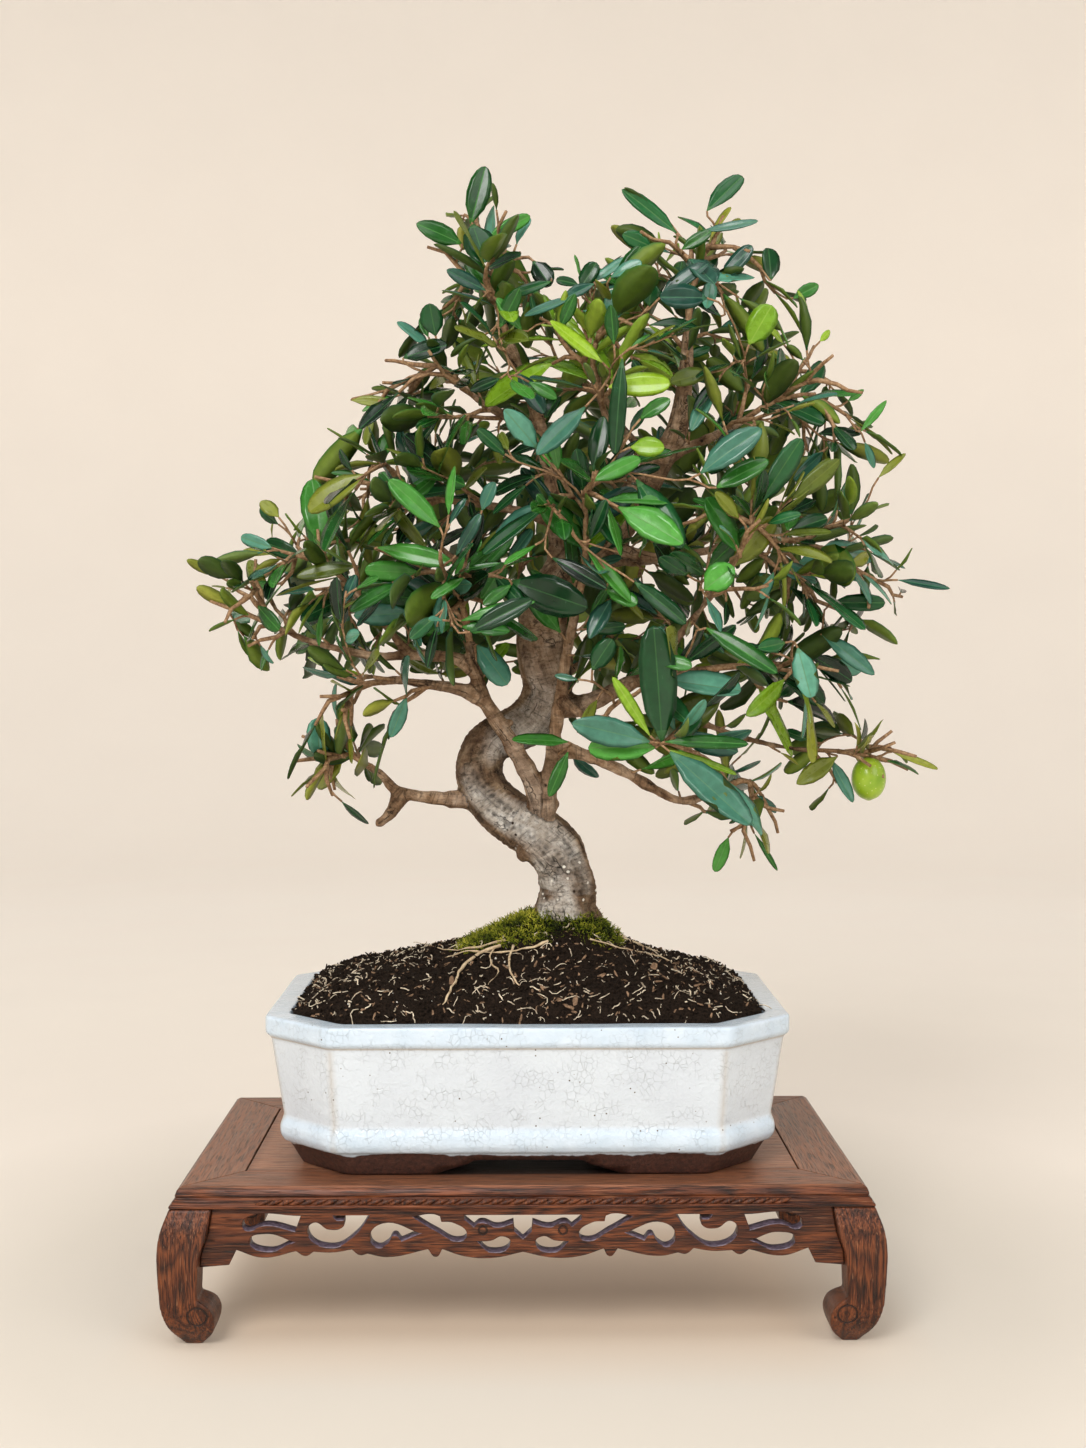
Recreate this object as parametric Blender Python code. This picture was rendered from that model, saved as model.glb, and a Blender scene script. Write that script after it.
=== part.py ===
"""Olive bonsai in a chamfered glazed pot, on a carved rosewood display stand.

Metres, +Z up, front toward -Y. Every piece is parented to the empty "olive_bonsai", which lies on the
floor under the centre of the stand. Lengths and places in the tables below are millimetres in that
empty's frame, and mm() turns them into metres.
"""

import math
import random

import bmesh
import bpy
import numpy as np
from mathutils import Matrix, Quaternion, Vector

MM = 0.001
GAP = 0.3 * MM  # clear space between neighbouring pieces

# The empty's own place: it centres the whole plant on the origin.
STAND_PLACE = (-0.0245, -0.018, 0.000)

# ---------------------------------------------------------------- stand
STAND_LENGTH = 375.0
STAND_DEPTH = 208.0
STAND_HEIGHT = 88.0
RAIL_WIDTH = 30.0
RAIL_BOTTOM = 77.0
PANEL_THICKNESS = 8.0
PANEL_END_GROOVE = 1.0  # dark line between the panel and the two short rails
JOINT_TOP = RAIL_BOTTOM - GAP / MM  # top of the legs and aprons, under the rails
APRON_FACE = 4.0  # how far the apron's face stands outside the top's edge
APRON_THICKNESS = 9.0
LEG_BLANK = 60.0

# Rail section and leg outline: (outward from the top's edge, height).
RAIL_SECTION = [
    (-RAIL_WIDTH, 88.0), (0.0, 88.0), (2.5, 86.3), (3.5, 83.5), (2.9, 82.0),
    (4.8, 80.8), (4.8, 79.3), (6.4, 78.4), (6.4, RAIL_BOTTOM), (-RAIL_WIDTH, RAIL_BOTTOM),
]
# "s" is a smooth point of an outline and "c" a corner.
LEG_OUTER = [(6.4, JOINT_TOP, "c"), (11.2, 62.0, "s"), (11.6, 38.0, "s"), (8.0, 14.0, "s"),
             (-1.5, 0.0, "c")]
LEG_SCROLL = [(-10.5, 0.0, "c"), (-17.8, 9.5, "s"), (-17.3, 20.5, "s"), (-9.4, 28.5, "c")]
LEG_INNER = [(-10.0, 44.0, "c"), (-10.8, 52.0, "c"), (-14.5, 62.6, "c"), (-17.0, JOINT_TOP, "c")]

# Lower edge of half an apron, from the leg to the middle: (from the middle, height).
EDGE_END = [(0.0, 44.1, "c"), (16.0, 45.4, "c"), (20.0, 53.6, "c")]
EDGE_LONG = [
    (-142.9, 49.3, "s"), (-124.6, 52.8, "c"), (-119.3, 50.1, "s"), (-115.0, 52.4, "c"),
    (-104.5, 52.0, "s"), (-94.0, 53.6, "c"), (-89.7, 50.5, "s"), (-85.3, 51.2, "c"),
    (-74.8, 49.3, "s"),
]
EDGE_SHORT = [(-63.0, 50.3, "s")]
EDGE_MIDDLE = [
    (-52.2, 53.6, "c"), (-47.8, 49.3, "s"), (-44.3, 53.6, "c"), (-32.0, 49.6, "s"), (-17.0, 48.6, "s"),
    (0.0, 51.9, "c"),
]
# Openings of the pierced scrollwork, on the half left of the middle.
SLOT = [(-154.0, 68.0, "s"), (-151.0, 71.8, "s"), (-122.0, 72.3, "c"), (-125.0, 64.0, "c"),
        (-141.0, 67.5, "s"), (-152.5, 65.0, "s")]
END_LEAF = [(-150.0, 58.6, "s"), (-141.0, 62.4, "s"), (-126.0, 58.0, "c"), (-140.0, 53.0, "s")]
SCROLL = [(-118.3, 63.0, "s"), (-114.8, 68.5, "s"), (-106.5, 64.6, "s"), (-98.5, 66.4, "s"),
          (-98.0, 70.2, "c"), (-103.0, 70.6, "s"), (-104.3, 72.5, "c"), (-84.2, 72.5, "c"),
          (-92.0, 62.0, "s"), (-105.7, 55.0, "s")]
COMMA = [(-84.0, 61.0, "s"), (-77.0, 67.9, "s"), (-56.9, 62.6, "c"), (-66.8, 58.5, "c"),
         (-70.5, 61.6, "s"), (-74.5, 57.0, "s"), (-80.0, 55.0, "s")]
WING = [(-60.5, 71.6, "c"), (-49.4, 73.0, "s"), (-45.6, 71.8, "c"), (-44.9, 68.7, "c"),
        (-38.0, 68.0, "s"), (-30.8, 61.5, "s"), (-34.5, 58.4, "s"), (-48.0, 64.0, "s")]
LENS = [(-25.0, 57.8, "c"), (-17.5, 58.2, "s"), (-11.0, 60.5, "s"), (-6.8, 57.0, "s"),
        (-18.0, 52.2, "s")]
SHORT_LEAF = [(-80.0, 62.0, "s"), (-73.0, 67.0, "s"), (-63.5, 64.5, "c"), (-71.0, 58.3, "s")]
CENTRE_HALF = [(-32.4, 72.4, "c"), (-32.2, 70.2, "c"), (-27.0, 66.0, "c"), (-23.4, 68.5, "s"),
               (-14.3, 66.0, "s"), (-5.3, 68.4, "c"), (-4.8, 63.5, "c")]
CENTRE_POINT = (0.0, 59.2, "c")

# ---------------------------------------------------------------- pot and soil
POT_CENTRE = (3.0, 5.0)
POT_SLIMNESS = 41.0  # half length less half depth
GLAZE_TOP = 175.0
RIM_HALF_LENGTH = 150.0
# Sections of the pot from the recess under it, up the outside, over the lip and down the inside:
# (half length, chamfer, height).
POT_SECTIONS = [
    (119.0, 24.0, 96.0), (119.0, 24.0, 88.3), (130.0, 28.0, 88.3), (137.0, 30.0, 102.0),
    (140.0, 31.0, 103.0), (142.0, 32.0, 107.0), (142.0, 32.0, 112.0), (140.0, 32.0, 117.0),
    (143.0, 34.0, 135.0), (147.0, 37.0, 162.0), (RIM_HALF_LENGTH, 38.0, 165.0),
    (RIM_HALF_LENGTH, 38.0, 174.0),
    (149.0, 38.0, GLAZE_TOP), (137.0, 33.0, GLAZE_TOP), (134.0, 32.0, 165.0), (128.0, 29.0, 106.0),
]
FOOT_BOTTOM = 88.3
ARCH_HEIGHT = 9.4
CUTTER_SPARE = 1.0  # how far a cutter runs past what it cuts
ARCH_LONG = (57.0, 29.0)  # half width of the arch at the ground and at its top
ARCH_SHORT = (34.0, 17.0)

SOIL_EDGE = 169.0
SOIL_INSET = 1.0
SOIL_RISE = 38.0
SOIL_ROUNDNESS = 5.0
COLLAR_RISE = 19.0  # the soil drawn up round the trunk
COLLAR_REACH = (52.0, 33.0, 38.0)  # to the left, to the right, and to the front and back
COLLAR_ROUNDNESS = 3.0
GROUND_LEVEL = 223.0
SOIL_RINGS = [0.97, 0.90, 0.80, 0.66, 0.50, 0.37, 0.24, 0.12]
MOSS_RINGS = [0.37, 0.24, 0.12]
MOSS_DEPTH = [1.2, 5.0, 5.5]

# ---------------------------------------------------------------- trunk and boughs
# Waypoints of the trunk's heart: (x, y, z, radius), from the flat cut at the ground to the tip.
TRUNK = [
    (26, 5, GROUND_LEVEL, 21.5), (26, 5, 229, 18.6), (27, 5, 239, 17.0), (25, 5, 250, 16.0),
    (20, 5, 262, 17.0), (9, 6, 273, 16.8), (-5, 8, 281, 15.6), (-18, 10, 292, 14.8),
    (-25.5, 12, 304, 14.3), (-26, 14, 317, 14.0), (-20, 17, 327, 13.8), (-9, 20, 333, 14.0),
    (3, 22, 339, 14.5), (12, 23, 349, 15.0), (16, 23, 361, 15.5), (14, 21, 375, 16.0),
    (12, 18, 390, 15.6), (15, 14, 410, 14.0), (29, 10, 432, 12.6), (53, 6, 455, 12.0),
    (68, 4, 476, 11.0), (82, 2, 497, 8.8), (93, 0, 516, 6.8), (98, 0, 547, 4.8), (100, 2, 576, 3.4),
]
# Boughs: name, the limbs that carry it, radius at root and tip, waypoints from the carrying limb's heart.
BOUGHS = [
    ("front_stem_left", ["trunk"], (7.2, 3.9),
     [(11, 5, 272), (10, -3, 289), (5, -8, 307), (-6, -9.5, 327), (-16, -9, 343), (-24, -8, 356),
      (-28, -9, 371), (-31, -12, 387)]),
    ("front_stem_centre", ["trunk", "front_stem_left"], (6.0, 2.8),
     [(14, 4, 272), (15, -5, 288), (16.5, -9, 307), (18, -10, 322), (20, -10, 338), (23, -12, 357),
      (26, -20, 380), (32, -34, 410)]),
    ("bough_left_mid", ["front_stem_left"], (4.4, 2.3),
     [(-24, -8, 356), (-40, -11, 361), (-61, -14, 364), (-75, -15, 366), (-84, -16, 365)]),
    ("bough_left_long", ["front_stem_left"], (4.0, 1.9),
     [(-28, -9, 371), (-40, -8, 379), (-68, -3, 381), (-87, 0, 380), (-108, 2, 384), (-130, 4, 390),
      (-147, 5, 397)]),
    ("bough_left_low", ["trunk"], (7.0, 2.2),
     [(-16, 11, 294), (-36, 8, 293), (-51, 6, 294), (-66, 4, 296), (-78, 4, 300), (-85, 5, 308),
      (-94, 6, 314)]),
    ("bough_left_arm", ["bough_left_long"], (2.8, 1.8),
     [(-68, -3, 381), (-80, -8, 396), (-92, -10, 411), (-102, -10, 421)]),
    ("bough_right_main", ["trunk"], (7.2, 3.0),
     [(14, 22, 356), (32, 12, 350), (47, 5, 355), (68, 0, 365), (89, -2, 369), (110, -3, 372)]),
    ("bough_right_low", ["front_stem_centre"], (4.8, 2.4),
     [(18, -10, 326), (34, -11, 322), (48, -10, 317), (63, -8, 310), (80, -5, 300), (95, -2, 293),
      (109, 0, 295), (124, 2, 301)]),
    ("bough_right_long", ["bough_right_main"], (3.4, 1.5),
     [(72, -1, 366), (97, 8, 346), (125, 10, 334), (145, 10, 328), (166, 8, 324), (182, 6, 323)]),
    ("bough_right_upper", ["trunk"], (4.6, 2.2),
     [(46, 7, 449), (77, 2, 440), (107, -2, 443), (132, -3, 449), (146, -2, 450)]),
    ("bough_right_shoulder", ["trunk"], (4.0, 2.0),
     [(83, 2, 498), (107, -4, 509), (125, -6, 517), (136, -6, 524)]),
    ("leader_left", ["trunk"], (8.0, 2.8),
     [(18, 13, 416), (21, 13, 436), (22, 12, 455), (18, 10, 488), (11, 8, 517), (5, 6, 538),
      (-3, 4, 556), (-9, 2, 573)]),
    ("bough_left_upper", ["leader_left"], (3.6, 2.0),
     [(11, 8, 517), (-9, 4, 525), (-27, 0, 535), (-38, -2, 545)]),
    ("bough_left_shoulder", ["leader_left"], (4.0, 2.0),
     [(21, 12, 461), (3, 4, 467), (-21, -2, 471), (-40, -4, 473)]),
    ("bough_top", ["trunk"], (4.4, 2.2),
     [(71, 3, 480), (61, -8, 501), (51, -14, 519), (46, -17, 533)]),
    ("bough_front_spray", ["front_stem_centre"], (3.2, 2.0),
     [(22.5, -12, 354), (38, -28, 344), (54, -44, 337), (65, -56, 333)]),
    ("bough_front_right", ["bough_right_main"], (3.6, 2.0),
     [(78, -1, 367), (90, -22, 388), (102, -42, 405), (110, -54, 417)]),
    ("bough_back_left", ["trunk"], (5.0, 2.2),
     [(15, 14, 409), (-2, 44, 422), (-22, 70, 432), (-36, 84, 440)]),
    ("bough_back_right", ["trunk"], (5.0, 2.2),
     [(38, 9, 441), (60, 38, 440), (84, 62, 442), (98, 76, 446)]),
    ("bough_back_low", ["trunk"], (5.0, 2.2),
     [(16, 22, 368), (24, 48, 369), (33, 70, 373), (38, 84, 378)]),
    ("bough_back_top", ["trunk"], (4.0, 2.0),
     [(80, 2, 494), (74, 28, 508), (64, 48, 524), (58, 58, 536)]),
]
# The pruned stub under the low left bough, fused with it.
STUB = ((4.4, 2.9), [(-73, 4, 298), (-80, 2, 285), (-87, 0, 279)])
TRUNK_SIDES = 3  # bevel resolution
BOUGH_SIDES = 1
BOUGH_TAPER = 0.8  # under 1 a bough thins fastest near its root
RING_SPACING = 17.0  # between a limb's rings

# ---------------------------------------------------------------- foliage
# Masses: name, limb that carries it, middle of its space, reach each way, leaves, tips it must reach.
MASSES = [
    ("apex_left", "leader_left", (-17, 0, 617), (50, 48, 58), 16,
     [(-23, -4, 676), (-63, 6, 638), (-60, -8, 652), (5, 4, 646), (-56, 0, 598), (15, -12, 622)]),
    ("apex_right", "trunk", (110, 2, 620), (62, 50, 58), 18,
     [(61, -4, 662), (132, 4, 670), (144, -10, 643), (156, 6, 626), (176, -4, 605), (42, 10, 620)]),
    ("crown_top", "bough_top", (46, -22, 568), (48, 46, 42), 14,
     [(20, -20, 606), (60, -60, 585), (30, -66, 552)]),
    ("left_shoulder", "bough_left_upper", (-64, 0, 540), (52, 54, 46), 16,
     [(-74, 0, 584), (-82, -10, 564), (-102, 4, 538), (-104, -6, 522)]),
    ("left_upper", "bough_left_shoulder", (-82, -6, 482), (56, 56, 36), 14,
     [(-118, 4, 518), (-112, -10, 502), (-135, 0, 488), (-70, -64, 476)]),
    ("left_arm", "bough_left_arm", (-128, -6, 438), (48, 50, 40), 13,
     [(-160, 6, 471), (-142, -18, 476), (-128, -58, 440), (-170, -4, 452)]),
    ("left_tip", "bough_left_long", (-170, 2, 408), (40, 46, 40), 12,
     [(-203, 2, 440), (-200, -6, 410), (-182, 6, 378), (-192, 26, 425), (-150, -24, 376)]),
    ("left_lower", "bough_left_mid", (-102, -24, 352), (38, 42, 34), 8,
     [(-122, -20, 342), (-96, -30, 328), (-118, -10, 366), (-82, -46, 345)]),
    ("left_low", "bough_left_low", (-120, 6, 312), (38, 40, 38), 10,
     [(-147, 6, 322), (-149, 0, 298), (-141, 14, 290), (-124, 2, 344), (-95, 4, 277)]),
    ("front_left", "front_stem_left", (-42, -50, 418), (50, 48, 44), 15,
     [(-82, -62, 420), (-50, -92, 430), (-20, -84, 402), (-60, -60, 386)]),
    ("front_centre", "front_stem_centre", (34, -66, 462), (52, 46, 50), 16,
     [(30, -110, 470), (62, -94, 440), (6, -100, 440), (40, -88, 506)]),
    ("front_spray", "bough_front_spray", (82, -82, 334), (54, 42, 58), 10,
     [(82, -88, 396), (30, -84, 341), (136, -84, 280), (128, -96, 333), (34, -70, 326),
      (100, -110, 352)]),
    ("front_right", "bough_front_right", (124, -74, 442), (52, 44, 52), 14,
     [(150, -104, 430), (110, -116, 450), (128, -88, 492), (158, -84, 400)]),
    ("right_mid", "bough_right_upper", (196, 0, 434), (58, 54, 50), 20,
     [(259, 0, 421), (238, -6, 443), (242, 4, 412), (231, 8, 390), (232, -10, 490), (206, -60, 440)]),
    ("right_shoulder", "bough_right_shoulder", (170, -4, 536), (56, 54, 54), 19,
     [(187, 6, 579), (184, -12, 563), (220, 0, 534), (231, 4, 503), (178, -64, 530)]),
    ("right_main", "bough_right_main", (162, -6, 370), (52, 50, 30), 13,
     [(218, 4, 382), (202, -6, 354), (186, -14, 336), (168, -62, 372)]),
    ("fruiting_twig", "bough_right_long", (216, 4, 318), (44, 34, 32), 8,
     [(253, 6, 311), (188, 2, 294), (212, -30, 318), (220, 34, 316)]),
    ("right_low", "bough_right_low", (136, 2, 284), (36, 38, 40), 9,
     [(117, -4, 251), (155, 2, 249), (112, 0, 276), (158, -6, 282)]),
    ("back_left", "bough_back_left", (-70, 100, 478), (66, 62, 66), 19,
     [(-122, 96, 470), (-60, 158, 470), (-96, 130, 510), (-110, 88, 432)]),
    ("back_right", "bough_back_right", (138, 98, 474), (66, 62, 66), 18,
     [(196, 90, 470), (130, 160, 474), (176, 128, 500), (186, 84, 420)]),
    ("back_low", "bough_back_low", (36, 112, 392), (64, 52, 46), 14,
     [(36, 164, 392), (-20, 130, 400), (90, 134, 388), (60, 146, 352)]),
    ("back_top", "bough_back_top", (40, 90, 556), (68, 56, 54), 17,
     [(40, 140, 556), (-10, 110, 580), (96, 116, 572), (44, 96, 604)]),
]
# The crown's outline seen from the front, round from the left apex: (x, z). It draws in toward its
# front and back as a globe does.
CROWN_OUTLINE = [
    (-23, 676), (4, 648), (20, 610), (61, 662), (132, 670), (146, 643), (158, 626), (178, 605),
    (187, 578), (220, 534), (231, 503), (233, 485), (237, 443), (259, 421), (241, 410), (232, 389),
    (219, 383), (205, 353), (253, 314), (202, 288), (155, 249), (117, 250), (104, 272), (70, 292),
    (20, 322), (-40, 330), (-90, 274), (-142, 289), (-148, 298), (-144, 321), (-128, 344),
    (-181, 376), (-200, 410), (-204, 440), (-171, 451), (-159, 473), (-129, 490), (-117, 518),
    (-104, 540), (-82, 566), (-72, 585), (-58, 600), (-62, 652),
]
CROWN_HEART = (20, 22, 450)
CROWN_DEPTH = 142.0  # from its heart to its front and back
GROWTH_SEED = 41
LEAF_LENGTH = (48.0, 64.0)
LEAF_SLIMNESS = (0.34, 0.46)  # breadth over length
LEAF_THICKNESS = 1.1
LEAF_WIDEST = 0.42
LEAF_STATIONS = (0.12, 0.32, 0.5, 0.75, 1.0)  # shares of its length where a leaf is kept clear of things
LEAF_SINK = 0.2  # a leaf's root lies this far beyond its twig's heart
LEAF_LIFT = 0.5  # how far faces turn up to the sky as well as outward
LEAF_ROLL = 0.8
LEAF_OPENING = (38.0, 62.0)  # angle between a leaf and its twig, degrees
LEAVES_PER_TWIG = 5
FIRST_PAIR = 5.0  # the first pair of leaves lies this far behind the end leaf's root
LAST_PAIR = 3.0  # no pair lies nearer than this to a twig's root
PAIR_SPACING = 12.0
PAIR_TURN = math.radians(60.0)
ELBOW_ROOM = 4.0  # blades keep this far from each other and from passing twigs
SHORTEST_TWIG = 12.0
SHORTEST_LEAF = 34.0
FULL_LEAF_REACH = 46.0  # masses that reach less far than this have smaller leaves
TIP_SHARE = (0.8, 1.45)  # how far out in a mass's reach its seeded tips lie
SEEDED_TIPS = 8  # tips tried for each leaf wanted
STEM_LENGTH = 12.0
STEM_RADIUS = (2.8, 2.0)
STEM_FIT = 0.95  # a stem is at least this much thinner than its limb's tip
STEM_OVERSHOOTS = (0.25, 0.0, -0.5)  # share of its way that a stem runs on past the middle of its mass
TWIG_RADIUS = (0.48, 1.0)  # root as a share of the carrying twig's, and tip
TWIG_STEP = 34.0
TWIG_KNEE = 0.45  # share of its span that a twig keeps to its first heading
FORK_STEP = 4.0  # possible forks along a twig lie this far apart
TURNING_COST = 1.6
CELL_MARGIN = 1.0
LIMB_MARGIN = 1.0
FRUIT_HANG = (211, 4, 322)
FRUIT_SIZE = (21.0, 26.0)
FRUIT_STALK = 3.0
STALK_RADIUS = 1.1

WELD = 0.002 * MM
TOUCH = 0.001 * MM
LEAST_FUSED = 0.8  # share of the volume of its twigs and leaves that a mass keeps when they are fused


def mm(*values):
    """A place or size in metres from millimetres."""
    return Vector([value * MM for value in values])


# ---------------------------------------------------------------- scene and pieces
def clear_scene():
    for old in list(bpy.data.objects):
        bpy.data.objects.remove(old, do_unlink=True)


def new_collection(name):
    collection = bpy.data.collections.new(name)
    bpy.context.scene.collection.children.link(collection)
    return collection


def new_material(name, colour, roughness, metallic=0.0):
    material = bpy.data.materials.new(name)
    material.use_nodes = True
    shader = material.node_tree.nodes["Principled BSDF"]
    shader.inputs["Base Color"].default_value = (*colour, 1.0)
    shader.inputs["Roughness"].default_value = roughness
    shader.inputs["Metallic"].default_value = metallic
    material.diffuse_color = (*colour, 1.0)
    return material


def add_piece(name, mesh, material, origin, smooth=False):
    """Makes a mesh one of the plant's named pieces, with its own origin."""
    mesh.name = name
    mesh.transform(Matrix.Translation(-origin))
    mesh.materials.clear()
    mesh.materials.append(material)
    if smooth:
        mesh.shade_smooth()
        mesh.set_sharp_from_angle(angle=math.radians(40))
    piece = bpy.data.objects.new(name, mesh)
    piece.parent = ROOT
    piece.location = origin
    PLANT.objects.link(piece)
    return piece


def add_helper(name, mesh):
    """A cutter or blank, kept out of the plant's own collection."""
    helper = bpy.data.objects.new(name, mesh)
    helper.hide_render = True
    helper.display_type = "WIRE"
    CUTTERS.objects.link(helper)
    return helper


def remove(*objects):
    for old in objects:
        bpy.data.objects.remove(old, do_unlink=True)


def evaluated_mesh(source):
    depsgraph = bpy.context.evaluated_depsgraph_get()
    return bpy.data.meshes.new_from_object(source.evaluated_get(depsgraph))


def cleaned(mesh, flatten=False):
    """Welds a mesh's seams, drops collinear points where asked, and turns its faces outward."""
    bm = bmesh.new()
    bm.from_mesh(mesh)
    bmesh.ops.remove_doubles(bm, verts=bm.verts, dist=WELD)
    bmesh.ops.dissolve_degenerate(bm, edges=bm.edges, dist=WELD)
    if flatten:
        bmesh.ops.dissolve_limit(bm, angle_limit=math.radians(0.5), verts=bm.verts, edges=bm.edges)
    bmesh.ops.recalc_face_normals(bm, faces=bm.faces)
    if bm.calc_volume(signed=True) < 0.0:
        bmesh.ops.reverse_faces(bm, faces=bm.faces)
    bm.to_mesh(mesh)
    bm.free()
    return mesh


def boolean(mesh, cutter, operation):
    """The mesh cut by, or crossed with, the cutter's mesh."""
    body = add_helper("blank", mesh)
    tool = add_helper("cutter", cutter)
    cut = body.modifiers.new("cut", "BOOLEAN")
    cut.operation = operation
    cut.solver = "EXACT"
    cut.object = tool
    result = evaluated_mesh(body)
    remove(body, tool)
    return result


def islands(bm):
    """The separate shells of a bmesh, as lists of faces."""
    left = set(bm.faces)
    shells = []
    while left:
        front = [left.pop()]
        shell = []
        while front:
            face = front.pop()
            shell.append(face)
            for edge in face.edges:
                for neighbour in edge.link_faces:
                    if neighbour in left:
                        left.remove(neighbour)
                        front.append(neighbour)
        shells.append(shell)
    return shells


def shell_volume(shell):
    total = 0.0
    for face in shell:
        corners = [vert.co for vert in face.verts]
        for second, third in zip(corners[1:-1], corners[2:]):
            total += corners[0].dot(second.cross(third)) / 6.0
    return total


def keep_largest(mesh):
    """Drops loose scraps and the inner skins of sealed hollows, so one closed body is left."""
    bm = bmesh.new()
    bm.from_mesh(mesh)
    shells = sorted(islands(bm), key=shell_volume)
    spare = [face for shell in shells[:-1] for face in shell]
    bmesh.ops.delete(bm, geom=spare, context="FACES")
    bm.to_mesh(mesh)
    bm.free()
    return mesh


def mesh_volume(mesh):
    bm = bmesh.new()
    bm.from_mesh(mesh)
    volume = bm.calc_volume(signed=True)
    bm.free()
    return volume


def is_closed(mesh):
    """Whether the mesh is one closed skin, also with points that all but touch taken as one."""
    bm = bmesh.new()
    bm.from_mesh(mesh)
    bmesh.ops.remove_doubles(bm, verts=bm.verts, dist=TOUCH)
    closed = all(len(edge.link_faces) == 2 for edge in bm.edges)
    bm.free()
    return closed


def plate(outlines, thickness, smoothness):
    """A flat board lying in X and Z: the first outline is its edge and the rest are openings in it."""
    curve = bpy.data.curves.new("outline", "CURVE")
    curve.dimensions = "2D"
    curve.fill_mode = "BOTH"
    curve.extrude = thickness * MM / 2.0
    curve.resolution_u = smoothness
    for outline in outlines:
        spline = curve.splines.new("BEZIER")
        spline.bezier_points.add(len(outline) - 1)
        spline.use_cyclic_u = True
        for point, (across, height, kind) in zip(spline.bezier_points, outline):
            handle = "AUTO" if kind == "s" else "VECTOR"
            point.co = mm(across, height, 0.0)
            point.handle_left_type = handle
            point.handle_right_type = handle
    board = add_helper("board", curve)
    mesh = evaluated_mesh(board)
    remove(board)
    bpy.data.curves.remove(curve)
    mesh.transform(Matrix.Rotation(math.pi / 2.0, 4, "X"))
    return cleaned(mesh, flatten=True)


def loft(rings):
    """A closed body through rings of equal point counts, with flat ends."""
    bm = bmesh.new()
    rows = [[bm.verts.new(point) for point in ring] for ring in rings]
    count = len(rings[0])
    for lower, upper in zip(rows[:-1], rows[1:]):
        for k in range(count):
            after = (k + 1) % count
            bm.faces.new((lower[k], lower[after], upper[after]))
            bm.faces.new((lower[k], upper[after], upper[k]))
    bm.faces.new(reversed(rows[0]))
    bm.faces.new(rows[-1])
    bmesh.ops.recalc_face_normals(bm, faces=bm.faces)
    mesh = bpy.data.meshes.new("loft")
    bm.to_mesh(mesh)
    bm.free()
    return mesh


# ---------------------------------------------------------------- stand
def mirrored(half):
    """An outline's right half from its left one, in the order that goes on from it."""
    return [(-across, height, kind) for across, height, kind in reversed(half) if across < 0.0]


def make_rails(wood):
    """Four mitred rails of one moulded section round the panel."""
    for name, run, reach, turn in (
        ("rail_front", STAND_LENGTH, STAND_DEPTH, 0), ("rail_right", STAND_DEPTH, STAND_LENGTH, 1),
        ("rail_back", STAND_LENGTH, STAND_DEPTH, 2), ("rail_left", STAND_DEPTH, STAND_LENGTH, 3),
    ):
        mitre = run / 2.0 - GAP / MM / math.sqrt(2.0)
        ends = []
        for side in (-1.0, 1.0):
            end = [mm(side * (mitre + out), -(reach / 2.0 + out), height) for out, height in RAIL_SECTION]
            ends.append(end)
        mesh = loft(ends)
        mesh.transform(Matrix.Rotation(turn * math.pi / 2.0, 4, "Z"))
        middle = Matrix.Rotation(turn * math.pi / 2.0, 4, "Z") @ mm(0.0, -reach / 2.0, STAND_HEIGHT)
        add_piece(name, cleaned(mesh, flatten=True), wood, middle)


def make_panel(wood):
    bm = bmesh.new()
    bmesh.ops.create_cube(bm, size=1.0)
    length = STAND_LENGTH - 2.0 * (RAIL_WIDTH + PANEL_END_GROOVE)
    depth = STAND_DEPTH - 2.0 * RAIL_WIDTH - 2.0 * GAP / MM
    bmesh.ops.scale(bm, verts=bm.verts, vec=mm(length, depth, PANEL_THICKNESS))
    centre = mm(0.0, 0.0, STAND_HEIGHT - PANEL_THICKNESS / 2.0)
    bmesh.ops.translate(bm, verts=bm.verts, vec=centre)
    mesh = bpy.data.meshes.new("panel")
    bm.to_mesh(mesh)
    bm.free()
    add_piece("stand_panel", mesh, wood, centre)


def apron_outline(half_length, edge):
    """The edge of an apron whose ends follow the insides of the legs."""
    end = [(-(half_length + out) + GAP / MM, height, "c") for out, height, kind in reversed(LEG_INNER)]
    foot = [(end[-1][0] + across, height, kind) for across, height, kind in EDGE_END]
    half = end[:-1] + foot + edge + EDGE_MIDDLE
    return half + mirrored(half)


def make_aprons(wood):
    """Pierced scrollwork boards between the legs: the long pair carries more openings than the short."""
    centre = CENTRE_HALF + [CENTRE_POINT] + mirrored(CENTRE_HALF)
    long_half = [SLOT, END_LEAF, SCROLL, COMMA, WING, LENS]
    short_half = [SHORT_LEAF, WING, LENS]
    for name, half_run, half_reach, edge, openings, turn in (
        ("apron_front", STAND_LENGTH / 2.0, STAND_DEPTH / 2.0, EDGE_LONG, long_half, 0),
        ("apron_right", STAND_DEPTH / 2.0, STAND_LENGTH / 2.0, EDGE_SHORT, short_half, 1),
        ("apron_back", STAND_LENGTH / 2.0, STAND_DEPTH / 2.0, EDGE_LONG, long_half, 2),
        ("apron_left", STAND_DEPTH / 2.0, STAND_LENGTH / 2.0, EDGE_SHORT, short_half, 3),
    ):
        outlines = [apron_outline(half_run, edge), centre]
        outlines += openings + [mirrored(opening) for opening in openings]
        mesh = plate(outlines, APRON_THICKNESS, smoothness=1)
        spin = Matrix.Rotation(turn * math.pi / 2.0, 4, "Z")
        seat = mm(0.0, -(half_reach + APRON_FACE - APRON_THICKNESS / 2.0), 0.0)
        mesh.transform(spin @ Matrix.Translation(seat))
        add_piece(name, mesh, wood, spin @ (seat + mm(0.0, 0.0, JOINT_TOP)))


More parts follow.
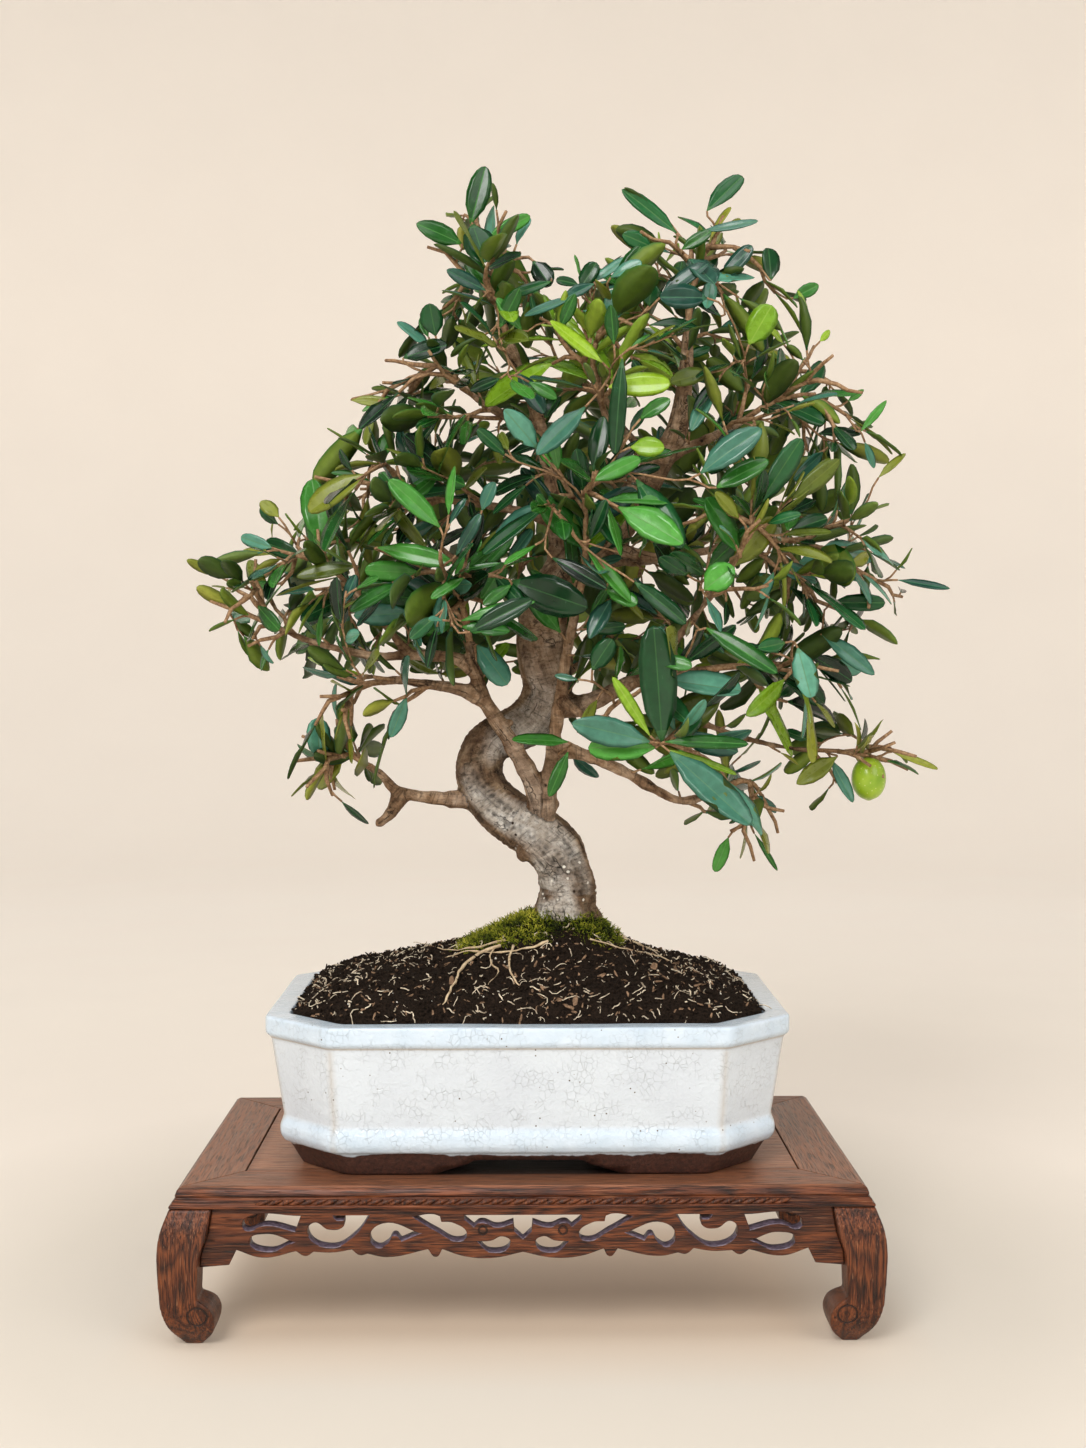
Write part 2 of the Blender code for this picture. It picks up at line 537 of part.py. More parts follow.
def make_legs(wood):
    """Cabriole legs with a scroll foot: one outline from the front, crossed with it from the side."""
    outline = LEG_OUTER + LEG_SCROLL + LEG_INNER
    for name, side, face in (
        ("leg_front_left", -1, -1), ("leg_front_right", 1, -1),
        ("leg_back_left", -1, 1), ("leg_back_right", 1, 1),
    ):
        blanks = []
        for half_run in (STAND_LENGTH / 2.0, STAND_DEPTH / 2.0):
            shifted = [(half_run + out, height, kind) for out, height, kind in outline]
            blanks.append(plate([shifted], LEG_BLANK, smoothness=2))
        blanks[0].transform(Matrix.Translation(mm(0.0, STAND_DEPTH / 2.0, 0.0)))
        blanks[1].transform(Matrix.Rotation(math.pi / 2.0, 4, "Z"))
        blanks[1].transform(Matrix.Translation(mm(STAND_LENGTH / 2.0, 0.0, 0.0)))
        mesh = boolean(blanks[0], blanks[1], "INTERSECT")
        mesh.transform(Matrix.Diagonal((side, face, 1.0, 1.0)))
        corner = mm(side * STAND_LENGTH / 2.0, face * STAND_DEPTH / 2.0, 0.0)
        add_piece(name, cleaned(mesh, flatten=True), wood, corner, smooth=True)


# ---------------------------------------------------------------- pot, soil and moss
def chamfered_ring(half_length, half_depth, chamfer, height, steps=1):
    """Points round a rectangle with cut corners, each side in equal steps."""
    corners = [
        (half_length, chamfer - half_depth), (half_length, half_depth - chamfer),
        (half_length - chamfer, half_depth), (chamfer - half_length, half_depth),
        (-half_length, half_depth - chamfer), (-half_length, chamfer - half_depth),
        (chamfer - half_length, -half_depth), (half_length - chamfer, -half_depth),
    ]
    ring = []
    for (ax, ay), (bx, by) in zip(corners, corners[1:] + corners[:1]):
        for k in range(steps):
            x = POT_CENTRE[0] + ax + (bx - ax) * k / steps
            y = POT_CENTRE[1] + ay + (by - ay) * k / steps
            ring.append(mm(x, y, height))
    return ring


def pot_ring(half_length, chamfer, height, steps=1):
    return chamfered_ring(half_length, half_length - POT_SLIMNESS, chamfer, height, steps)


def arch_cutter(half_widths, turn):
    """A long wedge under the pot that leaves an arch in the foot on both sides."""
    wide, narrow = half_widths
    below = FOOT_BOTTOM - CUTTER_SPARE
    outline = [(-wide, below, "c"), (wide, below, "c"), (narrow, FOOT_BOTTOM + ARCH_HEIGHT, "c"),
               (-narrow, FOOT_BOTTOM + ARCH_HEIGHT, "c")]
    mesh = plate([outline], 2.0 * (RIM_HALF_LENGTH + CUTTER_SPARE), smoothness=1)
    mesh.transform(Matrix.Rotation(turn, 4, "Z"))
    mesh.transform(Matrix.Translation(mm(POT_CENTRE[0], POT_CENTRE[1], 0.0)))
    return mesh


def make_pot(glaze):
    mesh = loft([pot_ring(*section) for section in POT_SECTIONS])
    mesh = boolean(mesh, arch_cutter(ARCH_LONG, 0.0), "DIFFERENCE")
    mesh = boolean(mesh, arch_cutter(ARCH_SHORT, math.pi / 2.0), "DIFFERENCE")
    add_piece("pot", cleaned(mesh, flatten=True), glaze, mm(*POT_CENTRE, FOOT_BOTTOM), smooth=True)


def ground_height(x, y, share):
    """Height of the soil at a place that lies the given share of the way from the middle to the rim."""
    mound = SOIL_EDGE + SOIL_RISE * (1.0 - share**SOIL_ROUNDNESS)
    side = x - TRUNK[0][0]
    across = side / (COLLAR_REACH[0] if side < 0.0 else COLLAR_REACH[1])
    deep = (y - TRUNK[0][1]) / COLLAR_REACH[2]
    collar = COLLAR_RISE * math.exp(-(math.hypot(across, deep) ** COLLAR_ROUNDNESS))
    return min(mound + collar, GROUND_LEVEL - GAP / MM)


def ground_ring(share, lift=0.0):
    """A ring on the soil: the pot's outline drawn in, and drifting toward the trunk as it narrows."""
    half, chamfer, height = POT_SECTIONS[-2]
    drift = (1.0 - share) ** 3
    ring = []
    for point in pot_ring(half - SOIL_INSET, chamfer, height, steps=3):
        x = POT_CENTRE[0] + (point.x / MM - POT_CENTRE[0]) * share + (TRUNK[0][0] - POT_CENTRE[0]) * drift
        y = POT_CENTRE[1] + (point.y / MM - POT_CENTRE[1]) * share + (TRUNK[0][1] - POT_CENTRE[1]) * drift
        ring.append(mm(x, y, ground_height(x, y, share) + lift))
    return ring


def make_soil(earth):
    """Peat that fills the pot and is mounded up to the trunk."""
    floor_half, floor_chamfer, floor_height = POT_SECTIONS[-1]
    wall_half, wall_chamfer, wall_height = POT_SECTIONS[-2]
    inset = GAP / MM
    rings = [pot_ring(floor_half - inset, floor_chamfer, floor_height + inset, steps=3)]
    rings.append(pot_ring(wall_half - inset, wall_chamfer, wall_height, steps=3))
    rings += [ground_ring(share) for share in SOIL_RINGS]
    add_piece("soil", loft(rings), earth, mm(*POT_CENTRE, floor_height), smooth=True)


def make_moss(green, limbs):
    """A cushion of moss on the mound, open where the trunk stands."""
    path, girth = limbs["trunk"]
    foot = path[0] - mm(0.0, 0.0, COLLAR_RISE)
    trunk_cutter = tube([foot] + path, [radius + GAP for radius in girth[:1] + girth], TRUNK_SIDES)
    under = [ground_ring(share, GAP / MM) for share in MOSS_RINGS]
    over = [ground_ring(share, GAP / MM + depth) for share, depth in zip(MOSS_RINGS, MOSS_DEPTH)]
    mesh = boolean(loft(list(reversed(over)) + under), trunk_cutter, "DIFFERENCE")
    add_piece("moss", keep_largest(mesh), green, mm(*TRUNK[0][:3]), smooth=True)


# ---------------------------------------------------------------- limbs
def smooth_path(waypoints, radii):
    """A curve through waypoints (Catmull-Rom) with the radius eased along it, as (places, radii)."""
    places = [mm(*point[:3]) for point in waypoints]
    places = [2.0 * places[0] - places[1]] + places + [2.0 * places[-1] - places[-2]]
    girths = [radii[0]] + list(radii) + [radii[-1]]
    path = []
    girth = []
    for k in range(1, len(places) - 2):
        before, start, end, after = places[k - 1 : k + 3]
        spacing = max(RING_SPACING, girths[k]) * MM
        steps = max(1, round((end - start).length / spacing))
        for step in range(steps):
            t = step / steps
            point = 0.5 * (
                2.0 * start + (end - before) * t + (2.0 * before - 5.0 * start + 4.0 * end - after) * t**2
                + (3.0 * start - before - 3.0 * end + after) * t**3
            )
            path.append(point)
            girth.append((girths[k] + (girths[k + 1] - girths[k]) * t) * MM)
    path.append(places[-2])
    girth.append(girths[-2] * MM)
    return path, girth


def tube(path, girth, sides):
    """A tapering tube with closed ends, as a mesh."""
    curve = bpy.data.curves.new("limb", "CURVE")
    curve.dimensions = "3D"
    curve.bevel_depth = 1.0
    curve.bevel_resolution = sides
    curve.use_fill_caps = True
    spline = curve.splines.new("POLY")
    spline.points.add(len(path) - 1)
    for point, place, radius in zip(spline.points, path, girth):
        point.co = (*place, 1.0)
        point.radius = radius
    limb = add_helper("limb", curve)
    mesh = evaluated_mesh(limb)
    remove(limb)
    bpy.data.curves.remove(curve)
    return cleaned(mesh)


def limb_table():
    """Each limb's path and girth by name: the trunk first, then the boughs."""
    limbs = {"trunk": smooth_path(TRUNK, [point[3] for point in TRUNK])}
    for name, _, (thick, thin), waypoints in BOUGHS:
        spread = [0.0]
        for first, second in zip(waypoints[:-1], waypoints[1:]):
            spread.append(spread[-1] + (mm(*second) - mm(*first)).length)
        radii = [thick + (thin - thick) * (run / spread[-1]) ** BOUGH_TAPER for run in spread]
        limbs[name] = smooth_path(waypoints, radii)
    return limbs


def carrier_cutter(limb, sides):
    """The limb's own tube, a gap wider all round."""
    path, girth = limb
    return tube(path, [radius + GAP for radius in girth], sides)


def make_trunk(limbs, bark):
    path, girth = limbs["trunk"]
    add_piece("trunk", tube(path, girth, TRUNK_SIDES), bark, path[0], smooth=True)


def make_boughs(limbs, bark):
    """Each bough starts in the heart of the limb that carries it and is cut back to its bark."""
    for name, carriers, _, _ in BOUGHS:
        path, girth = limbs[name]
        mesh = tube(path, girth, BOUGH_SIDES)
        if name == "bough_left_low":
            (thick, thin), stub = STUB
            stub_path, stub_girth = smooth_path(stub, [thick, (thick + thin) / 2.0, thin])
            mesh = boolean(mesh, tube(stub_path, stub_girth, BOUGH_SIDES), "UNION")
        for carrier in carriers:
            sides = TRUNK_SIDES if carrier == "trunk" else BOUGH_SIDES
            mesh = boolean(mesh, carrier_cutter(limbs[carrier], sides), "DIFFERENCE")
        add_piece(name, keep_largest(mesh), bark, path[1], smooth=True)


# ---------------------------------------------------------------- foliage
def limb_capsules(limbs):
    """Every limb as runs between two places with a radius, for keeping clear of them."""
    starts = []
    ends = []
    radii = []
    owners = []
    stub_path, stub_girth = smooth_path(STUB[1], [STUB[0][0]] * len(STUB[1]))
    for name, (path, girth) in list(limbs.items()) + [("stub", (stub_path, stub_girth))]:
        for k in range(len(path) - 1):
            starts.append(path[k])
            ends.append(path[k + 1])
            radii.append(max(girth[k], girth[k + 1]))
            owners.append(name)
    return np.array(starts), np.array(ends), np.array(radii), owners


def limb_clearance(points, capsules, skip=None):
    """The least distance from any of the points to the bark of the limbs, but for the skipped one."""
    starts, ends, radii, owners = capsules
    runs = ends - starts
    lengths = (runs**2).sum(axis=1)
    offset = points[:, None, :] - starts[None, :, :]
    along = np.clip((offset * runs[None]).sum(axis=2) / lengths[None], 0.0, 1.0)
    distance = np.linalg.norm(offset - along[..., None] * runs[None], axis=2) - radii[None]
    if skip is not None:
        distance[:, [owner == skip for owner in owners]] = 1.0
    return float(distance.min())


def in_cell(points, home, centres, weights):
    """Whether all points lie in the home mass's share of the crown's space, a margin inside it."""
    offset = points[:, None, :] - centres[None, :, :]
    power = (offset**2).sum(axis=2) - weights[None] ** 2
    spacing = np.linalg.norm(centres - centres[home], axis=1)
    spacing[home] = 1.0
    depth = (power - power[:, home : home + 1]) / (2.0 * spacing[None])
    depth[:, home] = 1.0
    return bool((depth.min(axis=1) > CELL_MARGIN * MM).all())


def bend(start, heading, end, step):
    """Points of a twig that leaves along the heading and curves to its end."""
    span = (end - start).length
    knee = start + heading * span * TWIG_KNEE
    steps = max(1, round(span / (step * MM)))
    points = []
    for k in range(steps + 1):
        t = k / steps
        points.append(start * (1 - t) ** 2 + knee * 2 * t * (1 - t) + end * t**2)
    return points


def fork_cost(fork, target):
    """How far a fork is from a target, with turning back counted as farther."""
    place, heading, _ = fork
    run = target - place
    return run.length * (TURNING_COST - heading.dot(run.normalized()))


def places_along(points, spacing):
    """Places along a line of points, the given distance apart, with the heading there."""
    places = []
    for first, second in zip(points[:-1], points[1:]):
        run = second - first
        steps = max(1, round(run.length / spacing))
        places += [(first + run * (k + 1) / steps, run.normalized()) for k in range(steps)]
    return places


def apart(points, others, distance):
    """Whether every point keeps the distance from every other."""
    if not len(others):
        return True
    gaps = np.linalg.norm(points[:, None, :] - np.array(others)[None, :, :], axis=2)
    return bool(gaps.min() > distance)


def seeded_tips(rng, middle, reach, count):
    """Tips spread over the outer part of a mass's egg-shaped space, inside the crown."""
    tips = []
    for k in range(count):
        height = 1.0 - 2.0 * (k + rng.random()) / count
        turn = k * math.pi * (3.0 - math.sqrt(5.0)) + rng.uniform(-0.3, 0.3)
        ring = math.sqrt(max(0.0, 1.0 - height * height))
        share = rng.uniform(*TIP_SHARE)
        tips.append(mm(middle[0] + reach[0] * ring * math.cos(turn) * share,
                       middle[1] + reach[1] * ring * math.sin(turn) * share,
                       middle[2] + reach[2] * height * share))
    rng.shuffle(tips)
    return [tip for tip in tips if crown_holds(tip)]


def leaf_points(leaf):
    """Places down a leaf's middle and round its edge, for keeping it clear of things."""
    root, heading, across, length, breadth = leaf
    points = []
    for share in LEAF_STATIONS:
        half = breadth / 2.0 * max(0.0, 1.0 - abs(share - LEAF_WIDEST) / (1.0 - LEAF_WIDEST))
        points += [root + heading * length * share + across * half * side for side in (0.0, -1.0, 1.0)]
    return np.array(points)


def frames(points, roll):
    """The turn of a twig at each of its points: rolled once at its root, then carried along unchanged."""
    setting_out = points[1] - points[0]
    turn = Quaternion(setting_out.normalized(), roll) @ setting_out.to_track_quat("Z", "Y")
    turns = [turn]
    for k in range(1, len(points)):
        ahead = points[min(k + 1, len(points) - 1)] - points[k - 1]
        turn = (turn @ Vector((0.0, 0.0, 1.0))).rotation_difference(ahead.normalized()) @ turn
        turns.append(turn)
    return turns


def seats_behind(twig):
    """Where pairs of leaves sit on a twig, from its tip back: (place, heading, the way across it)."""
    points, _, roll = twig
    turns = frames(points, roll)
    seats = []
    left = FIRST_PAIR * MM
    for k in range(len(points) - 1, 0, -1):
        run = points[k] - points[k - 1]
        while left < run.length - LAST_PAIR * MM * (k == 1):
            across = turns[k - 1] @ Vector((1.0, 0.0, 0.0))
            seats.append((points[k] - run.normalized() * left, run.normalized(), across))
            left += PAIR_SPACING * MM
        left -= run.length
    return seats


def blade_across(rng, root, direction):
    """The way across a blade that turns its face out of the crown."""
    facing = (root - mm(*CROWN_HEART)).normalized() + Vector((0.0, 0.0, LEAF_LIFT))
    return Quaternion(direction, rng.uniform(-LEAF_ROLL, LEAF_ROLL)) @ facing.cross(direction).normalized()


def leaves_on(rng, twig, end_length, scale, count):
    """An end leaf, and opposite pairs behind it that go out through the flats of the three-sided twig."""
    points = twig[0]
    heading = (points[-1] - points[-2]).normalized()
    root = points[-1] - heading * LEAF_SINK * MM
    across = blade_across(rng, root, heading)
    leaves = [(root, heading, across, end_length, end_length * rng.uniform(*LEAF_SLIMNESS))]
    for pair, (place, heading, across) in enumerate(seats_behind(twig)):
        for side in (-1.0, 1.0):
            if len(leaves) == count:
                return leaves
            outward = Quaternion(heading, pair * PAIR_TURN) @ across * side
            angle = math.radians(rng.uniform(*LEAF_OPENING))
            direction = (heading * math.cos(angle) + outward * math.sin(angle)).normalized()
            length = rng.uniform(*LEAF_LENGTH) * scale
            breadth = length * rng.uniform(*LEAF_SLIMNESS)
            leaves.append((place, direction, blade_across(rng, place, direction), length, breadth))
    return leaves


def stem_course(start, heading, middle, overshoot):
    """A mass's stem: straight out of its limb's tip, then on through the middle of the mass."""
    knee = start + heading * STEM_LENGTH * MM
    onward = mm(*middle) - knee
    if onward.length < STEM_LENGTH * MM:
        return [start, knee]
    return [start] + bend(knee, heading, knee + onward * (1.0 + overshoot), TWIG_STEP)


def crown_holds(place):
    """Whether a place lies inside the crown's outline, drawn in for its depth."""
    heart = mm(*CROWN_HEART)
    depth = (place.y - heart.y) / (CROWN_DEPTH * MM)
    if abs(depth) >= 1.0:
        return False
    x, z = [(heart[k] + (place[k] - heart[k]) / math.sqrt(1.0 - depth * depth)) / MM for k in (0, 2)]
    inside = False
    for (x1, z1), (x2, z2) in zip(CROWN_OUTLINE, CROWN_OUTLINE[1:] + CROWN_OUTLINE[:1]):
        if (z1 > z) != (z2 > z) and x < x1 + (x2 - x1) * (z - z1) / (z2 - z1):
            inside = not inside
    return inside


class Growth:
    """The twigs and leaves of one mass, grown one twig at a time inside the mass's own space."""

    def __init__(self, mass, home, capsules, centres, weights):
        self.name, self.limb, self.middle, self.reach, self.leaf_count, self.reached = mass
        self.rng = random.Random(GROWTH_SEED + home)
        self.capsules = capsules
        self.in_space = lambda points: in_cell(points, home, centres, weights)
        self.leaf_scale = min(1.0, sum(self.reach) / 3.0 / FULL_LEAF_REACH) * MM
        self.twigs = []
        self.leaves = []
        self.forks = []
        self.wood = []
        self.blades = []

    def holds(self, leaf):
        """Whether a leaf keeps to the mass's space, clear of the limbs and of what has grown."""
        edge = leaf_points(leaf)
        outer = edge[3:]
        if not apart(outer, self.blades, ELBOW_ROOM * MM) or not apart(outer, self.wood, ELBOW_ROOM * MM):
            return False
        return self.in_space(edge) and limb_clearance(edge, self.capsules) > LIMB_MARGIN * MM

    def try_twig(self, points, radii, end_length, is_stem=False):
        """Adds a twig and the leaves it can hold, and says whether it grew."""
        places = np.array([place for place, way in places_along(points, ELBOW_ROOM * MM)])
        if not self.in_space(places) or not apart(places, self.blades, ELBOW_ROOM * MM):
            return False
        skipped = self.limb if is_stem else None
        if limb_clearance(places, self.capsules, skipped) < LIMB_MARGIN * MM + radii[0]:
            return False
        twig = (points, radii, self.rng.uniform(0.0, 2.0 * math.pi))
        fresh = []
        wanted = min(LEAVES_PER_TWIG, max(1, self.leaf_count - len(self.leaves)))
        for index, leaf in enumerate(leaves_on(self.rng, twig, end_length, self.leaf_scale, wanted)):
            tip = leaf[0] + leaf[1] * leaf[3]
            if (index == 0 or crown_holds(tip)) and self.holds(leaf):
                fresh.append(leaf)
                self.blades.extend(tuple(point) for point in leaf_points(leaf)[3:])
        if not fresh and not is_stem:
            return False
        self.twigs.append(twig)
        self.leaves.extend(fresh)
        self.wood.extend(tuple(place) for place in places[:-1])
        course = places_along(points, FORK_STEP * MM)
        for k, (place, way) in enumerate(course[:-1]):
            self.forks.append((place, way, radii[0] + (radii[1] - radii[0]) * (k + 1) / len(course)))
        return True

    def reach_for(self, target):
        """Grows a twig from the handiest free fork, with the end leaf's point on the target."""
        if not self.forks:
            return
        fork = min(self.forks, key=lambda option: fork_cost(option, target))
        run = target - fork[0]
        length = min(self.rng.uniform(*LEAF_LENGTH) * self.leaf_scale, run.length - SHORTEST_TWIG * MM)
        if length < SHORTEST_LEAF * self.leaf_scale:
            return
        end = target - run.normalized() * length
        points = bend(fork[0], (fork[1] + run.normalized()).normalized(), end, TWIG_STEP)
        root = max(TWIG_RADIUS[0] * fork[2], TWIG_RADIUS[1] * MM)
        if self.try_twig(points, (root, TWIG_RADIUS[1] * MM), length):
            self.forks.remove(fork)


def grow(mass, home, limbs, capsules, centres, weights):
    """A stem from the limb's tip, forking toward the tips to be reached and then toward seeded ones."""
    growth = Growth(mass, home, capsules, centres, weights)
    path, girth = limbs[growth.limb]
    heading = (path[-1] - path[-2]).normalized()
    start = path[-1] + heading * GAP
    radii = (min(STEM_RADIUS[0] * MM, STEM_FIT * girth[-1]), STEM_RADIUS[1] * MM)
    courses = [stem_course(start, heading, growth.middle, overshoot) for overshoot in STEM_OVERSHOOTS]
    courses.append([start, start + heading * STEM_LENGTH * MM])
    for course in courses:
        if growth.try_twig(course, radii, LEAF_LENGTH[0] * growth.leaf_scale, True):
            break
    for target in sorted([mm(*tip) for tip in growth.reached], key=lambda tip: (tip - start).length):
        growth.reach_for(target)
    for target in seeded_tips(growth.rng, growth.middle, growth.reach, SEEDED_TIPS * growth.leaf_count):
        if len(growth.leaves) < growth.leaf_count:
            growth.reach_for(target)
    return growth.twigs, growth.leaves


def twig_mesh(points, radii, roll):
    """A three-sided twig through its points, thinner all the way."""
    bm = bmesh.new()
    count = len(points) - 1
    rows = []
    for k, (point, turn) in enumerate(zip(points, frames(points, roll))):
        radius = radii[0] + (radii[1] - radii[0]) * k / count
        place = Matrix.Translation(point) @ turn.to_matrix().to_4x4()
        ring = bmesh.ops.create_circle(bm, cap_ends=k in (0, count), radius=radius, segments=3, matrix=place)
        rows.append(list({edge for vert in ring["verts"] for edge in vert.link_edges}))
    for lower, upper in zip(rows[:-1], rows[1:]):
        bmesh.ops.bridge_loops(bm, edges=lower + upper)
    bmesh.ops.recalc_face_normals(bm, faces=bm.faces)
    mesh = bpy.data.meshes.new("twig")
    bm.to_mesh(mesh)
    bm.free()
    return mesh


def leaf_mesh(leaf):
    """An eight-faced blade: a four-sided globe drawn out to a point at both ends."""
    root, heading, across, length, breadth = leaf
    up = heading.cross(across).normalized()
    bm = bmesh.new()
    bmesh.ops.create_uvsphere(bm, u_segments=4, v_segments=2, radius=1.0)
    for vert in bm.verts:
        along = LEAF_WIDEST + vert.co.z / 2.0 + (0.5 - LEAF_WIDEST) * vert.co.z**2
        side = across * vert.co.x * breadth / 2.0 + up * vert.co.y * LEAF_THICKNESS * MM / 2.0
        vert.co = root + heading * length * along + side
    mesh = bpy.data.meshes.new("leaf")
    bm.to_mesh(mesh)
    bm.free()
    return mesh


def fruit_meshes():
    """One olive on a short stalk that hangs from its twig."""
    top = mm(*FRUIT_HANG)
    bottom = top - mm(0.0, 0.0, FRUIT_STALK + FRUIT_SIZE[1])
    bm = bmesh.new()
    bmesh.ops.create_uvsphere(bm, u_segments=8, v_segments=6, radius=0.5)
    bmesh.ops.scale(bm, verts=bm.verts, vec=mm(FRUIT_SIZE[0], FRUIT_SIZE[0], FRUIT_SIZE[1]))
    bmesh.ops.translate(bm, verts=bm.verts, vec=bottom + mm(0.0, 0.0, FRUIT_SIZE[1] / 2.0))
    olive = bpy.data.meshes.new("olive")
    bm.to_mesh(olive)
    bm.free()
    stalk_end = bottom + mm(0.0, 0.0, FRUIT_SIZE[1] / 2.0)
    stalk = twig_mesh([top, stalk_end], (STALK_RADIUS * MM, STALK_RADIUS * MM), 0.0)
    return [olive, stalk]


def fuse(meshes, solver):
    """One body from overlapping ones, by a single union with a collection of them."""
    others = new_collection("fused")
    body = add_helper("stem", meshes[0].copy())
    for mesh in meshes[1:]:
        part = bpy.data.objects.new("sprout", mesh.copy())
        others.objects.link(part)
    union = body.modifiers.new("union", "BOOLEAN")
    union.operation = "UNION"
    union.operand_type = "COLLECTION"
    union.collection = others
    union.solver = solver
    result = evaluated_mesh(body)
    remove(body, *others.objects)
    bpy.data.collections.remove(others)
    return keep_largest(result)


def fused_soundly(wood, blades):
    """The mass in one closed body; where its union fails both ways, one leaf is left out."""
    for spare in range(len(blades) + 1):
        kept = blades if spare == 0 else blades[: spare - 1] + blades[spare:]
        least = LEAST_FUSED * sum(mesh_volume(mesh) for mesh in wood + kept)
        for solver in ("EXACT", "MANIFOLD"):
            fused = fuse(wood + kept, solver)
            if is_closed(fused) and mesh_volume(fused) > least:
                return fused
    raise RuntimeError("no sound union")


def make_masses(limbs, leaf_green):
    capsules = limb_capsules(limbs)
    centres = np.array([mm(*mass[2]) for mass in MASSES])
    weights = np.array([sum(mass[3]) / 3.0 * MM for mass in MASSES])
    for home, mass in enumerate(MASSES):
        twigs, leaves = grow(mass, home, limbs, capsules, centres, weights)
        wood = [twig_mesh(*twig) for twig in twigs]
        if mass[0] == "fruiting_twig":
            wood += fruit_meshes()
        blades = [leaf_mesh(leaf) for leaf in leaves]
        stem_root = twigs[0][0][0]
        add_piece("foliage_" + mass[0], fused_soundly(wood, blades), leaf_green, stem_root)


# ---------------------------------------------------------------- the whole plant
clear_scene()
PLANT = new_collection("olive_bonsai")
CUTTERS = new_collection("cutters")
ROOT = bpy.data.objects.new("olive_bonsai", None)
ROOT.location = STAND_PLACE
PLANT.objects.link(ROOT)

rosewood = new_material("rosewood", (0.14, 0.065, 0.04), 0.38)
glaze = new_material("white_glaze", (0.80, 0.79, 0.75), 0.18)
peat = new_material("peat", (0.025, 0.018, 0.013), 0.95)
moss_green = new_material("moss", (0.10, 0.14, 0.02), 0.95)
bark = new_material("olive_bark", (0.30, 0.24, 0.19), 0.85)
leaf_green = new_material("olive_leaf", (0.035, 0.13, 0.05), 0.42)

make_panel(rosewood)
make_rails(rosewood)
make_aprons(rosewood)
make_legs(rosewood)
make_pot(glaze)
make_soil(peat)
LIMBS = limb_table()
make_moss(moss_green, LIMBS)
make_trunk(LIMBS, bark)
make_boughs(LIMBS, bark)
make_masses(LIMBS, leaf_green)
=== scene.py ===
"""Olive bonsai: the finish of the tree, its pot, the soil and the rosewood stand.

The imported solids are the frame. Every piece here lies in that frame in metres. Places in the tables
below are millimetres from the middle of the stand's foot, and at() turns them into metres.
"""

import itertools
import math
import random

import bmesh
import bpy
import numpy as np
from mathutils import Matrix, Quaternion, Vector, noise


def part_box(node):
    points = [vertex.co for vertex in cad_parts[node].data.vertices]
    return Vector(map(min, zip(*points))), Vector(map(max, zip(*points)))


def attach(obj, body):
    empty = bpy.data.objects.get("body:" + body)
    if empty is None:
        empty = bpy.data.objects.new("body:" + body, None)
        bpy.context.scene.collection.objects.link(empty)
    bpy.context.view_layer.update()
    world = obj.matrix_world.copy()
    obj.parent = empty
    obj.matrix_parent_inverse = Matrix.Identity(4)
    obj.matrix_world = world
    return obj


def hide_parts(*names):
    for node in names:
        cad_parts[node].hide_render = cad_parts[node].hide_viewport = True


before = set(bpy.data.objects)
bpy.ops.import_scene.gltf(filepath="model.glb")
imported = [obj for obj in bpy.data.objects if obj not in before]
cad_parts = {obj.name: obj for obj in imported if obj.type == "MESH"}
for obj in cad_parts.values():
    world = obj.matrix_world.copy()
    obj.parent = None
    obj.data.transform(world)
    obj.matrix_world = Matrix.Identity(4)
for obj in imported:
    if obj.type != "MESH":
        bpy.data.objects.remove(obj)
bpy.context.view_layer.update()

MM = 0.001
PANEL_LOW, PANEL_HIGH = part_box("stand_panel")
PLANT = Vector(((PANEL_LOW.x + PANEL_HIGH.x) / 2.0, (PANEL_LOW.y + PANEL_HIGH.y) / 2.0, 0.0))


def at(x, y, z):
    """A place in the frame from millimetres."""
    return PLANT + Vector((x, y, z)) * MM


# ---------------------------------------------------------------- sizes of the stand
STAND_LENGTH = 375.0
STAND_DEPTH = 208.0
RAIL_BOTTOM = 77.0
JOINT = 0.3
JOINT_TOP = RAIL_BOTTOM - JOINT
APRON_FACE = 4.0
APRON_THICKNESS = 9.0
LEG_BLANK = 60.0
LEG_OUTER = [(6.4, JOINT_TOP, "c"), (11.2, 62.0, "s"), (11.6, 38.0, "s"), (8.0, 14.0, "s"), (-1.5, 0.0, "c")]
LEG_SCROLL = [(-10.5, 0.0, "c"), (-17.8, 9.5, "s"), (-17.3, 20.5, "s"), (-9.4, 28.5, "c")]
LEG_INNER = [(-10.0, 44.0, "c"), (-10.8, 52.0, "c"), (-14.5, 62.6, "c"), (-17.0, JOINT_TOP, "c")]
WOOD_DARK = (32, 14, 8)
WOOD_MID = (76, 34, 14)
WOOD_LIGHT = (128, 69, 35)
WOOD_SCRATCH = (172, 120, 84)
# The tint on the next line is painted on the top faces of the stand as painted light.
WOOD_LIT_TOP = (176, 122, 92)

# Lower edge of half an apron, from the leg to the middle: (from the middle, height).
EDGE_END = [(0.0, 44.1, "c"), (16.0, 45.4, "c"), (20.0, 53.6, "c")]
EDGE_LONG = [
    (-142.9, 49.3, "s"), (-124.6, 52.8, "c"), (-119.3, 50.1, "s"), (-115.0, 52.4, "c"),
    (-104.5, 52.0, "s"), (-94.0, 53.6, "c"), (-89.7, 50.5, "s"), (-85.3, 51.2, "c"),
    (-74.8, 49.3, "s"),
]
EDGE_SHORT = [(-63.0, 50.3, "s")]
EDGE_MIDDLE = [
    (-52.2, 53.6, "c"), (-47.8, 49.3, "s"), (-44.3, 53.6, "c"), (-32.0, 49.6, "s"), (-17.0, 48.6, "s"),
    (0.0, 51.9, "c"),
]
